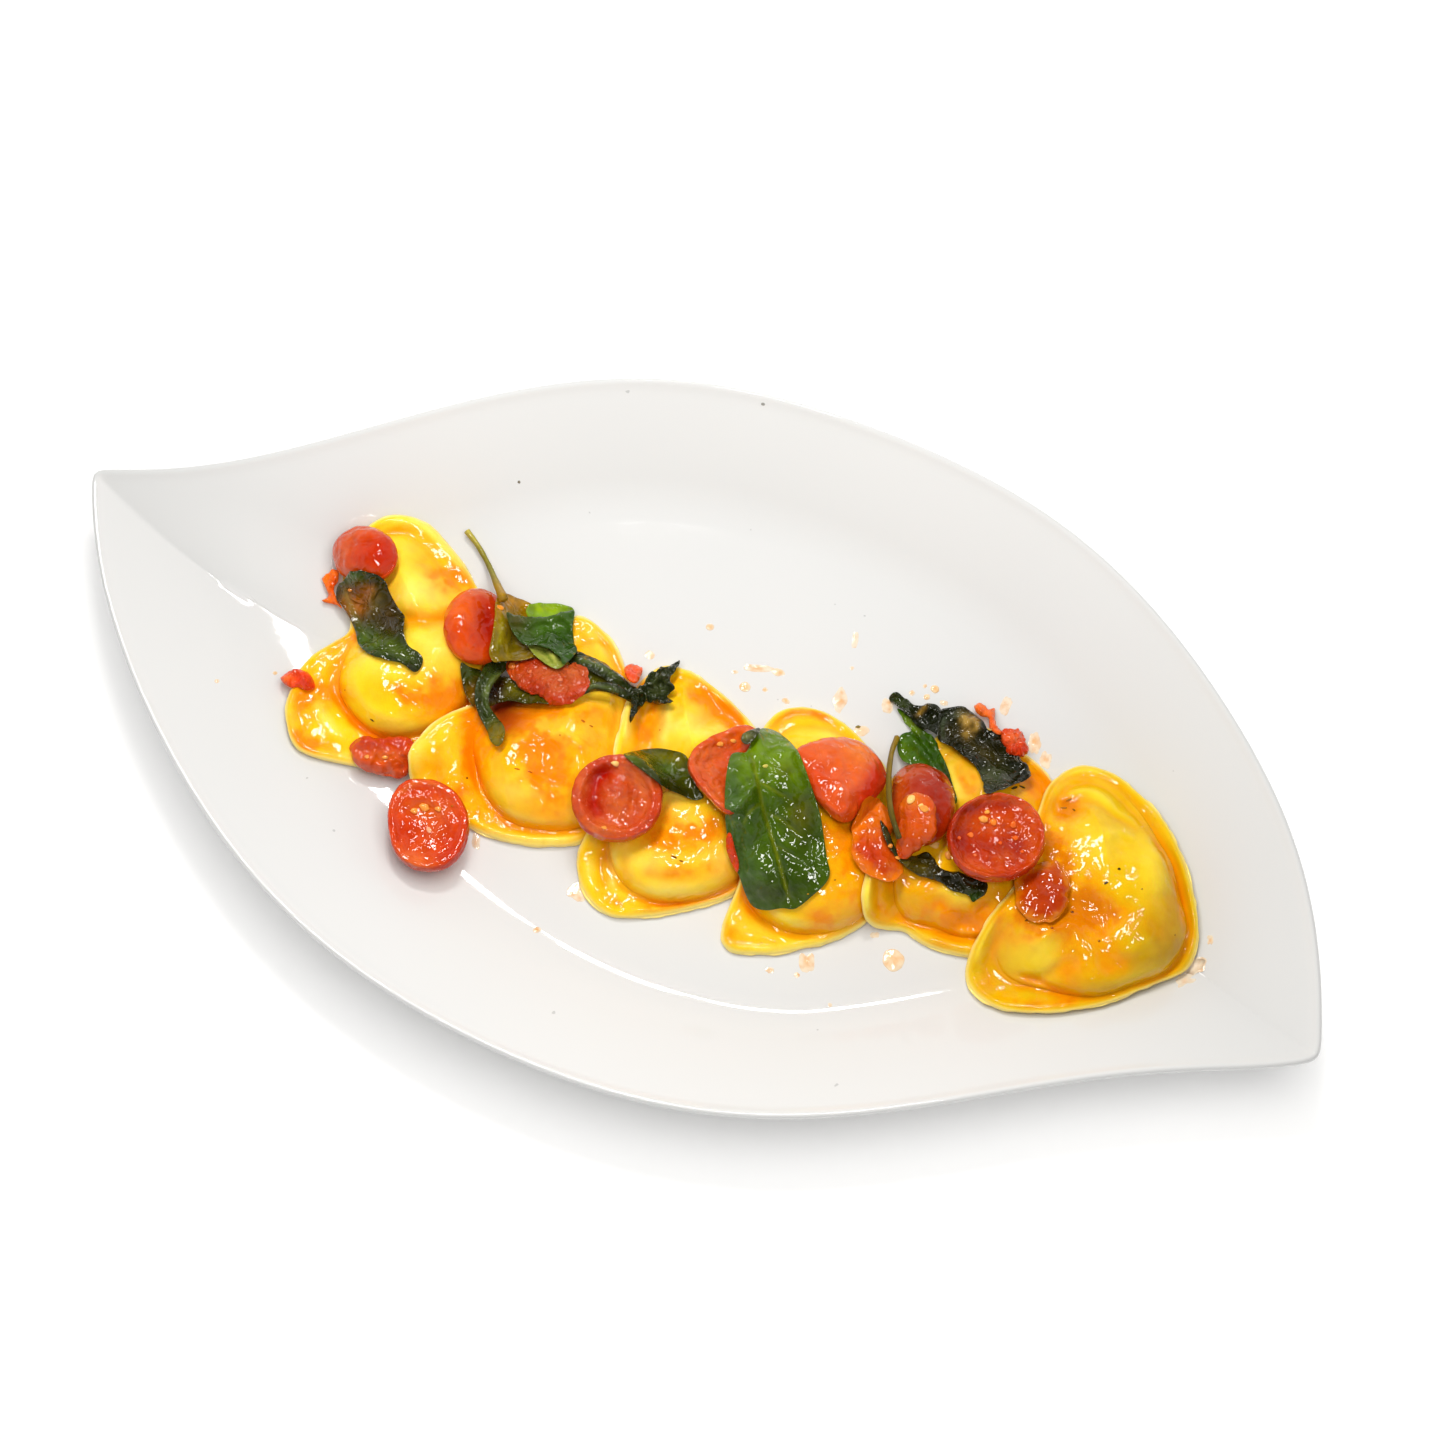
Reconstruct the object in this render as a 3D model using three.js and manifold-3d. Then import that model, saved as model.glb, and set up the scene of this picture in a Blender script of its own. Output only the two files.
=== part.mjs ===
// Leaf-shaped porcelain plate with six folded ravioli, halved cherry tomatoes, tomato pulp and wilted basil.
// Millimetres, +Z up. The origin is under the middle of the plate's outline, on the plane of its foot ring,
// and +X runs along the plate from one tip to the other.
//
// Soft food takes the shape of what it lies on. So the pieces are laid one after the other on a height map
// of everything below them: a piece's underside follows that map, smoothed as far as the piece is stiff,
// and its top is the underside plus its own thickness.
import * as THREE from "three";
import { mergeVertices } from "three/addons/utils/BufferGeometryUtils.js";
import Module from "manifold-3d";

// ---------- driving dimensions ----------
const PLATE = {
  halfLength: 187.2, // from the middle to a tip before the tips are rounded
  height: 24, // of the lip over the foot ring's plane
  wellTop: 5.5, // of the well's upper face
  slope: 36, // plan width of the rim, from the lip to where the well is flat
  bend: 24, // plan distance from the lip at which the rim starts to curve into the well
  wall: 4.6, // thickness, measured upright
  lip: 2.4, // plan width of the rounded lip
  foot: { outer: 34.5, inner: 40.5, recess: 1.4 }, // distances of the foot ring from the lip, and its depth
  tipRounding: 2.6,
  // Where the slope is wider: the side, as y - 0.12x, and the widths along a line turned from +X
  long: {
    from: 24, to: 0, turn: 0.461477,
    widths: [[-165, 38], [-145, 47], [-128, 56], [-118, 58], [-108, 58], [-100, 57.5], [-85, 56], [-70, 51], [-55, 46.5], [-38, 42], [-22, 39.5], [-5, 38], [11, 35.8], [27, 34.2], [44, 35], [70, 36], [95, 36]],
  },
  // The two long sides, y = (1 - s^2) * sum(c[k] * s^k) with s = x / halfLength
  farSide: [109.17, 17.72, 47.91, 48.87, -167.14, 40.8, 164.71],
  nearSide: [-94.23, 13.26, -20.26, 54.18, 109.85, -21.38, -119.53],
};
const GAP = 0.4; // between a piece and what it lies on
const PASTA = { sheet: 1.5, border: 2.6 }; // thickness at the cut edge, and of the sealed double border
const LEAF = 1.1; // thickness of a wilted leaf with its oil
const CELL = { x0: -190, y0: -106, nx: 381, ny: 213 }; // the height map, one cell for each millimetre
const SEGMENTS = { plate: 56, raviolo: 26, tomato: 14, leafLong: 8, leafWide: 4, stem: 7 };
const COLOURS = {
  plate: 0xeeeeec,
  raviolo: 0xf6bf2c,
  skin: 0xcf3a1c,
  cut: 0xd8402a,
  pulp: 0xcb3d1a,
  leaf: 0x2b4a1d,
  brightLeaf: 0x3f7a1c,
  stem: 0x8a9a4a,
};

// Each raviolo is a folded half-moon. rim and filling are the radii, at equal angles from +X round the
// point at, of the pasta's cut edge and of the foot of its filling. taut is the direction in which the
// filling stands upright against the border; on the other side it fades out. folds are the dents
// and humps: x, y, the two half widths, the turn in degrees and the height.
const RAVIOLI = {
  raviolo_1: {
    at: [-88.7, -14.5], taut: -55, height: 13.0,
    rim: [30.8, 29.5, 28.7, 28.6, 29.5, 31.6, 34.9, 39.5, 40.1, 36.1, 28.2, 17.5, 15.2, 18.2, 24.4, 29.6, 35.1, 38.4, 35.6, 33.9, 33.4, 33, 32.6, 32],
    filling: [25.5, 25.6, 25.9, 27.6, 30.9, 36, 29.8, 13.9, 11.2, 13, 15.8, 19.3, 21.7, 24.9, 24.8, 25.5],
    folds: [[-88, -6.6, 11.4, 2.2, 23, -1.8], [-87.4, 2.9, 6.5, 4.9, 26, 1.2], [-69.4, -20.7, 4.9, 3.8, 26, -1.5], [-83, -27.5, 10.8, 7, 16, 1], [-74.2, -11.8, 5.9, 6.5, 26, 1.2], [-82.6, 8.6, 8.1, 2.2, 79, -1.5], [-97.5, -42.7, 3.8, 8.1, 16, 0.8]],
  },
  raviolo_2: {
    at: [-37.6, -20], taut: -72, height: 13.5,
    rim: [26.9, 26.1, 26.2, 27.3, 29.2, 32.6, 37.5, 40.1, 32.7, 24.6, 21.5, 21.6, 24.5, 31.2, 37.1, 38.1, 33.9, 30.4, 28.8, 28, 27.9, 28.4, 27.9, 27.5],
    filling: [25.3, 24.5, 25.2, 28.2, 33.9, 24.4, 17.8, 16.8, 18.3, 20.2, 20.2, 21.5, 23.2, 23.3, 24.3, 26.1],
    folds: [[-58.6, -36.7, 4.3, 8.1, 26, 5], [-49.8, -38, 1.9, 9.7, 18, -1.2], [-33.1, -27.5, 3.5, 8.1, 26, -2.6], [-27.7, -11.2, 7.6, 6.5, 26, 1.4], [-35.9, -36.8, 9.2, 4.3, 26, 1.4], [-39.2, -15.9, 8.1, 3.8, 26, 1], [-16.2, -27.6, 5.4, 3.8, 26, -0.8]],
  },
  raviolo_3: {
    at: [-0.1, -17.4], taut: -53, height: 13.5,
    rim: [29.9, 29.4, 29.2, 29.8, 30.8, 31.8, 33.7, 36.9, 39, 32.7, 24.7, 20, 17.7, 17.3, 18.5, 22.2, 30.8, 35.4, 36.7, 33.8, 31.8, 31.4, 32.1, 30.5],
    filling: [27.6, 26.3, 26.5, 27.2, 29.8, 34.1, 21.1, 13.3, 11.4, 12, 15, 22.5, 27.7, 29.1, 29.3, 29.7],
    folds: [[0.2, 8.1, 10.8, 2.2, 70, -2], [-0.6, -0.9, 6.8, 3.8, 26, 1.6], [-12.8, -2.8, 2.4, 5.4, 26, -1.3], [12.1, -29.2, 9.2, 3, 21, -1], [13, -37.1, 10.8, 3.8, 26, 1], [-0.2, -25.9, 3.8, 4.3, 26, -1]],
  },
  raviolo_4: {
    at: [41.3, -7.9], taut: -67, height: 14.0,
    rim: [25.2, 24.5, 24.5, 24.9, 25.6, 27, 29.4, 33.2, 36.6, 36.9, 31, 26.2, 22.8, 21.3, 21.4, 22.9, 26.7, 40.6, 37.4, 33.1, 30.4, 28.5, 27.3, 26.4],
    filling: [22.4, 21.6, 21.9, 23.2, 26.1, 29.4, 29.7, 22.4, 18.8, 18.4, 20.8, 27.3, 29, 28.3, 26.9, 24.7],
    folds: [[22.5, 17.6, 6.5, 1.6, 26, -0.6], [52.7, -32.3, 3, 1.9, 26, -1.3], [55.1, -18.6, 8.1, 8.1, 26, 0.6], [28.3, 5.5, 8.1, 4.9, 26, 0.6]],
  },
  raviolo_5: {
    at: [80.5, 5.4], taut: -100, height: 12.0,
    rim: [27.5, 27.7, 28.3, 29.6, 31.1, 32.4, 33.5, 36.4, 37.4, 32.7, 26.8, 24, 23.2, 23.9, 26.8, 31.2, 34.8, 28.6, 28.3, 28.3, 28.9, 29.1, 28.5, 27.8],
    filling: [22.1, 22.5, 24.1, 27, 29.2, 30.6, 24.9, 19.2, 17.5, 18.4, 22.5, 25.9, 23.2, 23.5, 24, 23],
    folds: [[86.7, -16.3, 9.7, 2.4, 64, -3.2], [74.9, -13.3, 7, 3.8, 26, 0.8], [68.1, 23.8, 4.3, 4.9, 26, 1], [87.7, 30.3, 4.9, 3.8, 26, -1]],
  },
  raviolo_6: {
    at: [115.8, 10.4], taut: -12, height: 15.5,
    rim: [31, 28.6, 26.9, 26.6, 27.3, 29, 31.3, 34.8, 36.5, 32.8, 26.6, 22.6, 20.9, 21.2, 23.7, 32.7, 42.5, 42.6, 37.9, 33.8, 31.2, 29.8, 30.2, 32.4],
    filling: [27.4, 23.5, 22.8, 23.5, 27.3, 32.2, 30.7, 21.1, 18.3, 19.3, 28, 34, 30.7, 29.5, 27.5, 28.6],
    folds: [[99.1, 26.9, 3.8, 2.7, 26, -3], [116.9, 21.4, 3.8, 3.2, 26, -0.9], [112.2, 2.2, 9.2, 3, 14, -3], [121, -1.1, 3.2, 5.4, 26, -2.2], [117.2, -13.6, 3.2, 5.4, 26, -1.5], [127.8, -7.7, 3.8, 2.4, 26, -1.2], [107.3, 19.8, 7, 4.9, 26, 1.2], [107.7, -13.8, 6.5, 3.8, 76, 1.8], [129.7, 12.4, 7, 12.4, 26, 1.2], [110.8, -20.7, 6.5, 1.1, 51, -1.4]],
  },
};
const TOMATOES = {
  pulp_1: { at: [-76.4, -42.6], kind: "pulp", height: 6.0, rim: [8.4, 10, 8.6, 5.4, 4.7, 5.6, 8.6, 9.2, 6.9, 5.8, 5.8, 7.2] },
  tomato_3: { at: [-54.8, -55.2], kind: "cut", height: 10.0, rim: [11.6, 11.2, 11.3, 11.9, 12.8, 13.8, 12.2, 11.1, 11.6, 12.6, 13.1, 12.9] },
  tomato_1: { at: [-108, 5.6], kind: "skin", height: 10.5, rim: [10.5, 9.5, 8.5, 8.2, 8.9, 10.2, 10.6, 9.5, 8.4, 8.1, 8.8, 10] },
  pulp_2: { at: [-45.1, -3.4], kind: "pulp", height: 5.5, rim: [12.2, 11.9, 4.3, 3.6, 4.1, 7.7, 13.1, 9.4, 6.9, 6.4, 8, 10.6] },
  tomato_2: { at: [-69.7, 1], kind: "skin", height: 10.5, rim: [9.4, 9.2, 10, 11.4, 11.7, 10.5, 9.3, 9.1, 9.8, 11.2, 11.7, 10.5] },
  tomato_4: { at: [-10.8, -27.5], kind: "cut", height: 9.5, rim: [12.5, 12.6, 12.2, 11.9, 11.8, 12.1, 12.5, 12.5, 12.2, 11.9, 11.8, 12.1] },
  tomato_5: { at: [11.7, -6.1], kind: "cut", height: 8.5, rim: [10.4, 10.6, 13, 14.5, 10.7, 9.7, 10.1, 10.8, 10.2, 11, 14.4, 12.3] },
  tomato_6: { at: [40.5, 5.6], kind: "skin", height: 10.5, rim: [11.1, 13, 13, 12.9, 12.2, 12.6, 14, 11.3, 9.8, 10.8, 13.4, 10.7] },
  pulp_3: { at: [57.1, -5.6], kind: "pulp", height: 6.0, rim: [3.9, 2.6, 2.8, 9.4, 12.3, 8.9, 7.3, 7.3, 8.5, 10, 11.7, 11.4] },
  tomato_7: { at: [63, 9.9], kind: "skin", height: 10.5, rim: [9.9, 9.5, 10.3, 11.8, 12.9, 11.6, 8.6, 8.6, 10, 12.6, 13, 11.6] },
  pulp_5: { at: [64.7, 1.6], kind: "pulp", height: 5.0, rim: [5.6, 5.7, 6.3, 7.9, 8.9, 7.1, 5, 4.7, 5.9, 9.4, 7, 6] },
  pulp_4: { at: [102.8, 1.7], kind: "pulp", height: 7.0, rim: [6.2, 6.5, 7.5, 9.1, 7.9, 6.9, 7.1, 7, 7.1, 7.6, 7.7, 6.7] },
  tomato_8: { at: [85.5, 8.2], kind: "cut", height: 10.0, rim: [12.9, 13.6, 13.6, 12.9, 12.3, 12.3, 12.9, 13.6, 13.5, 12.9, 12.3, 12.3] },
  pulp_6: { at: [78.7, 38.4], kind: "pulp", height: 4.5, rim: [4.3, 3.8, 3.7, 4.1, 4.5, 5.1, 4.4, 3.8, 3.6, 3.7, 4, 4.6] },
};
const LEAVES = {
  basil_1: { rib: [[-110.1, -3.5], [-103.1, -5.5], [-95, -9.7], [-85.4, -15.6], [-77.9, -17.2]], left: [2.1, 6.3, 6.5, 4.7, 1.7], right: [2.1, 5.4, 6.6, 4.5, 1.7], lift: 0.6 },
  basil_3: { rib: [[-57.4, -2.7], [-60.9, -8.7], [-60.4, -15.9], [-54.5, -22], [-47.3, -27]], left: [2.5, 3, 3, 2.2, 0.8], right: [2.6, 3.3, 4.2, 2.5, 1.4], lift: 0.6 },
  basil_4: { rib: [[-39.6, -0.5], [-32.5, 2.7], [-26.2, 4.6], [-21.6, 5.4], [-17.9, 7.9], [-14.4, 9.7]], left: [7.5, 4.5, 2.7, 2, 5.1, 7.8], right: [7.3, 4.5, 2.6, 1.9, 5, 6.5], lift: 0.6 },
  basil_2b: { rib: [[-67.8, 12.6], [-62.9, 5.8], [-59.5, 0.4], [-56.7, -4.8]], left: [2.5, 4.3, 4.5, 3.5], right: [2.5, 3.4, 3.8, 3.8], lift: 0.6 },
  basil_2: { rib: [[-63.2, 8], [-58.4, 9.5], [-51.9, 8.8], [-43.1, 0.8]], left: [2.3, 5.8, 6.9, 2.6], right: [3.5, 5.3, 6.6, 3.5], lift: 0.6 },
  basil_5: { rib: [[-13.8, -16.6], [-7.3, -14.6], [-0.2, -13.2], [7.8, -14.5], [12.7, -14.6]], left: [0.6, 5.1, 5.1, 3.9, 2.3], right: [1.3, 4.9, 6.1, 3.9, 2.3], lift: 0.6 },
  basil_8: { rib: [[46.3, 33.7], [51.3, 31], [56.3, 26.4], [60.6, 20.9]], left: [1.5, 4, 5.5, 5.3], right: [1.4, 3.4, 5.4, 6], lift: 0.6 },
  basil_9: { rib: [[56.7, -2.8], [61.7, -7.2], [68.4, -8], [74.7, -5.7], [81.4, -6.1], [88.8, -5.3]], left: [1.2, 2.8, 4.3, 3.9, 3.3, 2.7], right: [1.2, 2.5, 3.5, 3.9, 3.2, 2.1], lift: 0.6 },
  basil_6: { rib: [[13.4, 6.1], [18.5, -1.2], [25.9, -10.7], [33.9, -20.3], [41.4, -28.8], [44.9, -32.1]], left: [4.6, 10.3, 13.6, 13.5, 11.3, 3.2], right: [2.8, 7.8, 10.8, 11.2, 10.4, 8.8], lift: 0.6 },
  basil_7: { rib: [[42.3, 36.2], [52.1, 35.4], [62.2, 35.5], [72.1, 33.2], [79.5, 30], [84.1, 28.5]], left: [1.3, 4, 5.9, 8.5, 8, 3.4], right: [0.8, 2.8, 4.5, 7, 8.2, 6.6], lift: 0.6 },
};
const STEMS = {
  stem_1: { path: [[-87.9, 27.2, 8.1], [-83, 24.7, 7.8], [-77.7, 21, 8.3], [-71.7, 15.6, 14.1], [-66.1, 10.5, 20.9]], radius: 1.25 },
  stem_2: { path: [[48.8, 26.2, 8.9], [49.6, 20.1, 15.2], [51.7, 12.9, 21.5], [54.6, 6.2, 24.8], [57.8, 0.7, 28.1], [62.3, -4.6, 30]], radius: 1.2 },
};
const LAYING_ORDER = [
  "raviolo_1", "pulp_1", "raviolo_2", "raviolo_3", "raviolo_4", "raviolo_5",
  "raviolo_6", "tomato_3", "tomato_1", "basil_1", "basil_3", "basil_4",
  "pulp_2", "tomato_2", "basil_2b", "basil_2", "stem_1", "tomato_4",
  "basil_5", "tomato_5", "tomato_6", "pulp_3", "basil_8", "basil_9",
  "tomato_7", "pulp_5", "stem_2", "pulp_4", "tomato_8", "basil_6",
  "basil_7", "pulp_6",
];

// ---------- plane curves ----------
const smoothstep = (a, b, x) => {
  const t = Math.min(1, Math.max(0, (x - a) / (b - a)));
  return t * t * (3 - 2 * t);
};
const clamp = (x, a, b) => Math.min(b, Math.max(a, x));
const catmull = (p0, p1, p2, p3, u) =>
  0.5 * (2 * p1 + (p2 - p0) * u + (2 * p0 - 5 * p1 + 4 * p2 - p3) * u * u + (3 * p1 - p0 - 3 * p2 + p3) * u * u * u);

// The radius at an angle from radii given at equal angles.
function radiusAt(radii, angle) {
  const n = radii.length;
  const t = ((((angle / (2 * Math.PI)) % 1) + 1) % 1) * n;
  const i = Math.floor(t) % n;
  return catmull(radii[(i + n - 1) % n], radii[i], radii[(i + 1) % n], radii[(i + 2) % n], t - Math.floor(t));
}
function closedCurve([x, y], radii, n) {
  return Array.from({ length: n }, (_, k) => {
    const a = (2 * Math.PI * k) / n;
    const r = radiusAt(radii, a);
    return [x + r * Math.cos(a), y + r * Math.sin(a)];
  });
}
// A point of an open curve through knots of any dimension, u from 0 to 1.
function openCurve(knots, u) {
  const n = knots.length;
  const t = clamp(u, 0, 1) * (n - 1);
  const i = Math.min(Math.floor(t), n - 2);
  const at = (k) =>
    k < 0
      ? knots[0].map((v, d) => 2 * v - knots[1][d])
      : k >= n
        ? knots[n - 1].map((v, d) => 2 * v - knots[n - 2][d])
        : knots[k];
  return knots[0].map((_, d) => catmull(at(i - 1)[d], at(i)[d], at(i + 1)[d], at(i + 2)[d], t - i));
}
// Distance to a closed polygon, positive inside.
function insideDistance(poly, x, y) {
  let best = Infinity;
  let inside = false;
  for (let i = 0, n = poly.length; i < n; i++) {
    const [ax, ay] = poly[i];
    const [bx, by] = poly[(i + 1) % n];
    const dx = bx - ax;
    const dy = by - ay;
    const t = clamp(((x - ax) * dx + (y - ay) * dy) / (dx * dx + dy * dy + 1e-12), 0, 1);
    best = Math.min(best, (x - ax - t * dx) ** 2 + (y - ay - t * dy) ** 2);
    if (ay > y !== by > y && x < ax + ((y - ay) / dy) * dx) inside = !inside;
  }
  return inside ? Math.sqrt(best) : -Math.sqrt(best);
}
function resample(points, n) {
  const closed = [...points, points[0]];
  const length = [0];
  for (let i = 1; i < closed.length; i++)
    length.push(length[i - 1] + Math.hypot(closed[i][0] - closed[i - 1][0], closed[i][1] - closed[i - 1][1]));
  const out = [];
  for (let k = 0, i = 0; k < n; k++) {
    const want = (length[length.length - 1] * k) / n;
    while (length[i + 1] < want) i++;
    const w = (want - length[i]) / (length[i + 1] - length[i] || 1);
    out.push([0, 1].map((d) => closed[i][d] * (1 - w) + closed[i + 1][d] * w));
  }
  return out;
}
// The plate's outline, counter-clockwise from its +X tip, with rounded tips and its box centred on the origin.
function plateOutline() {
  const side = (coefficients, s) => (1 - s * s) * coefficients.reduce((sum, c, k) => sum + c * s ** k, 0);
  const raw = [];
  const n = 399;
  for (let i = 0; i < n; i++) {
    const s = Math.cos((Math.PI * i) / n);
    raw.push([s * PLATE.halfLength, side(PLATE.farSide, s)]);
  }
  for (let i = n; i > 0; i--) {
    const s = Math.cos((Math.PI * i) / n);
    raw.push([s * PLATE.halfLength, side(PLATE.nearSide, s)]);
  }
  const even = resample(raw, 1440);
  const m = even.length;
  const step = Math.hypot(even[1][0] - even[0][0], even[1][1] - even[0][1]);
  const reach = Math.ceil((3 * PLATE.tipRounding) / step);
  const smooth = even.map((_, i) => {
    let sum = 0;
    const p = [0, 0];
    for (let k = -reach; k <= reach; k++) {
      const w = Math.exp(-0.5 * ((k * step) / PLATE.tipRounding) ** 2);
      const q = even[(i + k + m) % m];
      p[0] += w * q[0];
      p[1] += w * q[1];
      sum += w;
    }
    return [p[0] / sum, p[1] / sum];
  });
  const mid = [0, 1].map((d) => {
    const v = smooth.map((p) => p[d]);
    return (Math.min(...v) + Math.max(...v)) / 2;
  });
  return smooth.map(([x, y]) => [x - mid[0], y - mid[1]]);
}

// ---------- the height map ----------
const { x0, y0, nx, ny } = CELL;
const cells = (f) => {
  const map = new Float64Array(nx * ny);
  for (let j = 0; j < ny; j++) for (let i = 0; i < nx; i++) map[j * nx + i] = f(i + x0, j + y0, j * nx + i);
  return map;
};
// Three box filters along each axis, which come close to a Gaussian.
function blur(map, radius) {
  const r = Math.max(1, Math.round(radius));
  for (let pass = 0; pass < 3; pass++)
    for (const [lines, count, across, along] of [
      [nx, ny, 1, nx],
      [ny, nx, nx, 1],
    ]) {
      const out = new Float64Array(map.length);
      for (let a = 0; a < lines; a++) {
        const at = (k) => map[a * across + clamp(k, 0, count - 1) * along];
        let sum = 0;
        for (let k = -r; k <= r; k++) sum += at(k);
        for (let k = 0; k < count; k++) {
          out[a * across + k * along] = sum / (2 * r + 1);
          sum += at(k + r + 1) - at(k - r);
        }
      }
      map = out;
    }
  return map;
}
function highest(map, radius) {
  const out = map.slice();
  for (let dy = -radius; dy <= radius; dy++)
    for (let dx = -radius; dx <= radius; dx++) {
      if ((!dx && !dy) || dx * dx + dy * dy > radius * radius + 0.5) continue;
      for (let j = Math.max(0, -dy); j < Math.min(ny, ny - dy); j++)
        for (let i = Math.max(0, -dx); i < Math.min(nx, nx - dx); i++) {
          const v = map[(j + dy) * nx + i + dx];
          if (v > out[j * nx + i]) out[j * nx + i] = v;
        }
    }
  return out;
}
function sample(map, x, y) {
  const fx = clamp(x - x0, 0, nx - 1.001);
  const fy = clamp(y - y0, 0, ny - 1.001);
  const i = Math.floor(fx);
  const j = Math.floor(fy);
  const u = fx - i;
  const v = fy - j;
  const k = j * nx + i;
  return (map[k] * (1 - u) + map[k + 1] * u) * (1 - v) + (map[k + nx] * (1 - u) + map[k + nx + 1] * u) * v;
}
// What a piece lies on: the heights below it, spread and smoothed as far as the piece bridges dents.
function support(spread, smoothing) {
  const soft = blur(highest(heights, spread), smoothing);
  return soft.map((v, k) => Math.max(v, heights[k]));
}

// ---------- closed meshes ----------
// Rings of equally many points, each ring further along the surface, with a point at either end.
function ringMesh(first, rings, last) {
  const n = rings[0].length;
  const position = [...first, ...rings.flat(2), ...last];
  const index = [];
  const at = (r, k) => 1 + r * n + (k % n);
  const end = 1 + rings.length * n;
  for (let k = 0; k < n; k++) {
    index.push(0, at(0, k), at(0, k + 1));
    for (let r = 0; r + 1 < rings.length; r++) {
      index.push(at(r, k), at(r + 1, k), at(r + 1, k + 1));
      index.push(at(r, k), at(r + 1, k + 1), at(r, k + 1));
    }
    index.push(at(rings.length - 1, k), end, at(rings.length - 1, k + 1));
  }
  return geometryOf(position, index);
}
function geometryOf(position, index) {
  const g = new THREE.BufferGeometry();
  g.setAttribute("position", new THREE.Float32BufferAttribute(position, 3));
  g.setIndex(index);
  return g;
}

// ---------- the plate ----------
const outline = plateOutline();
const coarseOutline = outline.filter((_, i) => i % 8 === 0);
const lipDistance = blur(
  cells((x, y) => Math.max(0, insideDistance(coarseOutline, x, y))),
  1.3,
);
// How far from the lip the well begins to rise. On one side, towards the -X tip, the rim runs out in a longer curve.
function slopeWidth(x, y) {
  const side = Math.min(1, Math.max(0, (PLATE.long.from - (y - 0.12 * x)) / (PLATE.long.from - PLATE.long.to)));
  const along = x * Math.cos(PLATE.long.turn) + y * Math.sin(PLATE.long.turn);
  const table = PLATE.long.widths;
  let wide = along <= table[0][0] ? table[0][1] : table[table.length - 1][1];
  for (let i = 0; i + 1 < table.length; i++) {
    const [a, wa] = table[i];
    const [b, wb] = table[i + 1];
    if (along >= a && along <= b) wide = wa + ((wb - wa) * (along - a)) / (b - a);
  }
  return PLATE.slope + (wide - PLATE.slope) * side * side * (3 - 2 * side);
}
function plateTop(distance, width = PLATE.slope) {
  const drop = PLATE.height - PLATE.wellTop;
  const curve = width - PLATE.bend;
  const a = drop / (curve * curve * 0.5 + curve * PLATE.bend);
  if (distance >= width) return PLATE.wellTop;
  if (distance >= PLATE.bend) return PLATE.wellTop + (a * (width - distance) ** 2) / 2;
  return PLATE.wellTop + (a * curve * curve) / 2 + a * curve * (PLATE.bend - distance);
}
const heights = cells((x, y, k) => (lipDistance[k] > 0.3 ? plateTop(lipDistance[k], slopeWidth(x, y)) : -1));

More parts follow.
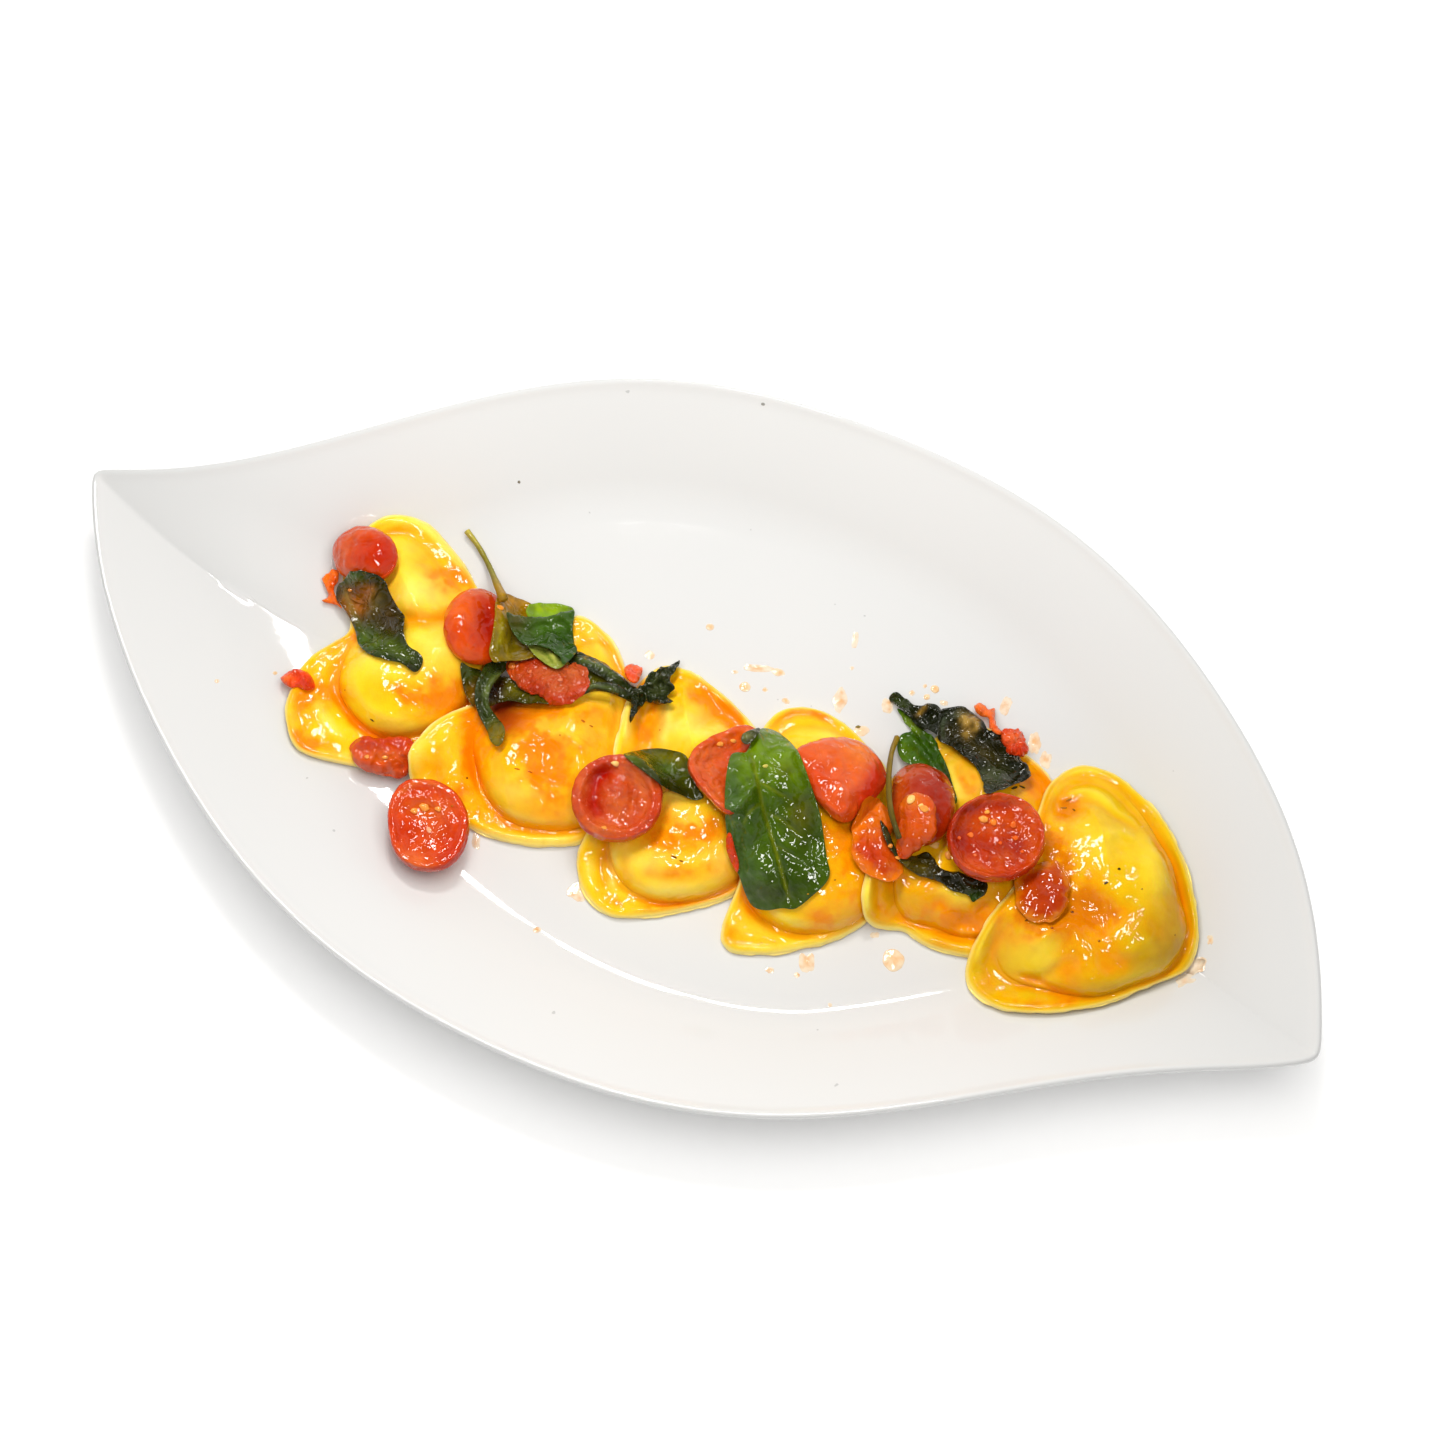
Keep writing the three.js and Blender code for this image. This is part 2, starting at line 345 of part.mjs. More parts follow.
// The middle line between the two long sides, a gentle S that ends where the well's tips are.
const spine = (s) => [133 * s + 3, 13 * s + 27.5 * s ** 3 - 27 * s ** 5 - 0.5 - 5 * s ** 4];
function plateGeometry() {
  const n = SEGMENTS.plate;
  const quarter = outline.length / 2;
  let tip = 0;
  outline.forEach(([x], i) => {
    if (x < outline[tip][0]) tip = i;
  });
  const rim = [];
  const inner = [];
  for (let k = 0; k < n; k++) {
    // Points crowd towards the tips, and the two sides share their points of the spine.
    const half = (2 * k) / n;
    const far = half < 1;
    const w = far ? half : half - 1;
    const even = (1 - Math.cos(Math.PI * w)) / 2;
    const share = 0.55 * even + 0.45 * w;
    const i = far ? share * tip : tip + share * (outline.length - tip);
    const a = outline[Math.floor(i) % outline.length];
    const b = outline[(Math.floor(i) + 1) % outline.length];
    const u = i - Math.floor(i);
    rim.push([a[0] * (1 - u) + b[0] * u, a[1] * (1 - u) + b[1] * u]);
    const s = Math.cos(Math.PI * (far ? share : 1 - share));
    inner.push(spine(s));
  }
  const reach = inner.map(([x, y]) => insideDistance(coarseOutline, x, y));
  // The point on the way from the lip to the spine at a distance from the lip, or at a share of the
  // distance that the way reaches, if that comes first.
  const walk = (k, distance, share) => {
    const [ax, ay] = rim[k];
    const [bx, by] = inner[k];
    const at = (t) => [ax + (bx - ax) * t, ay + (by - ay) * t];
    const want = Math.min(distance, share * reach[k]);
    if (want <= 0) return at(0);
    let low = 0;
    let high = 1;
    for (let i = 0; i < 30; i++) {
      const t = (low + high) / 2;
      if (insideDistance(coarseOutline, ...at(t)) < want) low = t;
      else high = t;
    }
    return at(high);
  };
  const ring = (distance, share, height) =>
    rim.map((_, k) => {
      const [x, y] = walk(k, distance, share);
      return [x, y, height(distance < 4 ? distance : sample(lipDistance, x, y), slopeWidth(x, y))];
    });
  const { foot, wall, lip } = PLATE;
  const under = (d, width) => Math.max(plateTop(d, width) - wall, 2);
  const rings = [
    ring(52, 0.992, plateTop),
    ring(44, 0.985, plateTop),
    ring(36, 0.955, plateTop),
    ring(32, 0.91, plateTop),
    ring(28, 0.82, plateTop),
    ring(23, 0.7, plateTop),
    ring(12, 0.5, plateTop),
    ring(lip, 0.3, () => plateTop(lip) + 0.35),
    ring(lip / 2, 0.2, () => PLATE.height),
    ring(0, 0, () => PLATE.height - 1.3),
    ring(lip / 3, 0.1, () => PLATE.height - 3.1),
    ring(lip * 1.4, 0.3, under),
    ring(20, 0.6, under),
    ring(29, 0.82, under),
    ring(foot.outer, 0.92, () => 2),
    ring(foot.outer + 0.6, 0.935, () => 0),
    ring(foot.inner, 0.965, () => 0),
    ring(foot.inner + 0.8, 0.98, () => foot.recess),
  ];
  // Both faces close on the spine, a line instead of a point.
  const spineTop = inner.map(([x, y]) => [x, y, plateTop(sample(lipDistance, x, y), slopeWidth(x, y))]);
  const spineUnder = inner.map(([x, y]) => [x, y, foot.recess]);
  const all = [spineTop, ...rings, spineUnder];
  const position = all.flat(2);
  const index = [];
  for (let r = 0; r + 1 < all.length; r++)
    for (let k = 0; k < n; k++) {
      const a = r * n + k;
      const b = r * n + ((k + 1) % n);
      index.push(a, a + n, b + n, a, b + n, b);
    }
  return cleaned(geometryOf(position, index));
}
// Joins equal points and leaves out the triangles that lose their area by it.
function cleaned(geometry) {
  const g = mergeVertices(geometry, 1e-3);
  const p = g.getAttribute("position");
  const index = [];
  for (let i = 0; i < g.index.count; i += 3) {
    const t = [0, 1, 2].map((k) => g.index.getX(i + k));
    if (t[0] !== t[1] && t[1] !== t[2] && t[0] !== t[2]) index.push(...t);
  }
  return geometryOf(Array.from(p.array), index);
}

// ---------- food ----------
const hump = (x, y, [cx, cy, rx, ry, turn, amount]) => {
  const c = Math.cos((turn * Math.PI) / 180);
  const s = Math.sin((turn * Math.PI) / 180);
  const u = ((x - cx) * c + (y - cy) * s) / rx;
  const v = (-(x - cx) * s + (y - cy) * c) / ry;
  return amount * Math.exp(-0.5 * (u * u + v * v));
};
// Thickness of a raviolo, from the distances inside its cut edge and inside the foot of its filling.
function pastaThickness(it, x, y, edge, fill) {
  const round = (v, r) => Math.sqrt(1 - (1 - clamp(v / r, 0, 1)) ** 2);
  const border = PASTA.sheet + (PASTA.border - PASTA.sheet) * round(edge, 1.6);
  const turn = (Math.atan2(y - it.at[1], x - it.at[0]) * 180) / Math.PI - it.taut;
  const off = Math.abs(((((turn + 180) % 360) + 360) % 360) - 180);
  const taut = 1 - smoothstep(55, 115, off);
  const upright = round(fill, 15);
  const gentle = 0.9 * smoothstep(-2.5, 19, fill) + 0.1 * smoothstep(-1.5, 5, fill);
  const inside = smoothstep(-2.5, 3.5, fill);
  let all = 0;
  let raised = 0;
  for (const f of it.folds) {
    const h = hump(x, y, f);
    all += h;
    if (f[5] > 1.7) raised += h;
  }
  const dome = (it.height - PASTA.border) * (taut * upright + (1 - taut) * gentle);
  return Math.max(PASTA.sheet, border + dome + all * inside + Math.max(0, raised) * (1 - inside) * smoothstep(0, 4, edge));
}
function layRaviolo(it) {
  const bed = support(2, 2);
  const rim = closedCurve(it.at, it.rim, 120);
  const filling = closedCurve(it.at, it.filling, 120);
  const top = (x, y) =>
    sample(bed, x, y) + GAP + pastaThickness(it, x, y, insideDistance(rim, x, y), insideDistance(filling, x, y));
  const n = SEGMENTS.raviolo;
  const ring = (radius, height) =>
    Array.from({ length: n }, (_, k) => {
      const a = (2 * Math.PI * k) / n;
      const R = radiusAt(it.rim, a);
      const r = radius(Math.min(radiusAt(it.filling, a), R - 1.6), R);
      const x = it.at[0] + r * Math.cos(a);
      const y = it.at[1] + r * Math.sin(a);
      return [x, y, height(x, y, r)];
    });
  const under = (x, y) => sample(bed, x, y) + GAP;
  const [cx, cy] = it.at;
  const geometry = ringMesh(
    [cx, cy, top(cx, cy)],
    [
      ring((f) => 0.38 * f, top),
      ring((f) => 0.72 * f, top),
      ring((f) => f - 1.2, top),
      ring((f) => f + 0.5, top),
      ring((f, R) => R, (x, y) => under(x, y) + PASTA.sheet),
      ring((f, R) => R, under),
      ring((f, R) => 0.75 * R, under),
      ring((f, R) => 0.4 * R, under),
    ],
    [cx, cy, under(cx, cy)],
  );
  for (let j = 0; j < ny; j++)
    for (let i = 0; i < nx; i++) {
      const x = i + x0;
      const y = j + y0;
      if (Math.hypot(x - cx, y - cy) > 60) continue;
      const d = insideDistance(rim, x, y);
      if (d <= 0) continue;
      const z = bed[j * nx + i] + GAP + pastaThickness(it, x, y, d, insideDistance(filling, x, y));
      if (z > heights[j * nx + i]) heights[j * nx + i] = z;
    }
  return geometry;
}

// The plane that a stiff piece rests on: least squares through the bed under its outline, lifted so that
// little of the bed stands through it, and never steeper than the piece would lie without sliding.
function restingPlane(bed, curve) {
  const c = [0, 1].map((d) => curve.reduce((s, p) => s + p[d], 0) / curve.length);
  const shrunk = curve.map((p) => p.map((v, d) => c[d] + (v - c[d]) * 0.82));
  const at = [];
  for (let j = 0; j < ny; j++)
    for (let i = 0; i < nx; i++) {
      const x = i + x0;
      const y = j + y0;
      if (Math.hypot(x - c[0], y - c[1]) < 25 && insideDistance(shrunk, x, y) > 0)
        at.push([x - c[0], y - c[1], bed[j * nx + i]]);
    }
  const sum = (f) => at.reduce((s, p) => s + f(p), 0);
  const m = new THREE.Matrix3().set(
    at.length, sum((p) => p[0]), sum((p) => p[1]),
    sum((p) => p[0]), sum((p) => p[0] * p[0]), sum((p) => p[0] * p[1]),
    sum((p) => p[1]), sum((p) => p[0] * p[1]), sum((p) => p[1] * p[1]),
  );
  const v = new THREE.Vector3(sum((p) => p[2]), sum((p) => p[0] * p[2]), sum((p) => p[1] * p[2])).applyMatrix3(m.invert());
  const steep = Math.min(1, 0.42 / Math.hypot(v.y, v.z));
  const b = v.y * steep;
  const d = v.z * steep;
  const rest = at.map((p) => p[2] - (v.x + b * p[0] + d * p[1])).sort((p, q) => p - q);
  const base = v.x + rest[Math.floor(0.8 * (rest.length - 1))];
  return (x, y) => base + b * (x - c[0]) + d * (y - c[1]);
}
// Top and underside of half a tomato, or of a lump of pulp, over its resting plane.
function tomatoProfile(kind, height, share) {
  const r = clamp(share, 0, 1);
  if (kind === "skin") {
    const edge = 0.34 * height;
    return [edge + (height - edge) * Math.sqrt(Math.max(0, 1 - r ** 2.2)), edge * r ** 4];
  }
  if (kind === "cut") {
    const edge = 0.72 * height;
    const top =
      r > 0.93
        ? edge + (height - edge) * Math.sqrt(Math.max(0, 1 - ((r - 0.93) / 0.07) ** 2))
        : height - 0.9 * (1 - (r / 0.93) ** 2);
    return [top, edge * r ** 3.2];
  }
  const edge = 0.3 * height;
  return [edge + (height - edge) * Math.sqrt(Math.max(0, 1 - r ** 2.6)), edge * r ** 3];
}
function layTomato(it) {
  const bed = support(1, 1);
  const plane = restingPlane(bed, closedCurve(it.at, it.rim, 56));
  const n = SEGMENTS.tomato;
  const low = (x, y) => sample(bed, x, y) + GAP;
  const top = (x, y, share) =>
    Math.max(plane(x, y) + GAP + tomatoProfile(it.kind, it.height, share)[0], low(x, y) + 1.2);
  const under = (x, y, share) => Math.max(plane(x, y) + GAP + tomatoProfile(it.kind, it.height, share)[1], low(x, y));
  const ring = (share, height) =>
    Array.from({ length: n }, (_, k) => {
      const a = (2 * Math.PI * k) / n;
      const r = share * radiusAt(it.rim, a);
      const x = it.at[0] + r * Math.cos(a);
      const y = it.at[1] + r * Math.sin(a);
      return [x, y, height(x, y, share)];
    });
  const shares = it.kind === "cut" ? [0.55, 0.935, 0.985] : it.kind === "skin" ? [0.45, 0.78, 0.95] : [0.55, 0.88];
  const [cx, cy] = it.at;
  const geometry = ringMesh(
    [cx, cy, top(cx, cy, 0)],
    [
      ...shares.map((s) => ring(s, top)),
      ring(1, (x, y) => Math.max(under(x, y, 1), top(x, y, 1) - 1.2)),
      ring(0.93, (x, y, s) => Math.min(under(x, y, s), top(x, y, s) - 1.1)),
      ring(0.6, under),
    ],
    [cx, cy, under(cx, cy, 0)],
  );
  for (let j = 0; j < ny; j++)
    for (let i = 0; i < nx; i++) {
      const dx = i + x0 - cx;
      const dy = j + y0 - cy;
      const r = Math.hypot(dx, dy);
      if (r > 25) continue;
      const share = r / radiusAt(it.rim, Math.atan2(dy, dx));
      if (share >= 1) continue;
      const z = Math.max(
        plane(i + x0, j + y0) + GAP + tomatoProfile(it.kind, it.height, share)[0],
        bed[j * nx + i] + GAP + 1.2,
      );
      if (z > heights[j * nx + i]) heights[j * nx + i] = z;
    }
  return geometry;
}
function raise(x, y, z) {
  const k = clamp(Math.round(y - y0), 0, ny - 1) * nx + clamp(Math.round(x - x0), 0, nx - 1);
  if (z > heights[k]) heights[k] = z;
}

// A leaf: a strip along its rib, draped on the bed.
function layLeaf(it) {
  const bed = support(2, 2);
  const width = (list, u) => Math.max(0.6, openCurve(list.map((w) => [w]), u)[0]);
  const point = (u, v) => {
    const [x, y] = openCurve(it.rib, u);
    const e = 1 / 180;
    const a = openCurve(it.rib, u - e);
    const b = openCurve(it.rib, u + e);
    const l = Math.hypot(b[0] - a[0], b[1] - a[1]);
    const w = v * width(v > 0 ? it.left : it.right, u);
    const px = x - ((b[1] - a[1]) / l) * w;
    const py = y + ((b[0] - a[0]) / l) * w;
    return [px, py, sample(bed, px, py) + GAP + it.lift * (1 - 0.4 * v * v)];
  };
  const m = SEGMENTS.leafLong;
  const n = SEGMENTS.leafWide;
  const position = [];
  for (const up of [LEAF, 0])
    for (let i = 0; i <= m; i++)
      for (let j = 0; j <= n; j++) {
        const [x, y, z] = point(i / m, (2 * j) / n - 1);
        position.push(x, y, z + up);
      }
  const at = (layer, i, j) => (layer * (m + 1) + i) * (n + 1) + j;
  const index = [];
  for (let i = 0; i < m; i++)
    for (let j = 0; j < n; j++) {
      index.push(at(0, i, j), at(0, i + 1, j), at(0, i + 1, j + 1), at(0, i, j), at(0, i + 1, j + 1), at(0, i, j + 1));
      index.push(at(1, i, j), at(1, i + 1, j + 1), at(1, i + 1, j), at(1, i, j), at(1, i, j + 1), at(1, i + 1, j + 1));
    }
  const edge = [];
  for (let i = 0; i < m; i++) edge.push([i, 0]);
  for (let j = 0; j < n; j++) edge.push([m, j]);
  for (let i = m; i > 0; i--) edge.push([i, n]);
  for (let j = n; j > 0; j--) edge.push([0, j]);
  edge.forEach(([i, j], k) => {
    const [p, q] = edge[(k + 1) % edge.length];
    index.push(at(0, i, j), at(1, i, j), at(1, p, q), at(0, i, j), at(1, p, q), at(0, p, q));
  });
  const cellsUp = [];
  for (let i = 0; i < 90; i++)
    for (let j = 0; j < 45; j++) cellsUp.push(point(i / 89, (2 * j) / 44 - 1));
  cellsUp.forEach(([x, y, z]) => raise(x, y, z + LEAF));
  return geometryOf(position, index);
}
function layStem(it) {
  const curve = new THREE.CatmullRomCurve3(it.path.map((p) => new THREE.Vector3(...p)));
  const section = new THREE.Shape(
    Array.from({ length: 6 }, (_, k) => {
      const a = (Math.PI * k) / 3;
      return new THREE.Vector2(it.radius * Math.cos(a), it.radius * Math.sin(a));
    }),
  );
  const g = new THREE.ExtrudeGeometry(section, { steps: SEGMENTS.stem, bevelEnabled: false, extrudePath: curve });
  for (let i = 0; i < 80; i++) {
    const [x, y, z] = openCurve(it.path, i / 79);
    for (let dx = -1; dx <= 1; dx++)
      for (let dy = -1; dy <= 1; dy++) raise(x + dx, y + dy, z + it.radius * (dx || dy ? 0.7 : 1));
  }
  return g;
}

// ---------- solids ----------
const wasm = await Module();
wasm.setup();
const bare = (geometry) => {
  const g = geometry.clone();
  for (const name of Object.keys(g.attributes)) if (name !== "position") g.deleteAttribute(name);
  return mergeVertices(g, 1e-3);
};
const solid = (geometry) => {
  const g = bare(geometry);
  return new wasm.Manifold(
    new wasm.Mesh({
      numProp: 3,
      vertProperties: new Float32Array(g.getAttribute("position").array),
      triVerts: new Uint32Array(g.index.array),
    }),
  );
};
// The same surface moved outwards along its normals, to cut a clearance into the next piece.
function grown(geometry, by) {
  const g = bare(geometry);
  g.computeVertexNormals();
  const p = g.getAttribute("position");
  const n = g.getAttribute("normal");
  for (let i = 0; i < p.count; i++)
    p.setXYZ(i, p.getX(i) + by * n.getX(i), p.getY(i) + by * n.getY(i), p.getZ(i) + by * n.getZ(i));
  g.deleteAttribute("normal");
  return solid(g);
}
function geometryFrom(manifold) {
  const m = manifold.getMesh();
  const position = [];
  for (let i = 0; i < m.numVert; i++)
    position.push(...m.vertProperties.slice(i * m.numProp, i * m.numProp + 3));
  const g = geometryOf(position, Array.from(m.triVerts));
  g.computeVertexNormals();
  return g;
}

const group = new THREE.Group();
function add(name, geometry, colour, roughness) {
  geometry.computeVertexNormals();
  const mesh = new THREE.Mesh(
    geometry,
    new THREE.MeshStandardMaterial({ color: colour, roughness, metalness: 0 }),
  );
  mesh.name = name;
  group.add(mesh);
}

const plate = plateGeometry();
add("plate", plate, COLOURS.plate, 0.12);
const laid = [{ name: "plate", cutter: grown(plate, 0.3), box: new THREE.Box3().setFromBufferAttribute(plate.getAttribute("position")) }];
for (const name of LAYING_ORDER) {
  const geometry = RAVIOLI[name]
    ? layRaviolo(RAVIOLI[name])
    : TOMATOES[name]
      ? layTomato(TOMATOES[name])
      : LEAVES[name]
        ? layLeaf(LEAVES[name])
        : layStem(STEMS[name]);
  const box = new THREE.Box3().setFromBufferAttribute(geometry.getAttribute("position")).expandByScalar(0.5);
  let body = solid(geometry);
  for (const below of laid) if (below.box.intersectsBox(box)) body = body.subtract(below.cutter);
  // A cut can leave crumbs: the piece is the largest body.
  const bodies = body.decompose().sort((a, b) => b.volume() - a.volume());
  const shape = geometryFrom(bodies[0]);
  const kind = TOMATOES[name]?.kind;
  const colour = RAVIOLI[name]
    ? COLOURS.raviolo
    : kind
      ? COLOURS[kind]
      : STEMS[name]
        ? COLOURS.stem
        : name === "basil_6" || name === "basil_8"
          ? COLOURS.brightLeaf
          : COLOURS.leaf;
  add(name, shape, colour, RAVIOLI[name] ? 0.35 : 0.25);
  laid.push({ name, cutter: grown(shape, 0.3), box });
}

export default group;
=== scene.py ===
import math

import bpy
import numpy as np
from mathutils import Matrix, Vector
from mathutils.bvhtree import BVHTree
from mathutils.geometry import delaunay_2d_cdt


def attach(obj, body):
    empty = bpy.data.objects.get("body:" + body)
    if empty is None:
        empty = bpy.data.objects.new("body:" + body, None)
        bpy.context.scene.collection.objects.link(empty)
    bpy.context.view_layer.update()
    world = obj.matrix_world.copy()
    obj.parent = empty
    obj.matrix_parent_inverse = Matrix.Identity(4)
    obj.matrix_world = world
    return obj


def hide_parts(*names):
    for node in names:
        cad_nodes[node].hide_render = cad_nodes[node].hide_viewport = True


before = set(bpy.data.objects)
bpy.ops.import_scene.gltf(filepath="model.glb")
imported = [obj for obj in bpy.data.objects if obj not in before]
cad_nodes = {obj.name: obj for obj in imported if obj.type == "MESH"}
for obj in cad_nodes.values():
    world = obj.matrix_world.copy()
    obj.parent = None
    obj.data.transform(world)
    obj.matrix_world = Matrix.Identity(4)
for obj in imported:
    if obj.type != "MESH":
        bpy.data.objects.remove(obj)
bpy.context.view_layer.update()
rng = np.random.default_rng(7)

# ---------------------------------------------------------------- camera
TILT, TURN, FOCAL = math.radians(16.0), math.radians(26.4407), 2400.0
EYE = np.array([84.6555, -156.8764, 654.3632])
cam_data = bpy.data.cameras.new("camera")
cam_data.lens, cam_data.sensor_width = 60.0, 36.0
cam_data.clip_start, cam_data.clip_end = 0.01, 20.0
camera = bpy.data.objects.new("camera", cam_data)
camera.location = EYE / 1000.0
camera.rotation_euler = (TILT, 0.0, TURN)
bpy.context.scene.collection.objects.link(camera)
bpy.context.scene.camera = camera
_ct, _st, _cr, _sr = math.cos(TILT), math.sin(TILT), math.cos(TURN), math.sin(TURN)
LOOK = np.array([[_cr, -_sr * _ct, _sr * _st], [_sr, _cr * _ct, -_cr * _st], [0.0, _st, _ct]])


def to_view(x, y, z):
    """part millimetres -> place in the 1440-pixel view"""
    q = np.stack([x - EYE[0], y - EYE[1], z - EYE[2]], -1) @ LOOK
    return 720.0 + FOCAL * q[..., 0] / -q[..., 2], 720.0 - FOCAL * q[..., 1] / -q[..., 2]


def from_view(px, py, z):
    """place in the view, at the height z -> part millimetres"""
    px, py = np.asarray(px, float), np.asarray(py, float)
    d = np.stack([(px - 720.0) / FOCAL, (720.0 - py) / FOCAL, -np.ones_like(px)], -1) @ LOOK.T
    t = (z - EYE[2]) / d[..., 2]
    return EYE[0] + t * d[..., 0], EYE[1] + t * d[..., 1]


# ---------------------------------------------------------------- shared shapes, as the solids have them
X0, Y0, NX, NY = -190, -106, 381, 213
GX, GY = np.meshgrid(np.arange(NX) + float(X0), np.arange(NY) + float(Y0))
WELL, GAP, HALF = 5.5, 0.35, 187.2
FAR = (109.17, 17.72, 47.91, 48.87, -167.14, 40.8, 164.71)
NEAR = (-94.23, 13.26, -20.26, 54.18, 109.85, -21.38, -119.53)


def poly(a, s):
    return (1 - s * s) * sum(c * s**k for k, c in enumerate(a))


def resample(P, n):
    Q = np.vstack([P, P[:1]])
    L = np.r_[0, np.cumsum(np.hypot(*np.diff(Q, axis=0).T))]
    t = np.linspace(0, L[-1], n + 1)[:-1]
    return np.c_[np.interp(t, L, Q[:, 0]), np.interp(t, L, Q[:, 1])]


def smooth_closed(P, sig):
    L = np.hypot(*(np.roll(P, -1, 0) - P).T).mean()
    k = int(np.ceil(3 * sig / L))
    w = np.exp(-0.5 * (np.arange(-k, k + 1) * L / sig) ** 2)
    w /= w.sum()
    return sum(w[i + k] * np.roll(P, -i, 0) for i in range(-k, k + 1))


def outline():
    x = np.cos(np.linspace(0, np.pi, 400))
    far = np.c_[x * HALF, poly(FAR, x)]
    near = np.c_[x[::-1] * HALF, poly(NEAR, x[::-1])]
    P = smooth_closed(resample(np.vstack([far[:-1], near[:-1]]), 1440), 2.6)
    return P - (P.min(0) + P.max(0)) / 2


def blur(A, s):
    r = max(1, int(round(s)))
    for _ in range(3):
        for ax in (0, 1):
            B = np.concatenate([np.repeat(np.take(A, [0], ax), r, ax), A, np.repeat(np.take(A, [-1], ax), r, ax)], ax)
            c = np.cumsum(B, axis=ax)
            c = np.concatenate([np.zeros_like(np.take(c, [0], ax)), c], ax)
            n = A.shape[ax]
            A = (np.take(c, np.arange(2 * r + 1, 2 * r + 1 + n), ax) - np.take(c, np.arange(0, n), ax)) / (2 * r + 1)
    return A


def highest(A, r):
    out = A.copy()
    for dy in range(-r, r + 1):
        for dx in range(-r, r + 1):
            if dx * dx + dy * dy <= r * r + 0.5 and (dx or dy):
                out = np.maximum(out, np.roll(np.roll(A, dy, 0), dx, 1))
    return out


def sample(A, x, y):
    fx = np.clip(np.asarray(x, float) - X0, 0, NX - 1.001)
    fy = np.clip(np.asarray(y, float) - Y0, 0, NY - 1.001)
    i, j = np.floor(fx).astype(int), np.floor(fy).astype(int)
    u, v = fx - i, fy - j
    return (A[j, i] * (1 - u) + A[j, i + 1] * u) * (1 - v) + (A[j + 1, i] * (1 - u) + A[j + 1, i + 1] * u) * v


def inside_dist(P, x, y):
    """distance to the closed polygon P, positive inside"""
    x, y = np.asarray(x, float), np.asarray(y, float)
    sh = x.shape
    x, y = x.ravel(), y.ravel()
    best, ins = np.full(x.shape, 1e9), np.zeros(x.shape, bool)
    for (ax, ay), (bx, by) in zip(P, np.roll(P, -1, 0)):
        dx, dy = bx - ax, by - ay
        t = np.clip(((x - ax) * dx + (y - ay) * dy) / (dx * dx + dy * dy + 1e-12), 0, 1)
        np.minimum(best, (x - ax - t * dx) ** 2 + (y - ay - t * dy) ** 2, out=best)
        c = (ay > y) != (by > y)
        ins ^= c & (x < ax + (y - ay) / (dy if dy else 1e-12) * dx)
    d = np.sqrt(best)
    return np.where(ins, d, -d).reshape(sh)


def closed_radii(rad, n):
    """Catmull-Rom radii at n equal angles from the radii at fewer"""
    K = len(rad)
    t = np.arange(n) * K / n
    i = np.floor(t).astype(int)
    u, r = t - i, np.asarray(rad, float)
    p0, p1, p2, p3 = r[(i - 1) % K], r[i % K], r[(i + 1) % K], r[(i + 2) % K]
    return 0.5 * (2 * p1 + (p2 - p0) * u + (2 * p0 - 5 * p1 + 4 * p2 - p3) * u * u + (3 * p1 - p0 - 3 * p2 + p3) * u**3)


def polar_curve(c, rad, n=120):
    v, a = closed_radii(rad, n), 2 * np.pi * np.arange(n) / n
    return np.c_[c[0] + v * np.cos(a), c[1] + v * np.sin(a)]


def closed_curve(pts, n):
    pts = np.asarray(pts, float)
    K = len(pts)
    t = np.arange(n) * K / n
    i = np.floor(t).astype(int)
    u = (t - i)[:, None]
    p0, p1, p2, p3 = pts[(i - 1) % K], pts[i % K], pts[(i + 1) % K], pts[(i + 2) % K]
    return 0.5 * (2 * p1 + (p2 - p0) * u + (2 * p0 - 5 * p1 + 4 * p2 - p3) * u * u + (3 * p1 - p0 - 3 * p2 + p3) * u**3)


def open_curve(pts, u):
    p = np.asarray(pts, float)
    K = len(p)
    p = np.vstack([2 * p[:1] - p[1:2], p, 2 * p[-1:] - p[-2:-1]])
    t = np.clip(np.asarray(u, float), 0, 1) * (K - 1)
    i = np.minimum(np.floor(t).astype(int), K - 2)
    w = (t - i)[..., None]
    p0, p1, p2, p3 = p[i], p[i + 1], p[i + 2], p[i + 3]
    return 0.5 * (2 * p1 + (p2 - p0) * w + (2 * p0 - 5 * p1 + 4 * p2 - p3) * w * w + (3 * p1 - p0 - 3 * p2 + p3) * w**3)


def ss(a, b, x):
    t = np.clip((np.asarray(x, float) - a) / (b - a), 0, 1)
    return t * t * (3 - 2 * t)


def gauss(x, y, b):
    cx, cy, rx, ry, rot, amp = b
    c, s = math.cos(math.radians(rot)), math.sin(math.radians(rot))
    u, v = ((x - cx) * c + (y - cy) * s) / rx, (-(x - cx) * s + (y - cy) * c) / ry
    return amp * np.exp(-0.5 * (u * u + v * v))


def hashed(ix, iy, iz, seed):
    h = (ix * 73856093) ^ (iy * 19349663) ^ (iz * 83492791) ^ (seed * 40503 + 977)
    h = (h ^ (h >> 13)) & 0xFFFFFFFF
    h = (h * 1274126177) & 0xFFFFFFFF
    h = h ^ (h >> 16)
    return (h & 0xFFFF) / 32767.5 - 1.0


def noise(x, y, z=0.0, seed=0):
    """smooth value noise in -1..1 with cells of size 1"""
    x, y, z = np.broadcast_arrays(np.asarray(x, float), np.asarray(y, float), np.asarray(z, float))
    i, j, k = (np.floor(v).astype(np.int64) for v in (x, y, z))
    u, v, w = (t * t * t * (t * (t * 6 - 15) + 10) for t in (x - i, y - j, z - k))
    out = 0.0
    for a in (0, 1):
        for b in (0, 1):
            for c in (0, 1):
                wt = (u if a else 1 - u) * (v if b else 1 - v) * (w if c else 1 - w)
                out = out + wt * hashed(i + a, j + b, k + c, seed)
    return out


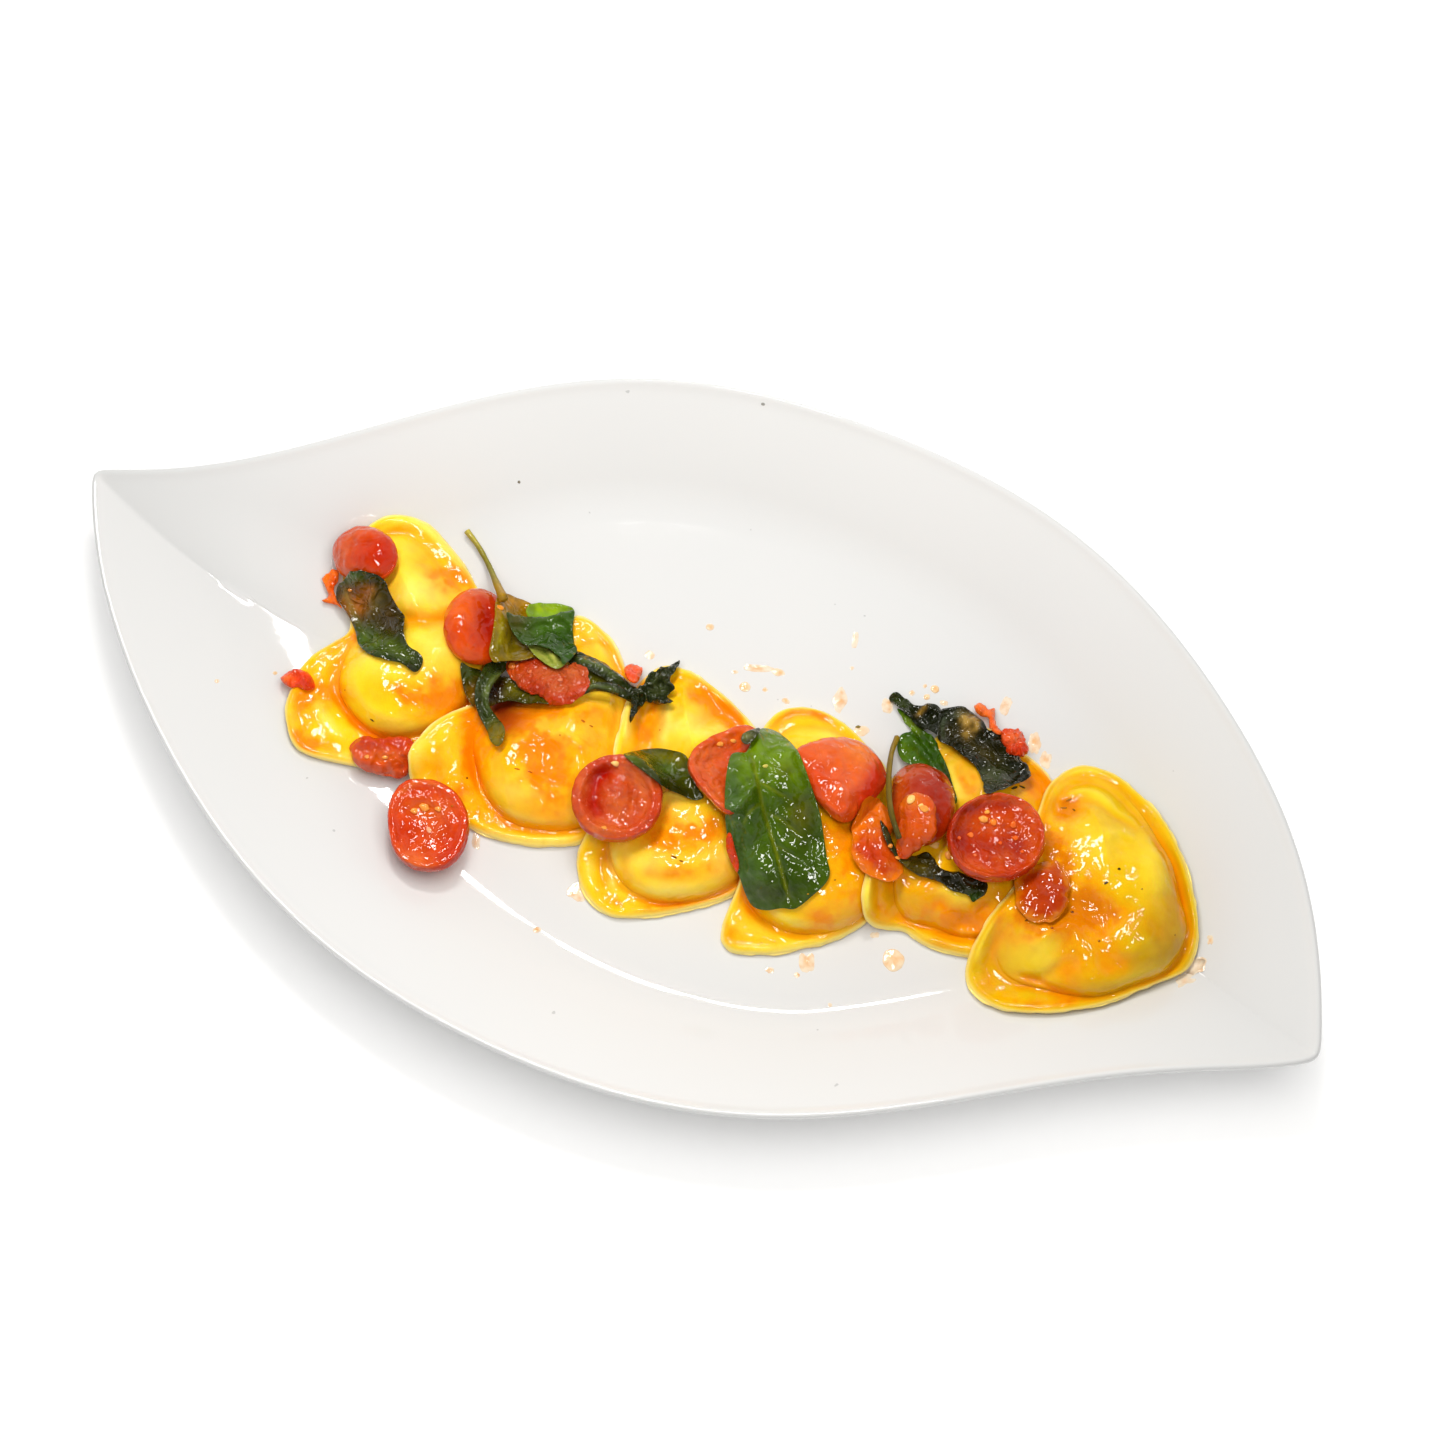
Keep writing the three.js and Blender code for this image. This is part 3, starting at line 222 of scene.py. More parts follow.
def fbm(x, y, z=0.0, seed=0, octaves=3):
    return sum(noise(x * 2**o, y * 2**o, np.asarray(z) * 2**o, seed + o) * 0.5**o for o in range(octaves))


def mark(px, py, item):
    """One mark in the view: a soft ellipse (x, y, rx, ry, turn, amount), or a stroke ([points], width, amount)."""
    if not isinstance(item[0], (list, tuple)):
        return gauss(px, py, item)
    pts, width, amount = item[:3]
    C = open_curve(pts, np.linspace(0, 1, 6 * (len(pts) - 1) + 1))
    best = np.full(np.shape(px), 1e9)
    share = np.zeros(np.shape(px))
    lo, hi = C.min(0) - 4 * width, C.max(0) + 4 * width
    near = (px > lo[0]) & (px < hi[0]) & (py > lo[1]) & (py < hi[1])
    if not near.any():
        return np.zeros(np.shape(px))
    x, y = px[near], py[near]
    b, sh = best[near], share[near]
    m = len(C) - 1
    for k in range(m):
        (ax, ay), (bx, by) = C[k], C[k + 1]
        dx, dy = bx - ax, by - ay
        t = np.clip(((x - ax) * dx + (y - ay) * dy) / (dx * dx + dy * dy + 1e-12), 0, 1)
        d = (x - ax - t * dx) ** 2 + (y - ay - t * dy) ** 2
        c = d < b
        b = np.where(c, d, b)
        sh = np.where(c, (k + t) / m, sh)
    out = np.zeros(np.shape(px))
    taper = ss(0, 0.18, sh) * ss(0, 0.18, 1 - sh) * 0.75 + 0.25
    out[near] = amount * np.exp(-b / (width * width)) * taper
    return out


def marks(px, py, items):
    out = np.zeros(np.shape(px))
    for it in items:
        out = out + mark(px, py, it)
    return out


def srgb(*c):
    c = np.array(c[0] if len(c) == 1 else c, float) / 255.0
    return np.where(c <= 0.04045, c / 12.92, ((c + 0.055) / 1.055) ** 2.4)


def painted(px, py, base, layers):
    """base colour, then each (colour, [marks]) laid over it"""
    col = np.broadcast_to(np.asarray(base, float), np.shape(px) + (3,)).copy()
    for colour, items in layers:
        m = np.clip(marks(px, py, items), 0, 1)[..., None]
        col = col * (1 - m) + srgb(colour) * m
    return col


# ---------------------------------------------------------------- meshes
made = []
support_v, support_f = [], []  # everything laid so far, for what is placed by a line of sight


def mesh_object(name, V, F, material, tint=None, extra=None, node=(), smooth=True, carry=True):
    V = np.asarray(V, float)
    me = bpy.data.meshes.new(name)
    me.from_pydata((V / 1000.0).tolist(), [], [tuple(int(i) for i in f) for f in F])
    me.update()
    if smooth:
        me.polygons.foreach_set("use_smooth", np.ones(len(me.polygons), bool))
    if tint is not None:
        a = me.attributes.new("tint", "FLOAT_COLOR", "POINT")
        a.data.foreach_set("color", np.c_[np.clip(tint, 0, 1), np.ones(len(V))].astype(np.float32).ravel())
    extra = dict(extra or {})
    if tint is not None and "wet" not in extra:
        extra["wet"] = np.ones(len(V))
    for key, val in extra.items():
        a = me.attributes.new(key, "FLOAT", "POINT")
        a.data.foreach_set("value", np.asarray(val, np.float32))
    me.materials.append(material)
    ob = bpy.data.objects.new(name, me)
    bpy.context.scene.collection.objects.link(ob)
    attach(ob, "root")
    if node:
        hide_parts(*([node] if isinstance(node, str) else node))
    made.append(ob)
    if carry:
        k = sum(len(v) for v in support_v)
        support_v.append(V)
        support_f.extend([tuple(int(i) + k for i in f) for f in F])
    return ob


def polar_faces(n, rings, close_first=True, close_last=True):
    """quads between rings of n points, numbered ring by ring, with a fan to a centre point at each closed end"""
    F = []
    i = np.arange(n)
    j = (i + 1) % n
    for r in range(rings - 1):
        a, b = r * n, (r + 1) * n
        F.extend(np.c_[a + i, b + i, b + j, a + j].tolist())
    c = rings * n
    if close_first:
        F.extend(np.c_[np.full(n, c), i, j].tolist())
        c += 1
    if close_last:
        k = (rings - 1) * n
        F.extend(np.c_[np.full(n, c), k + j, k + i].tolist())
    return F


# ---------------------------------------------------------------- materials
def tree(name):
    m = bpy.data.materials.new(name)
    m.use_nodes = True
    t = m.node_tree
    t.nodes.clear()
    out = t.nodes.new("ShaderNodeOutputMaterial")
    b = t.nodes.new("ShaderNodeBsdfPrincipled")
    t.links.new(b.outputs[0], out.inputs[0])
    return m, t, b


def node(t, kind, **inputs):
    n = t.nodes.new("ShaderNode" + kind)
    for k, v in inputs.items():
        if hasattr(n, k) and not k[0].isupper():
            setattr(n, k, v)
        else:
            n.inputs[k.replace("_", " ")].default_value = v
    return n


def noise_tex(t, scale, detail=3.0, rough=0.55, distort=0.0, coords=None):
    n = t.nodes.new("ShaderNodeTexNoise")
    n.inputs["Scale"].default_value = scale
    n.inputs["Detail"].default_value = detail
    n.inputs["Roughness"].default_value = rough
    n.inputs["Distortion"].default_value = distort
    if coords is not None:
        t.links.new(coords, n.inputs["Vector"])
    return n


def ramp(t, src, stops):
    r = t.nodes.new("ShaderNodeValToRGB")
    e = r.color_ramp.elements
    while len(e) > len(stops):
        e.remove(e[-1])
    while len(e) < len(stops):
        e.new(0.5)
    for el, (p, c) in zip(e, stops):
        el.position = p
        el.color = (*c, 1.0) if len(c) == 3 else c
    t.links.new(src, r.inputs[0])
    return r


def mix(t, a, b, fac, blend="MIX"):
    m = t.nodes.new("ShaderNodeMix")
    m.data_type, m.blend_type = "RGBA", blend
    for sock, v in ((m.inputs[0], fac), (m.inputs[6], a), (m.inputs[7], b)):
        if hasattr(v, "is_output") or isinstance(v, bpy.types.NodeSocket):
            t.links.new(v, sock)
        elif isinstance(v, (int, float)):
            sock.default_value = v
        else:
            sock.default_value = (*v, 1.0) if len(v) == 3 else v
    return m.outputs[2]


def math_node(t, op, a, b=0.0, clamp=False):
    m = t.nodes.new("ShaderNodeMath")
    m.operation, m.use_clamp = op, clamp
    for sock, v in ((m.inputs[0], a), (m.inputs[1], b)):
        if isinstance(v, bpy.types.NodeSocket):
            t.links.new(v, sock)
        else:
            sock.default_value = v
    return m.outputs[0]


def bump(t, height, strength, distance, normal=None):
    b = t.nodes.new("ShaderNodeBump")
    if isinstance(strength, bpy.types.NodeSocket):
        t.links.new(strength, b.inputs["Strength"])
    else:
        b.inputs["Strength"].default_value = strength
    b.inputs["Distance"].default_value = abs(distance)
    b.invert = distance < 0
    t.links.new(height, b.inputs["Height"])
    if normal is not None:
        t.links.new(normal, b.inputs["Normal"])
    return b.outputs[0]


def coords(t):
    return t.nodes.new("ShaderNodeTexCoord").outputs["Object"]


def attribute(t, name):
    a = t.nodes.new("ShaderNodeAttribute")
    a.attribute_name = name
    return a


def food_material(name, mottle=0.10, mottle_scale=260.0, rough=0.42, coat=0.55, coat_rough=0.05, sss=0.12, sss_radius=(1.0, 0.45, 0.15),
                  sss_scale=0.0022, wave=0.5, wave_scale=420.0, wave_depth=0.0009, dry=0.25, grain=0.15, grain_scale=1600.0, grain_depth=0.0002, spec=0.0,
                  dark=(0.80, 0.72, 0.60), light=(1.08, 1.10, 1.25), crease=0.0, crease_scale=200.0):
    """A wet food surface: the painted tint with fine mottling, a body with some light inside it, and a glossy wavy film over it.
    The film is most uneven where the attribute "wet" is high."""
    m, t, b = tree(name)
    co = coords(t)
    tint = attribute(t, "tint").outputs["Color"]
    n1 = noise_tex(t, mottle_scale, 4.0, 0.6, 0.4, co)
    shade = ramp(t, n1.outputs["Fac"], [(0.30, dark), (0.52, (1, 1, 1)), (0.75, light)])
    col = mix(t, tint, shade.outputs[0], mottle, "MULTIPLY")
    t.links.new(col, b.inputs["Base Color"])
    n2 = noise_tex(t, wave_scale, 0.0, 0.45, 0.9, co)
    n5 = noise_tex(t, wave_scale * 3.1, 0.0, 0.45, 0.6, co)
    n3 = noise_tex(t, grain_scale, 2.0, 0.5, 0.0, co)
    wet = attribute(t, "wet").outputs["Fac"]
    film = math_node(t, "MULTIPLY_ADD", wet, wave * (1 - dry))
    film.node.inputs[2].default_value = wave * dry
    slow = noise_tex(t, wave_scale * 0.33, 1.0, 0.5, 0.5, co)
    broad = bump(t, slow.outputs["Fac"], min(1.0, wave * 0.6), wave_depth * 1.6)
    shape = bump(t, slow.outputs["Fac"], wave * 0.3, wave_depth * 1.6)
    if crease:
        # sharp crests where the noise passes its middle
        n7 = noise_tex(t, crease_scale, 1.5, 0.5, 1.0, co)
        crest = math_node(t, "ABSOLUTE", math_node(t, "SUBTRACT", n7.outputs["Fac"], 0.5))
        shape = bump(t, crest, 1.0, crease, shape)
        broad = bump(t, crest, 1.0, crease, broad)
    nb = bump(t, n3.outputs["Fac"], grain, grain_depth, shape)
    t.links.new(nb, b.inputs["Normal"])
    nc = bump(t, n5.outputs["Fac"], film, wave_depth * 0.11, bump(t, n2.outputs["Fac"], film, wave_depth, broad))
    t.links.new(nc, b.inputs["Coat Normal"])
    n4 = noise_tex(t, 900.0, 2.0, 0.5, 0.0, co)
    r = math_node(t, "MULTIPLY_ADD", n4.outputs["Fac"], 0.16)
    r.node.inputs[2].default_value = rough - 0.08
    t.links.new(r, b.inputs["Roughness"])
    b.inputs["IOR"].default_value = 1.42
    b.inputs["Specular IOR Level"].default_value = spec
    b.inputs["Coat Weight"].default_value = coat
    b.inputs["Coat Roughness"].default_value = coat_rough
    b.inputs["Coat IOR"].default_value = 1.45
    b.inputs["Subsurface Weight"].default_value = sss
    b.inputs["Subsurface Radius"].default_value = sss_radius
    b.inputs["Subsurface Scale"].default_value = sss_scale
    return m


PASTA = food_material("pasta_wet", mottle=0.30, mottle_scale=190.0, rough=0.42, coat=0.7, coat_rough=0.04, sss=0.22, sss_scale=0.0025,
                      wave=0.9, wave_scale=205.0, wave_depth=0.0014, dry=0.42, grain=0.25, grain_scale=1300.0, grain_depth=0.00025)
SKIN = food_material("tomato_skin_wet", mottle=0.4, mottle_scale=200.0, rough=0.34, coat=1.0, coat_rough=0.035, sss=0.10, sss_radius=(1, 0.2, 0.08),
                     wave=0.8, wave_scale=230.0, wave_depth=0.0009, dry=1.0, grain=0.12, grain_scale=1500.0, grain_depth=0.0002, dark=(0.82, 0.62, 0.6), light=(1.06, 1.25, 1.3),
                     crease=-0.0009, crease_scale=170.0)
CUT = food_material("tomato_cut_wet", mottle=0.45, mottle_scale=330.0, rough=0.36, coat=1.0, coat_rough=0.035, sss=0.14, sss_radius=(1, 0.22, 0.08),
                    wave=0.9, wave_scale=280.0, wave_depth=0.0011, dry=1.0, grain=0.2, grain_scale=1500.0, grain_depth=0.0002, dark=(0.80, 0.5, 0.5), light=(1.06, 1.4, 1.4),
                    crease=0.0006, crease_scale=260.0)
PULP = food_material("tomato_pulp_wet", mottle=0.5, mottle_scale=360.0, rough=0.36, coat=0.8, coat_rough=0.04, sss=0.14, sss_radius=(1, 0.25, 0.08),
                     wave=0.9, wave_scale=340.0, wave_depth=0.0008, dry=1.0, grain=0.25, grain_scale=1800.0, grain_depth=0.0002, dark=(0.78, 0.45, 0.4), light=(1.08, 1.45, 1.45),
                     crease=-0.0012, crease_scale=300.0)
LEAFM = food_material("basil_wet", mottle=0.7, mottle_scale=330.0, rough=0.42, coat=1.0, coat_rough=0.045, sss=0.05, sss_radius=(0.5, 1, 0.2), sss_scale=0.0008,
                      wave=0.9, wave_scale=270.0, wave_depth=0.0010, dry=1.0, grain=0.3, grain_scale=1900.0, grain_depth=0.0002, dark=(0.6, 0.65, 0.6), light=(1.35, 1.3, 1.2),
                      crease=-0.0020, crease_scale=190.0)
LEAFS = food_material("basil_smooth_wet", mottle=0.55, mottle_scale=240.0, rough=0.40, coat=0.85, coat_rough=0.045, sss=0.05, sss_radius=(0.5, 1, 0.2), sss_scale=0.0008,
                      wave=0.9, wave_scale=230.0, wave_depth=0.0016, dry=1.0, grain=0.3, grain_scale=1900.0, grain_depth=0.0002, dark=(0.6, 0.65, 0.6), light=(1.35, 1.3, 1.2),
                      crease=-0.0011, crease_scale=130.0)
STEMM = food_material("basil_stem_wet", mottle=0.6, mottle_scale=400.0, rough=0.40, coat=0.6, coat_rough=0.06, sss=0.08, sss_radius=(0.6, 1, 0.3), sss_scale=0.0008,
                      wave=0.3, wave_scale=900.0, wave_depth=0.0003, grain=0.2, grain_scale=2500.0, grain_depth=0.0001, dark=(0.7, 0.7, 0.6), light=(1.3, 1.25, 1.2))
SEEDM = food_material("seed_wet", mottle=0.4, mottle_scale=900.0, rough=0.36, coat=0.7, coat_rough=0.05, sss=0.2, sss_scale=0.001,
                      wave=0.2, wave_scale=1200.0, wave_depth=0.0002, grain=0.1)
HERBM = food_material("herb_flake", mottle=0.5, mottle_scale=1500.0, rough=0.5, coat=0.3, coat_rough=0.15, sss=0.0, wave=0.2, wave_scale=1500.0, wave_depth=0.0002)


def porcelain():
    m, t, b = tree("porcelain_glazed")
    co = coords(t)
    n1 = noise_tex(t, 7.0, 2.0, 0.5, 0.0, co)
    r1 = ramp(t, n1.outputs["Fac"], [(0.35, (0.795, 0.795, 0.783)), (0.65, (0.820, 0.818, 0.804))])
    # small dark pin marks of the glaze, few and far between
    n2 = noise_tex(t, 300.0, 1.0, 0.4, 0.0, co)
    r2 = ramp(t, n2.outputs["Fac"], [(0.0, (0.75, 0.75, 0.75)), (0.17, (0.75, 0.75, 0.75)), (0.18, (1, 1, 1))])
    glazed = mix(t, r1.outputs[0], r2.outputs[0], 1.0, "MULTIPLY")
    bare = attribute(t, "bare").outputs["Fac"]
    n3 = noise_tex(t, 2500.0, 3.0, 0.6, 0.0, co)
    r3 = ramp(t, n3.outputs["Fac"], [(0.3, (0.70, 0.68, 0.64)), (0.7, (0.78, 0.76, 0.72))])
    t.links.new(mix(t, glazed, r3.outputs[0], bare), b.inputs["Base Color"])
    n4 = noise_tex(t, 22.0, 1.5, 0.4, 0.0, co)
    n5 = noise_tex(t, 420.0, 2.0, 0.5, 0.0, co)
    nb = bump(t, n5.outputs["Fac"], 0.03, 0.0003, bump(t, n4.outputs["Fac"], 0.25, 0.0012))
    t.links.new(nb, b.inputs["Normal"])
    rough = math_node(t, "MULTIPLY_ADD", bare, 0.5)
    n6 = noise_tex(t, 60.0, 3.0, 0.6, 0.0, co)
    rr = math_node(t, "MULTIPLY_ADD", n6.outputs["Fac"], 0.04)
    rr.node.inputs[2].default_value = 0.025
    t.links.new(rr, rough.node.inputs[2])
    t.links.new(rough, b.inputs["Roughness"])
    b.inputs["IOR"].default_value = 1.5
    b.inputs["Specular IOR Level"].default_value = 0.5
    b.inputs["Subsurface Weight"].default_value = 0.0
    return m


PORCELAIN = porcelain()

# ---------------------------------------------------------------- plate
P_OUT = outline()


def hollow(x, y):
    """how far from the lip the well begins to rise: further in on the near left side, where the rim runs out in a longer curve"""
    xp, yp = x * _cr + y * _sr, -x * _sr + y * _cr
    near = ss(24, 0, y - 0.12 * x)
    w = np.interp(xp, [-165, -145, -128, -118, -108, -100, -85, -70, -55, -38, -22, -5, 11, 27, 44, 70, 95],
                  [38, 47, 56, 58, 58, 57.5, 56, 51, 46.5, 42, 39.5, 38, 35.8, 34.2, 35, 36, 36])
    return 36 + (w - 36) * near


def plate_top(D, W=36.0):
    a = 18.5 / ((W - 24) * (24 + (W - 24) / 2))
    return np.where(D >= W, WELL, np.where(D >= 24, WELL + a * (W - np.clip(D, 24, W)) ** 2 / 2, WELL + a * (W - 24) ** 2 / 2 + a * (W - 24) * (24 - D)))


def spine(s):
    return np.stack([133 * s + 3, 13 * s + 27.5 * s**3 - 27 * s**5 - 0.5 - 5 * s**4], -1)


def build_plate():
    n = 480
    tip = int(np.argmin(P_OUT[:, 0]))
    k = np.arange(n)
    half = 2 * k / n
    far = half < 1
    w = np.where(far, half, half - 1)
    share = 0.55 * (1 - np.cos(np.pi * w)) / 2 + 0.45 * w
    i = np.where(far, share * tip, tip + share * (1440 - tip))
    i0 = np.floor(i).astype(int)
    u = (i - i0)[:, None]
    rim = P_OUT[i0 % 1440] * (1 - u) + P_OUT[(i0 + 1) % 1440] * u
    inner = spine(np.cos(np.pi * np.where(far, share, 1 - share)))
    coarse, fine = P_OUT[::4], P_OUT[::2]
    reach = inside_dist(coarse, inner[:, 0], inner[:, 1])

    def walk(distance, part):
        want = np.minimum(distance, part * reach)
        lo, hi = np.zeros(n), np.ones(n)
        for _ in range(16):
            t = (lo + hi) / 2
            q = rim + (inner - rim) * t[:, None]
            less = inside_dist(coarse, q[:, 0], q[:, 1]) < want
            lo, hi = np.where(less, t, lo), np.where(less, hi, t)
        hi = np.where(want <= 0, 0.0, hi)
        return rim + (inner - rim) * hi[:, None]

    def soft_d(xy):
        """distance from the lip, rounded where the two rims meet in a valley"""
        x, y = xy[:, 0], xy[:, 1]
        d = inside_dist(fine, x, y)
        r = inside_dist(coarse, *(inner.T)) * 1.0
        m = (d < 37) & (d > 0.80 * r)
        if m.any():
            acc = d[m] * 0.16
            for q in range(12):
                a, rad = q * math.pi / 3, (1.3 if q < 6 else 2.4)
                acc = acc + 0.07 * inside_dist(fine, x[m] + rad * math.cos(a + (q >= 6) * 0.5), y[m] + rad * math.sin(a + (q >= 6) * 0.5))
            d = d.copy()
            d[m] = acc
        return d

    lip = 2.4
    rings, bare = [], []
    top_d = [70, 62, 54, 48, 44, 41, 39, 37, 36, 35, 34, 33, 32, 31, 30, 29, 28, 27, 26, 25, 24, 23, 21, 18.5, 16, 13, 10, 7, 5, 3.6]
    top_s = [0.995, 0.99, 0.985, 0.98, 0.975, 0.97, 0.965, 0.96, 0.952, 0.944, 0.934, 0.922, 0.908, 0.892, 0.874, 0.855, 0.835, 0.812, 0.788,
             0.762, 0.735, 0.71, 0.67, 0.62, 0.565, 0.505, 0.44, 0.375, 0.33, 0.29]
    for d, s in zip(top_d, top_s):
        q = walk(d, s)
        z = plate_top(soft_d(q), hollow(q[:, 0], q[:, 1])) if d > 3.7 else plate_top(inside_dist(fine, q[:, 0], q[:, 1]), hollow(q[:, 0], q[:, 1]))
        rings.append(np.c_[q, z])
        bare.append(np.zeros(n))
    zt = float(plate_top(np.array(lip)))
    # the rolled lip, a half round from the top face over the edge to below it
    for d, z in ((2.6, zt + 0.05), (2.0, 23.25), (1.5, 23.72), (1.05, 23.95), (0.7, 23.95), (0.38, 23.75), (0.13, 23.35), (0.0, 22.7),
                 (0.06, 21.9), (0.3, 21.2), (0.75, 20.6)):
        q = walk(d, 0.3)
        rings.append(np.c_[q, np.full(n, z)])
        bare.append(np.zeros(n))
    for d, s in zip([2.2, 4, 7, 11, 15, 19, 22, 25, 28, 31, 33], [0.3, 0.34, 0.41, 0.5, 0.6, 0.68, 0.73, 0.78, 0.83, 0.87, 0.9]):
        q = walk(d, s)
        rings.append(np.c_[q, np.maximum(plate_top(soft_d(q), hollow(q[:, 0], q[:, 1])) - 4.6 + 0.9 * (d < 3), 2.0)])
        bare.append(np.zeros(n))
    for d, s, z, b in ((34.5, 0.92, 2.0, 0), (34.8, 0.926, 1.1, 0), (35.0, 0.931, 0.35, 0.4), (35.4, 0.936, 0.0, 1), (40.2, 0.963, 0.0, 1), (40.7, 0.967, 0.3, 0.6),
                       (41.0, 0.972, 0.9, 0), (41.4, 0.978, 1.4, 0), (48, 0.985, 1.4, 0), (60, 0.992, 1.4, 0)):
        q = walk(d, s)
        rings.append(np.c_[q, np.full(n, z)])
        bare.append(np.full(n, float(b)))
    rings = [np.c_[inner, np.full(n, WELL)]] + rings + [np.c_[inner, np.full(n, 1.4)]]
    bare = [np.zeros(n)] + bare + [np.zeros(n)]
    # the well's tips lie where the valley ends, so the first ring takes the height of its surroundings
    rings[0][:, 2] = np.where(reach < 60, plate_top(inside_dist(fine, inner[:, 0], inner[:, 1]), hollow(inner[:, 0], inner[:, 1])), WELL)
    V = np.vstack(rings)
    F = polar_faces(n, len(rings), False, False)
    B = np.concatenate(bare)
    # both closing lines are shared by the two sides: point k and point n - k (joined by their equal places)
    key = {}
    remap = np.arange(len(V))
    for r in (0, len(rings) - 1):
        for a in range(r * n, r * n + n):
            q = (r, round(V[a, 0], 3), round(V[a, 1], 3))
            remap[a] = key.setdefault(q, a)
    F2 = []
    for f in F:
        g = []
        for a in f:
            b = int(remap[a])
            if b not in g:
                g.append(b)
        if len(g) >= 3:
            F2.append(tuple(g))
    used = np.unique(np.array([a for f in F2 for a in f]))
    back = np.full(len(V), -1)
    back[used] = np.arange(len(used))
    F2 = [tuple(int(back[a]) for a in f) for f in F2]
    return mesh_object("plate_porcelain", V[used], F2, PORCELAIN, extra={"bare": B[used]}, node="plate")


plate = build_plate()
lip_d = blur(np.clip(inside_dist(P_OUT[::8], GX, GY), 0, None), 1.3)
H = np.where(lip_d > 0.3, plate_top(lip_d, hollow(GX, GY)), -1.0)

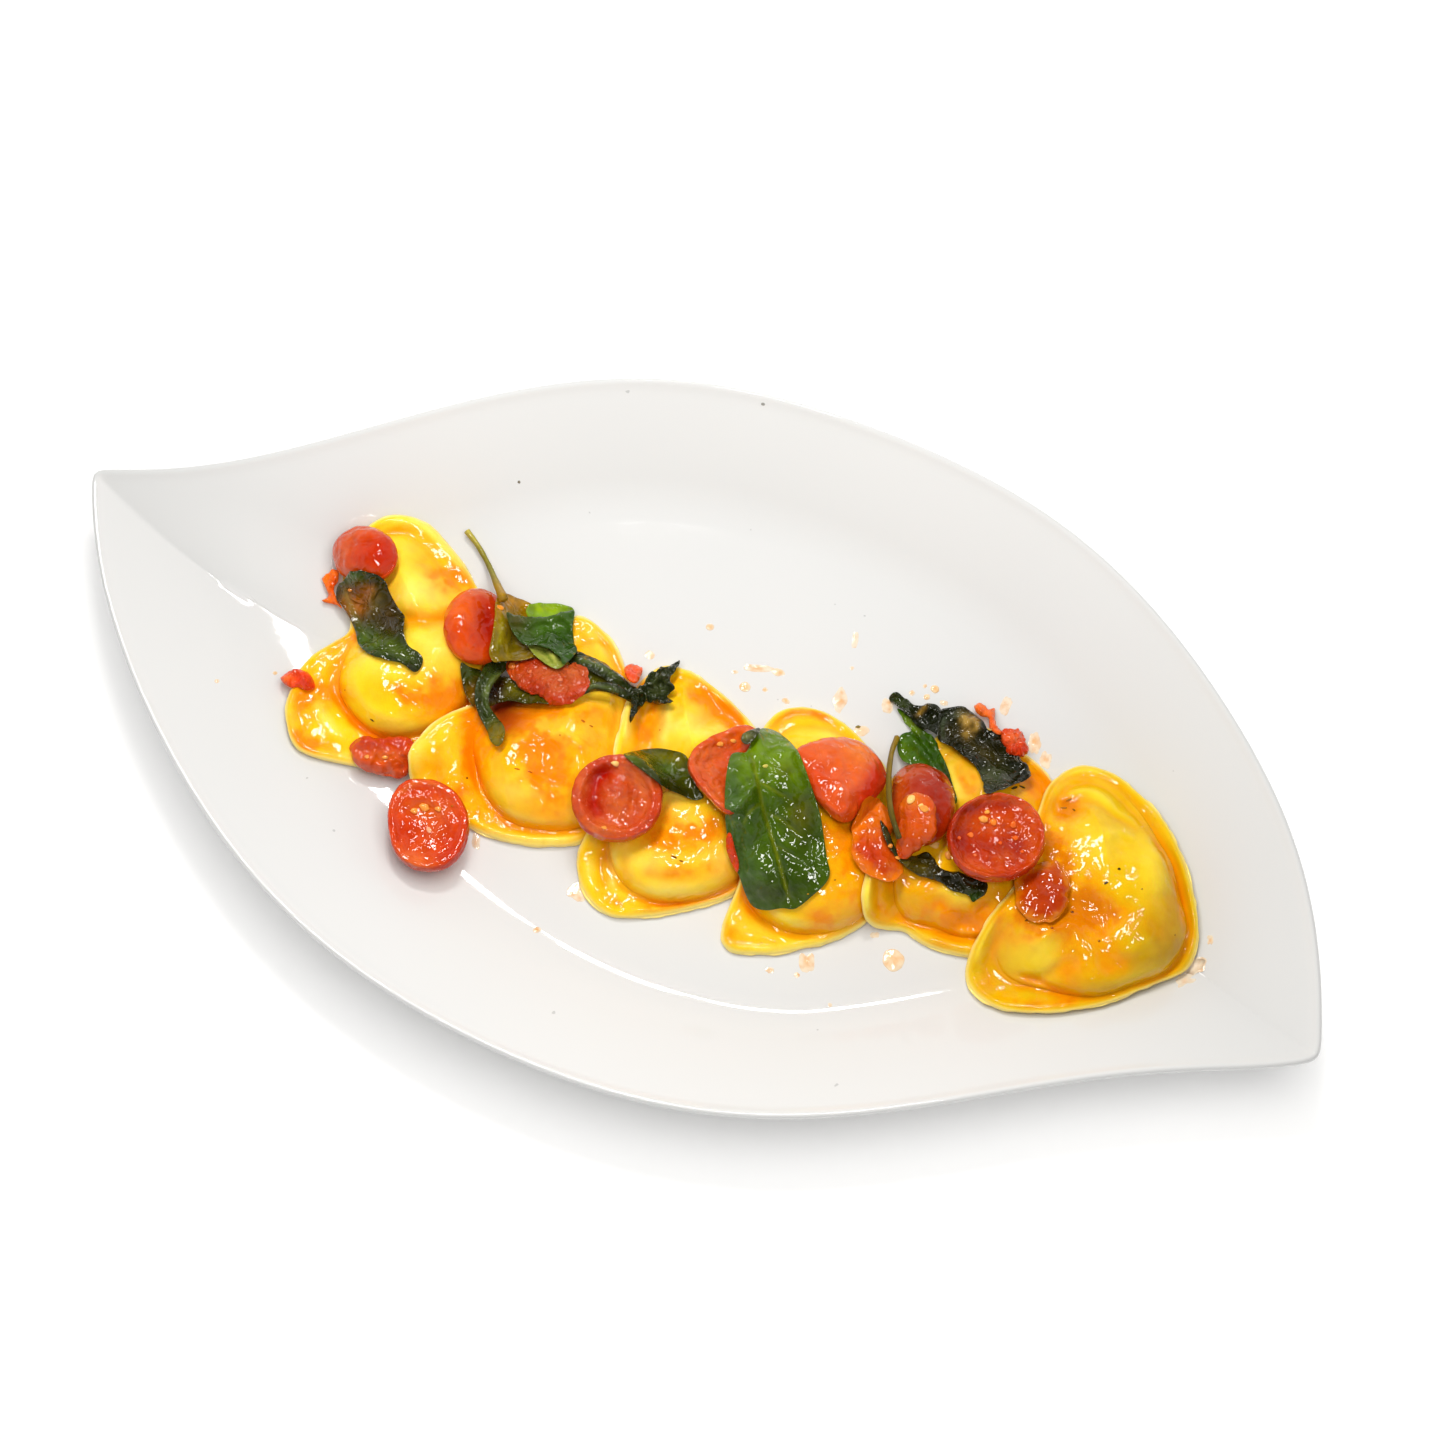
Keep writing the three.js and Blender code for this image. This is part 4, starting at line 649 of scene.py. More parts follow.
# ---------------------------------------------------------------- tables of the food, in millimetres
RAVIOLI = {
    'raviolo_1': dict(c=[-88.7, -14.5], crisp=-55, H=13.0,
        out=[30.8, 29.5, 28.7, 28.6, 29.5, 31.6, 34.9, 39.5, 40.1, 36.1, 28.2, 17.5, 15.2, 18.2, 24.4, 29.6, 35.1, 38.4, 35.6, 33.9, 33.4, 33, 32.6, 32],
        fill=[25.5, 25.6, 25.9, 27.6, 30.9, 36, 29.8, 13.9, 11.2, 13, 15.8, 19.3, 21.7, 24.9, 24.8, 25.5],
        bumps=[[-88, -6.6, 11.4, 2.2, 23, -1.8], [-87.4, 2.9, 6.5, 4.9, 26, 1.2], [-69.4, -20.7, 4.9, 3.8, 26, -1.5], [-83, -27.5, 10.8, 7, 16, 1], [-74.2, -11.8, 5.9, 6.5, 26, 1.2], [-82.6, 8.6, 8.1, 2.2, 79, -1.5], [-97.5, -42.7, 3.8, 8.1, 16, 0.8]]),
    'raviolo_2': dict(c=[-37.6, -20], crisp=-72, H=13.5,
        out=[26.9, 26.1, 26.2, 27.3, 29.2, 32.6, 37.5, 40.1, 32.7, 24.6, 21.5, 21.6, 24.5, 31.2, 37.1, 38.1, 33.9, 30.4, 28.8, 28, 27.9, 28.4, 27.9, 27.5],
        fill=[25.3, 24.5, 25.2, 28.2, 33.9, 24.4, 17.8, 16.8, 18.3, 20.2, 20.2, 21.5, 23.2, 23.3, 24.3, 26.1],
        bumps=[[-58.6, -36.7, 4.3, 8.1, 26, 5], [-49.8, -38, 1.9, 9.7, 18, -1.2], [-33.1, -27.5, 3.5, 8.1, 26, -2.6], [-27.7, -11.2, 7.6, 6.5, 26, 1.4], [-35.9, -36.8, 9.2, 4.3, 26, 1.4], [-39.2, -15.9, 8.1, 3.8, 26, 1], [-16.2, -27.6, 5.4, 3.8, 26, -0.8]]),
    'raviolo_3': dict(c=[-0.1, -17.4], crisp=-53, H=13.5,
        out=[29.9, 29.4, 29.2, 29.8, 30.8, 31.8, 33.7, 36.9, 39, 32.7, 24.7, 20, 17.7, 17.3, 18.5, 22.2, 30.8, 35.4, 36.7, 33.8, 31.8, 31.4, 32.1, 30.5],
        fill=[27.6, 26.3, 26.5, 27.2, 29.8, 34.1, 21.1, 13.3, 11.4, 12, 15, 22.5, 27.7, 29.1, 29.3, 29.7],
        bumps=[[0.2, 8.1, 10.8, 2.2, 70, -2], [-0.6, -0.9, 6.8, 3.8, 26, 1.6], [-12.8, -2.8, 2.4, 5.4, 26, -1.3], [12.1, -29.2, 9.2, 3, 21, -1], [13, -37.1, 10.8, 3.8, 26, 1], [-0.2, -25.9, 3.8, 4.3, 26, -1]]),
    'raviolo_4': dict(c=[41.3, -7.9], crisp=-67, H=14.0,
        out=[25.2, 24.5, 24.5, 24.9, 25.6, 27, 29.4, 33.2, 36.6, 36.9, 31, 26.2, 22.8, 21.3, 21.4, 22.9, 26.7, 40.6, 37.4, 33.1, 30.4, 28.5, 27.3, 26.4],
        fill=[22.4, 21.6, 21.9, 23.2, 26.1, 29.4, 29.7, 22.4, 18.8, 18.4, 20.8, 27.3, 29, 28.3, 26.9, 24.7],
        bumps=[[22.5, 17.6, 6.5, 1.6, 26, -0.6], [52.7, -32.3, 3, 1.9, 26, -1.3], [55.1, -18.6, 8.1, 8.1, 26, 0.6], [28.3, 5.5, 8.1, 4.9, 26, 0.6]]),
    'raviolo_5': dict(c=[80.5, 5.4], crisp=-100, H=12.0,
        out=[27.5, 27.7, 28.3, 29.6, 31.1, 32.4, 33.5, 36.4, 37.4, 32.7, 26.8, 24, 23.2, 23.9, 26.8, 31.2, 34.8, 28.6, 28.3, 28.3, 28.9, 29.1, 28.5, 27.8],
        fill=[22.1, 22.5, 24.1, 27, 29.2, 30.6, 24.9, 19.2, 17.5, 18.4, 22.5, 25.9, 23.2, 23.5, 24, 23],
        bumps=[[86.7, -16.3, 9.7, 2.4, 64, -3.2], [74.9, -13.3, 7, 3.8, 26, 0.8], [68.1, 23.8, 4.3, 4.9, 26, 1], [87.7, 30.3, 4.9, 3.8, 26, -1]]),
    'raviolo_6': dict(c=[115.8, 10.4], crisp=-12, H=15.5,
        out=[31, 28.6, 26.9, 26.6, 27.3, 29, 31.3, 34.8, 36.5, 32.8, 26.6, 22.6, 20.9, 21.2, 23.7, 32.7, 42.5, 42.6, 37.9, 33.8, 31.2, 29.8, 30.2, 32.4],
        fill=[27.4, 23.5, 22.8, 23.5, 27.3, 32.2, 30.7, 21.1, 18.3, 19.3, 28, 34, 30.7, 29.5, 27.5, 28.6],
        bumps=[[99.1, 26.9, 3.8, 2.7, 26, -3], [116.9, 21.4, 3.8, 3.2, 26, -0.9], [112.2, 2.2, 9.2, 3, 14, -3], [121, -1.1, 3.2, 5.4, 26, -2.2], [117.2, -13.6, 3.2, 5.4, 26, -1.5], [127.8, -7.7, 3.8, 2.4, 26, -1.2], [107.3, 19.8, 7, 4.9, 26, 1.2], [107.7, -13.8, 6.5, 3.8, 76, 1.8], [129.7, 12.4, 7, 12.4, 26, 1.2], [110.8, -20.7, 6.5, 1.1, 51, -1.4]]),
}
TOMATOES = {
    'pulp_1': dict(c=[-76.4, -42.6], kind='pulp', th=6.0, out=[8.4, 10, 8.6, 5.4, 4.7, 5.6, 8.6, 9.2, 6.9, 5.8, 5.8, 7.2]),
    'tomato_3': dict(c=[-54.8, -55.2], kind='cut', th=10.0, out=[11.6, 11.2, 11.3, 11.9, 12.8, 13.8, 12.2, 11.1, 11.6, 12.6, 13.1, 12.9]),
    'tomato_1': dict(c=[-108, 5.6], kind='skin', th=10.5, out=[10.5, 9.5, 8.5, 8.2, 8.9, 10.2, 10.6, 9.5, 8.4, 8.1, 8.8, 10]),
    'pulp_2': dict(c=[-45.1, -3.4], kind='pulp', th=3.9, out=[12.2, 11.4, 6.4, 5.2, 5.6, 8.3, 13.1, 9.8, 7.0, 6.4, 8, 10.6]),
    'tomato_2': dict(c=[-69.7, 1], kind='skin', th=10.5, out=[9.4, 9.2, 10, 11.4, 11.7, 10.5, 9.3, 9.1, 9.8, 11.2, 11.7, 10.5]),
    'tomato_4': dict(c=[-10.8, -27.5], kind='cut', th=9.5, out=[12.5, 12.6, 12.2, 11.9, 11.8, 12.1, 12.5, 12.5, 12.2, 11.9, 11.8, 12.1]),
    'tomato_5': dict(c=[11.7, -6.1], kind='cut', th=8.5, out=[10.4, 10.6, 13, 14.5, 10.7, 9.7, 10.1, 10.8, 10.2, 11, 14.4, 12.3]),
    'tomato_6': dict(c=[40.5, 5.6], kind='skin', th=10.5, out=[11.1, 13, 13, 12.9, 12.2, 12.6, 14, 11.3, 9.8, 10.8, 13.4, 10.7]),
    'pulp_3': dict(c=[57.1, -5.6], kind='pulp', th=3.4, out=[4.6, 3.8, 4.6, 9.6, 11.8, 9.2, 7.6, 7.5, 8.5, 10, 11.9, 11.6]),
    'tomato_7': dict(c=[63, 9.9], kind='skin', th=10.5, out=[9.9, 9.5, 10.3, 11.8, 12.9, 11.6, 8.6, 8.6, 10, 12.6, 13, 11.6]),
    'pulp_5': dict(c=[64.7, 1.6], kind='pulp', th=5.0, out=[5.6, 5.7, 6.3, 7.9, 8.9, 7.1, 5, 4.7, 5.9, 9.4, 7, 6]),
    'pulp_4': dict(c=[102.8, 1.7], kind='pulp', th=3.0, out=[7.2, 7.5, 8.2, 9.4, 8.4, 7.6, 7.8, 7.8, 8.2, 8.8, 8.9, 7.8]),
    'tomato_8': dict(c=[85.5, 8.2], kind='cut', th=10.0, out=[12.9, 13.6, 13.6, 12.9, 12.3, 12.3, 12.9, 13.6, 13.5, 12.9, 12.3, 12.3]),
    'pulp_6': dict(c=[78.7, 38.4], kind='pulp', th=4.5, out=[4.3, 3.8, 3.7, 4.1, 4.5, 5.1, 4.4, 3.8, 3.6, 3.7, 4, 4.6]),
}
LEAVES = {
    'basil_1': dict(mid=[[-110.1, -3.5], [-103.1, -5.5], [-95, -9.7], [-85.4, -15.6], [-77.9, -17.2]], l=[2.1, 6.3, 6.5, 4.7, 1.7], r=[2.1, 5.4, 6.6, 4.5, 1.7], lift=0.6),
    'basil_3': dict(mid=[[-57.4, -2.7], [-60.9, -8.7], [-60.4, -15.9], [-54.5, -22], [-47.3, -27]], l=[2.5, 3, 3, 2.2, 0.8], r=[2.6, 3.3, 4.2, 2.5, 1.4], lift=0.6),
    'basil_4': dict(mid=[[-39.6, -0.5], [-32.5, 2.7], [-26.2, 4.6], [-21.6, 5.4], [-17.9, 7.9], [-14.4, 9.7]], l=[7.5, 4.5, 2.7, 2, 5.1, 7.8], r=[7.3, 4.5, 2.6, 1.9, 5, 6.5], lift=0.6),
    'basil_2b': dict(mid=[[-67.8, 12.6], [-62.9, 5.8], [-59.5, 0.4], [-56.7, -4.8]], l=[2.5, 4.3, 4.5, 3.5], r=[2.5, 3.4, 3.8, 3.8], lift=0.6),
    'basil_2': dict(mid=[[-63.2, 8], [-58.4, 9.5], [-51.9, 8.8], [-43.1, 0.8]], l=[2.3, 5.8, 6.9, 2.6], r=[3.5, 5.3, 6.6, 3.5], lift=0.6),
    'basil_5': dict(mid=[[-13.8, -16.6], [-7.3, -14.6], [-0.2, -13.2], [7.8, -14.5], [12.7, -14.6]], l=[0.6, 5.1, 5.1, 3.9, 2.3], r=[1.3, 4.9, 6.1, 3.9, 2.3], lift=0.6),
    'basil_8': dict(mid=[[46.3, 33.7], [51.3, 31], [56.3, 26.4], [60.6, 20.9]], l=[1.5, 4, 5.5, 5.3], r=[1.4, 3.4, 5.4, 6], lift=0.6),
    'basil_9': dict(mid=[[56.7, -2.8], [61.7, -7.2], [68.4, -8], [74.7, -5.7], [81.4, -6.1], [88.8, -5.3]], l=[1.2, 2.8, 4.3, 3.9, 3.3, 2.7], r=[1.2, 2.5, 3.5, 3.9, 3.2, 2.1], lift=0.6),
    'basil_6': dict(mid=[[13.4, 6.1], [18.5, -1.2], [25.9, -10.7], [33.9, -20.3], [41.4, -28.8], [44.9, -32.1]], l=[4.6, 10.3, 13.6, 13.5, 11.3, 3.2], r=[2.8, 7.8, 10.8, 11.2, 10.4, 8.8], lift=0.6),
    'basil_7': dict(mid=[[42.3, 36.2], [52.1, 35.4], [62.2, 35.5], [72.1, 33.2], [79.5, 30], [84.1, 28.5]], l=[1.3, 4, 5.9, 8.5, 8, 3.4], r=[0.8, 2.8, 4.5, 7, 8.2, 6.6], lift=0.6),
}
STEMS = {
    'stem_1': dict(pts=[[-87.9, 27.2, 8.1], [-83, 24.7, 7.8], [-77.7, 21, 8.3], [-71.7, 15.6, 14.1], [-66.1, 10.5, 20.9]], r=1.25),
    'stem_2': dict(pts=[[48.8, 26.2, 8.9], [49.6, 20.1, 15.2], [51.7, 12.9, 21.5], [54.6, 6.2, 24.8], [57.8, 0.7, 28.1], [62.3, -4.6, 30]], r=1.2),
}
ORDER = [
    'raviolo_1', 'pulp_1', 'raviolo_2', 'raviolo_3', 'raviolo_4', 'raviolo_5', 'raviolo_6', 'tomato_3',
    'tomato_1', 'basil_1', 'basil_3', 'basil_4', 'pulp_2', 'tomato_2', 'basil_2b', 'basil_2',
    'stem_1', 'tomato_4', 'basil_5', 'tomato_5', 'tomato_6', 'pulp_3', 'basil_8', 'basil_9',
    'tomato_7', 'pulp_5', 'stem_2', 'pulp_4', 'tomato_8', 'basil_6', 'basil_7', 'pulp_6',
]

# ---------------------------------------------------------------- ravioli
# Ridges and creases pressed into each raviolo: ([points in the view], half width in pixels, height in mm), or soft ellipses.
RELIEF = {
    "raviolo_1": [
        ([(384, 527), (405, 524), (425, 533), (441, 549), (455, 566), (468, 584)], 4.5, 0.75),
        ([(380, 536), (402, 533), (419, 542), (433, 556), (447, 574), (458, 590)], 4.0, -0.55),
        ([(383, 608), (405, 616), (425, 620), (446, 617), (462, 608)], 6.0, -0.8),
        ([(402, 628), (420, 640), (441, 648), (458, 644)], 8.0, 0.7),
        ([(313, 700), (322, 716), (334, 731), (352, 742)], 5.0, 0.85),
        ([(332, 690), (343, 707), (356, 723), (376, 735), (400, 741)], 3.6, -1.1),
        ([(296, 690), (298, 715), (312, 737), (336, 752)], 4.5, -0.6),
        ([(345, 655), (333, 672), (330, 690)], 6.0, -0.7),
        ([(352, 676), (362, 700), (384, 718), (410, 722)], 7.0, 0.6),
        ([(395, 690), (412, 702), (436, 704)], 7.0, -0.7),
        ([(430, 676), (440, 700), (425, 722)], 9.0, -0.6),
        (420, 588, 22, 15, 10, 0.5), (424, 560, 14, 8, 40, -0.5),
    ],
    "raviolo_2": [
        ([(538, 727), (552, 735), (562, 733), (577, 742), (592, 747)], 5.0, 0.7),
        ([(520, 742), (538, 750), (556, 756), (580, 760)], 7.0, -0.5),
        ([(430, 737), (421, 752), (420, 772), (428, 790)], 6.0, 0.7),
        ([(446, 742), (437, 757), (438, 776), (447, 792)], 5.0, -0.45),
        ([(463, 742), (459, 760), (461, 780), (468, 797)], 5.0, 0.55),
        ([(482, 725), (474, 745), (475, 770), (482, 795)], 5.0, -0.8),
        ([(484, 783), (495, 808), (525, 824), (560, 827), (590, 823)], 3.5, -0.8),
        ([(500, 785), (525, 781), (552, 790)], 9.0, 0.75),
        ([(533, 770), (548, 779), (570, 780)], 5.0, -0.9),
        ([(596, 634), (608, 650), (619, 670), (628, 695), (632, 720)], 4.0, -0.6),
        ([(586, 628), (598, 646), (606, 664)], 5.0, 0.5),
        ([(575, 700), (598, 707), (618, 706)], 6.0, 0.5),
        ([(614, 690), (616, 715), (612, 742)], 4.5, -0.7),
        ([(470, 820), (500, 834), (540, 839), (578, 836)], 4.5, 0.45),
    ],
    "raviolo_3": [
        ([(628, 692), (626, 715), (627, 742)], 4.0, 0.9),
        ([(640, 694), (638, 716), (639, 744)], 4.5, -0.8),
        ([(667, 700), (665, 722), (661, 748)], 5.0, 0.9),
        ([(683, 702), (678, 712), (674, 724)], 5.0, -0.3),
        ([(688, 690), (706, 700), (728, 716), (744, 734)], 6.5, -1.0),
        ([(680, 678), (700, 684), (722, 700), (744, 722)], 5.0, 0.45),
        ([(588, 858), (589, 875), (597, 893)], 4.5, 0.6),
        ([(600, 848), (601, 870), (608, 890)], 4.0, -0.6),
        ([(612, 846), (612, 866), (614, 890)], 4.5, 0.75),
        ([(624, 850), (624, 870), (632, 888)], 5.0, -0.6),
        ([(640, 897), (662, 903), (697, 900), (728, 890), (746, 876)], 3.2, -0.8),
        ([(640, 872), (665, 877), (700, 873)], 6.0, -0.5),
        ([(640, 888), (668, 892), (705, 886)], 6.0, 0.45),
        ([(620, 905), (650, 911), (690, 907)], 4.0, 0.4),
        ([(665, 805), (682, 818), (700, 836)], 9.0, 0.8),
        ([(650, 835), (672, 845), (700, 848)], 7.0, -0.6),
    ],
    "raviolo_4": [
        ([(772, 731), (784, 719), (800, 713), (820, 716), (838, 727)], 4.5, -0.7),
        ([(790, 731), (806, 727), (824, 731), (840, 742)], 6.0, 0.5),
        ([(744, 898), (757, 914), (778, 925), (806, 931), (840, 927), (866, 914)], 3.2, -0.7),
        ([(766, 903), (782, 916), (806, 922), (836, 919)], 6.0, 0.5),
        ([(724, 915), (740, 928), (770, 938), (800, 941)], 5.5, 0.55),
        ([(716, 930), (738, 941), (768, 946)], 4.0, -0.4),
        ([(800, 938), (825, 933), (850, 926), (872, 914)], 4.0, 0.55),
        ([(845, 800), (850, 840), (848, 880)], 12.0, -0.5),
        (852, 905, 12, 8, 0, 0.4), (886, 850, 10, 26, 5, 0.5),
    ],
    "raviolo_5": [
        ([(869, 872), (867, 892), (868, 914)], 4.5, 0.8),
        ([(879, 874), (878, 894), (880, 914)], 4.0, -0.75),
        ([(893, 882), (891, 900), (897, 916)], 4.5, 0.6),
        ([(934, 895), (948, 908), (965, 921), (985, 932)], 6.0, -0.9),
        ([(905, 924), (930, 935), (958, 944), (985, 948)], 5.0, 0.45),
        ([(940, 884), (958, 896), (975, 905)], 7.0, 0.6),
        ([(955, 760), (962, 780), (974, 796)], 4.5, -0.7),
        ([(945, 762), (950, 780), (957, 796)], 6.0, 0.5),
        ([(975, 765), (981, 780), (985, 792)], 5.0, 0.5),
        ([(1020, 760), (1035, 775), (1048, 790)], 6.0, -0.6),
    ],
    "raviolo_6": [
        ([(1044, 806), (1053, 789), (1068, 777), (1087, 772), (1107, 777), (1124, 789)], 3.6, 0.6),
        ([(1051, 812), (1060, 795), (1075, 785), (1093, 784), (1110, 792), (1128, 808), (1148, 830), (1165, 856)], 3.6, -0.7),
        ([(1062, 800), (1075, 793), (1092, 792), (1106, 800), (1118, 812), (1133, 820)], 3.6, 0.75),
        ([(1080, 803), (1096, 803), (1108, 812), (1124, 822), (1142, 832)], 3.2, -0.5),
        ([(1150, 832), (1166, 858), (1178, 890), (1185, 930)], 3.4, -0.9),
        ([(1170, 838), (1184, 868), (1193, 900), (1197, 932)], 3.2, 0.55),
        ([(1105, 836), (1120, 833), (1137, 842)], 5.0, 0.7),
        ([(1062, 790), (1052, 806), (1052, 826)], 5.0, 0.5),
        ([(1012, 903), (995, 921), (981, 944), (976, 966)], 4.5, 0.7),
        ([(1021, 912), (1005, 930), (991, 952), (987, 972), (998, 988)], 4.5, -0.65),
        ([(1016, 975), (1034, 978), (1050, 986), (1068, 993)], 3.4, -1.1),
        ([(1040, 932), (1046, 948), (1058, 965)], 9.0, 0.7),
        ([(1000, 1003), (1040, 1004), (1090, 999), (1140, 986)], 4.0, 0.35),
        ([(1045, 925), (1068, 915), (1096, 918)], 7.0, -0.7),
        ([(1145, 850), (1156, 875), (1158, 898)], 11.0, 0.4),
        ([(1118, 955), (1135, 948), (1150, 938)], 7.0, 0.35),
    ],
}
# PALE colours the light-coloured dough at rims and ridges, and also the painted light laid on dome tops
YELLOW, PALE, ORANGE, DEEP = (250, 198, 24), (253, 226, 104), (245, 148, 6), (228, 108, 4)
# Where the sauce lies thick, and where the dough is light-coloured or carries painted light and painted highlights:
# marks in the view, each with its amount.
SAUCE = {
    "raviolo_1": [
        (443, 580, 20, 12, 40, 0.75), (420, 612, 34, 7, 0, 0.55), (332, 690, 13, 11, 0, 0.85), (345, 640, 16, 10, -35, 0.6), (300, 735, 14, 22, -30, 0.45),
        (318, 745, 24, 8, 25, 0.5), (440, 690, 22, 16, 0, 0.8), (460, 705, 14, 14, 0, 0.6), (310, 705, 9, 14, 0, 0.7), (352, 590, 12, 20, 0, 0.6),
        ([(345, 712), (360, 727), (385, 737), (415, 737)], 6, 0.7), (405, 695, 24, 9, 15, 0.5), (462, 580, 12, 8, 40, 0.5), (385, 590, 10, 14, 0, 0.4), (300, 690, 10, 12, 0, 0.5),
    ],
    "raviolo_2": [
        (546, 762, 18, 22, 0, 0.85), (472, 760, 11, 40, 8, 0.8), (505, 745, 20, 26, 0, 0.6), (560, 792, 30, 12, 0, 0.65), (590, 740, 26, 10, 20, 0.35), (452, 800, 24, 14, 30, 0.5),
        (588, 715, 24, 8, 15, 0.5), (545, 705, 26, 10, 10, 0.75), (490, 815, 20, 8, 30, 0.5), (610, 775, 14, 18, 0, 0.4), (436, 755, 10, 16, 0, 0.3), (560, 816, 30, 7, 0, 0.5),
        (592, 640, 12, 12, 45, 0.35), (515, 715, 16, 14, 0, 0.8), (470, 712, 14, 12, 0, 0.5), (560, 745, 20, 10, 0, 0.5),
    ],
    "raviolo_3": [
        ([(684, 684), (704, 696), (726, 712), (746, 732)], 11, 0.95), (650, 722, 10, 22, 0, 0.75), (672, 838, 32, 14, 0, 0.7), (700, 825, 24, 12, 20, 0.5),
        ([(600, 895), (630, 905), (665, 909), (700, 903)], 7, 0.8), (605, 870, 6, 16, 0, 0.55), (690, 870, 34, 8, -5, 0.55), (740, 850, 10, 26, -10, 0.35), (650, 690, 12, 10, 0, 0.6),
        (655, 800, 12, 12, 0, 0.6), (735, 880, 14, 8, -30, 0.5), (645, 760, 10, 12, 0, 0.4),
    ],
    "raviolo_4": [
        ([(778, 722), (795, 711), (815, 712), (835, 724)], 7, 0.7), (820, 921, 13, 9, 0, 0.85), (722, 930, 14, 9, 20, 0.85), (845, 850, 18, 40, 0, 0.6), (850, 905, 24, 12, 0, 0.35),
        (745, 905, 10, 14, 0, 0.5), (872, 870, 16, 24, 0, 0.5), (840, 830, 20, 16, 0, 0.5), (760, 900, 16, 8, 30, 0.5), (770, 938, 24, 5, 8, 0.35), (880, 760, 14, 18, 30, 0.4),
    ],
    "raviolo_5": [
        ([(930, 900), (950, 912), (972, 926), (992, 934)], 12, 0.9), (882, 895, 6, 20, 0, 0.6), (915, 880, 26, 8, 5, 0.65), (990, 905, 14, 14, 0, 0.6), (968, 775, 9, 18, -15, 0.7),
        (1035, 780, 16, 14, 0, 0.9), (1010, 765, 16, 12, 0, 0.5), (905, 920, 26, 6, 20, 0.4), (1052, 810, 10, 24, 0, 0.6), (925, 915, 20, 8, 10, 0.4), (935, 760, 8, 14, 0, 0.35),
    ],
    "raviolo_6": [
        (1068, 803, 12, 8, 0, 0.6), (1078, 908, 34, 12, 12, 0.85), (1100, 925, 16, 20, 0, 0.5), (1068, 962, 12, 18, 0, 0.35), (1112, 964, 14, 8, 0, 0.4),
        (1040, 925, 26, 12, -20, 0.75), (1095, 872, 14, 12, 0, 0.25), (1062, 880, 14, 30, 0, 0.85), (1050, 852, 12, 20, 0, 0.85), (1026, 908, 20, 12, -30, 0.8), ([(1018, 977), (1040, 982), (1060, 992)], 5, 0.4),
        (995, 985, 18, 12, 30, 0.3), ([(1000, 1000), (1040, 1004), (1085, 1000)], 5, 0.6), ([(1150, 835), (1168, 862), (1180, 895), (1186, 935)], 4, 0.5),
    ],
}
# light-coloured dough at rims, ridges and filling, mixed with painted light: dome tops painted lighter as if lit, and
# painted highlight patches
PALE_AND_LIT_PATCHES = {
    "raviolo_1": [
        ([(383, 522), (405, 518), (428, 528), (447, 548), (464, 570), (478, 592)], 6, 0.9), (423, 592, 24, 16, 5, 1.0), (432, 655, 26, 22, 30, 0.6), ([(316, 700), (326, 718), (340, 734)], 5, 0.8),
        (365, 655, 18, 12, 20, 0.4), (400, 728, 24, 6, 0, 0.5), (355, 760, 22, 5, 15, 0.7), (292, 722, 5, 20, 0, 0.5), (410, 545, 20, 10, 20, 0.35), (385, 668, 22, 10, 0, 0.25),
    ],
    "raviolo_2": [
        ([(425, 735), (416, 752), (415, 775)], 6, 0.6), (523, 793, 24, 8, 0, 0.75), ([(478, 829), (510, 839), (545, 843), (580, 839)], 5, 0.95), (570, 727, 24, 8, 15, 0.4), (600, 640, 9, 16, -45, 0.6),
        (600, 805, 14, 10, 0, 0.5), (443, 750, 10, 20, 0, 0.2), ([(497, 806), (520, 817), (550, 821)], 4, 0.5), (590, 690, 20, 8, 0, 0.4), (618, 730, 6, 24, 0, 0.4), (530, 730, 20, 8, 0, 0.3),
    ],
    "raviolo_3": [
        ([(628, 695), (626, 715), (628, 742)], 5, 0.95), ([(667, 702), (664, 722), (660, 748)], 6, 0.8), (700, 724, 26, 11, -3, 1.0), ([(612, 846), (612, 866), (614, 892)], 5, 0.85),
        ([(590, 858), (589, 880)], 5, 0.5), (680, 890, 40, 7, -4, 0.6), (700, 858, 26, 8, 0, 0.4), (725, 865, 12, 16, 0, 0.5), ([(700, 908), (730, 898), (748, 884)], 4, 0.8), (670, 790, 14, 10, 0, 0.8),
        (685, 820, 20, 12, 45, 0.6), (648, 862, 18, 14, 20, 0.7), (738, 850, 9, 14, 0, 0.5),
    ],
    "raviolo_4": [
        (800, 735, 28, 10, 0, 0.25), ([(768, 905), (785, 919), (812, 926), (845, 920)], 5, 0.6), ([(740, 944), (770, 950), (805, 945), (840, 934), (868, 918)], 5, 0.85), (835, 738, 12, 6, 20, 0.5),
        (760, 930, 22, 6, 10, 0.35), (735, 905, 8, 10, -40, 0.3),
    ],
    "raviolo_5": [
        ([(868, 872), (866, 892), (867, 914)], 5, 0.75), (965, 905, 14, 8, 25, 0.35), ([(900, 928), (930, 941), (965, 952)], 4, 0.5), (950, 768, 10, 18, -10, 0.6), (962, 790, 12, 8, 0, 0.8), (945, 890, 14, 6, 15, 0.4),
    ],
    "raviolo_6": [
        ([(1048, 800), (1060, 782), (1084, 772), (1108, 778)], 5, 0.6), (1085, 838, 24, 16, 0, 0.75), (1040, 950, 20, 24, -35, 0.65), (1152, 872, 10, 26, 0, 0.5), ([(1064, 798), (1090, 792), (1112, 808)], 5, 0.55),
        ([(975, 962), (982, 940), (998, 918)], 4, 0.45), (1140, 975, 30, 6, -20, 0.35), ([(1175, 840), (1190, 875), (1198, 915)], 4, 0.5), (1100, 855, 20, 10, 0, 0.25),
    ],
}
BASE = {
    "raviolo_1": (250, 200, 26), "raviolo_2": (249, 190, 22), "raviolo_3": (250, 200, 30), "raviolo_4": (246, 186, 20), "raviolo_5": (236, 170, 20), "raviolo_6": (240, 192, 22),
}
OLIVE, GROOVE = (176, 130, 8), (232, 156, 14)
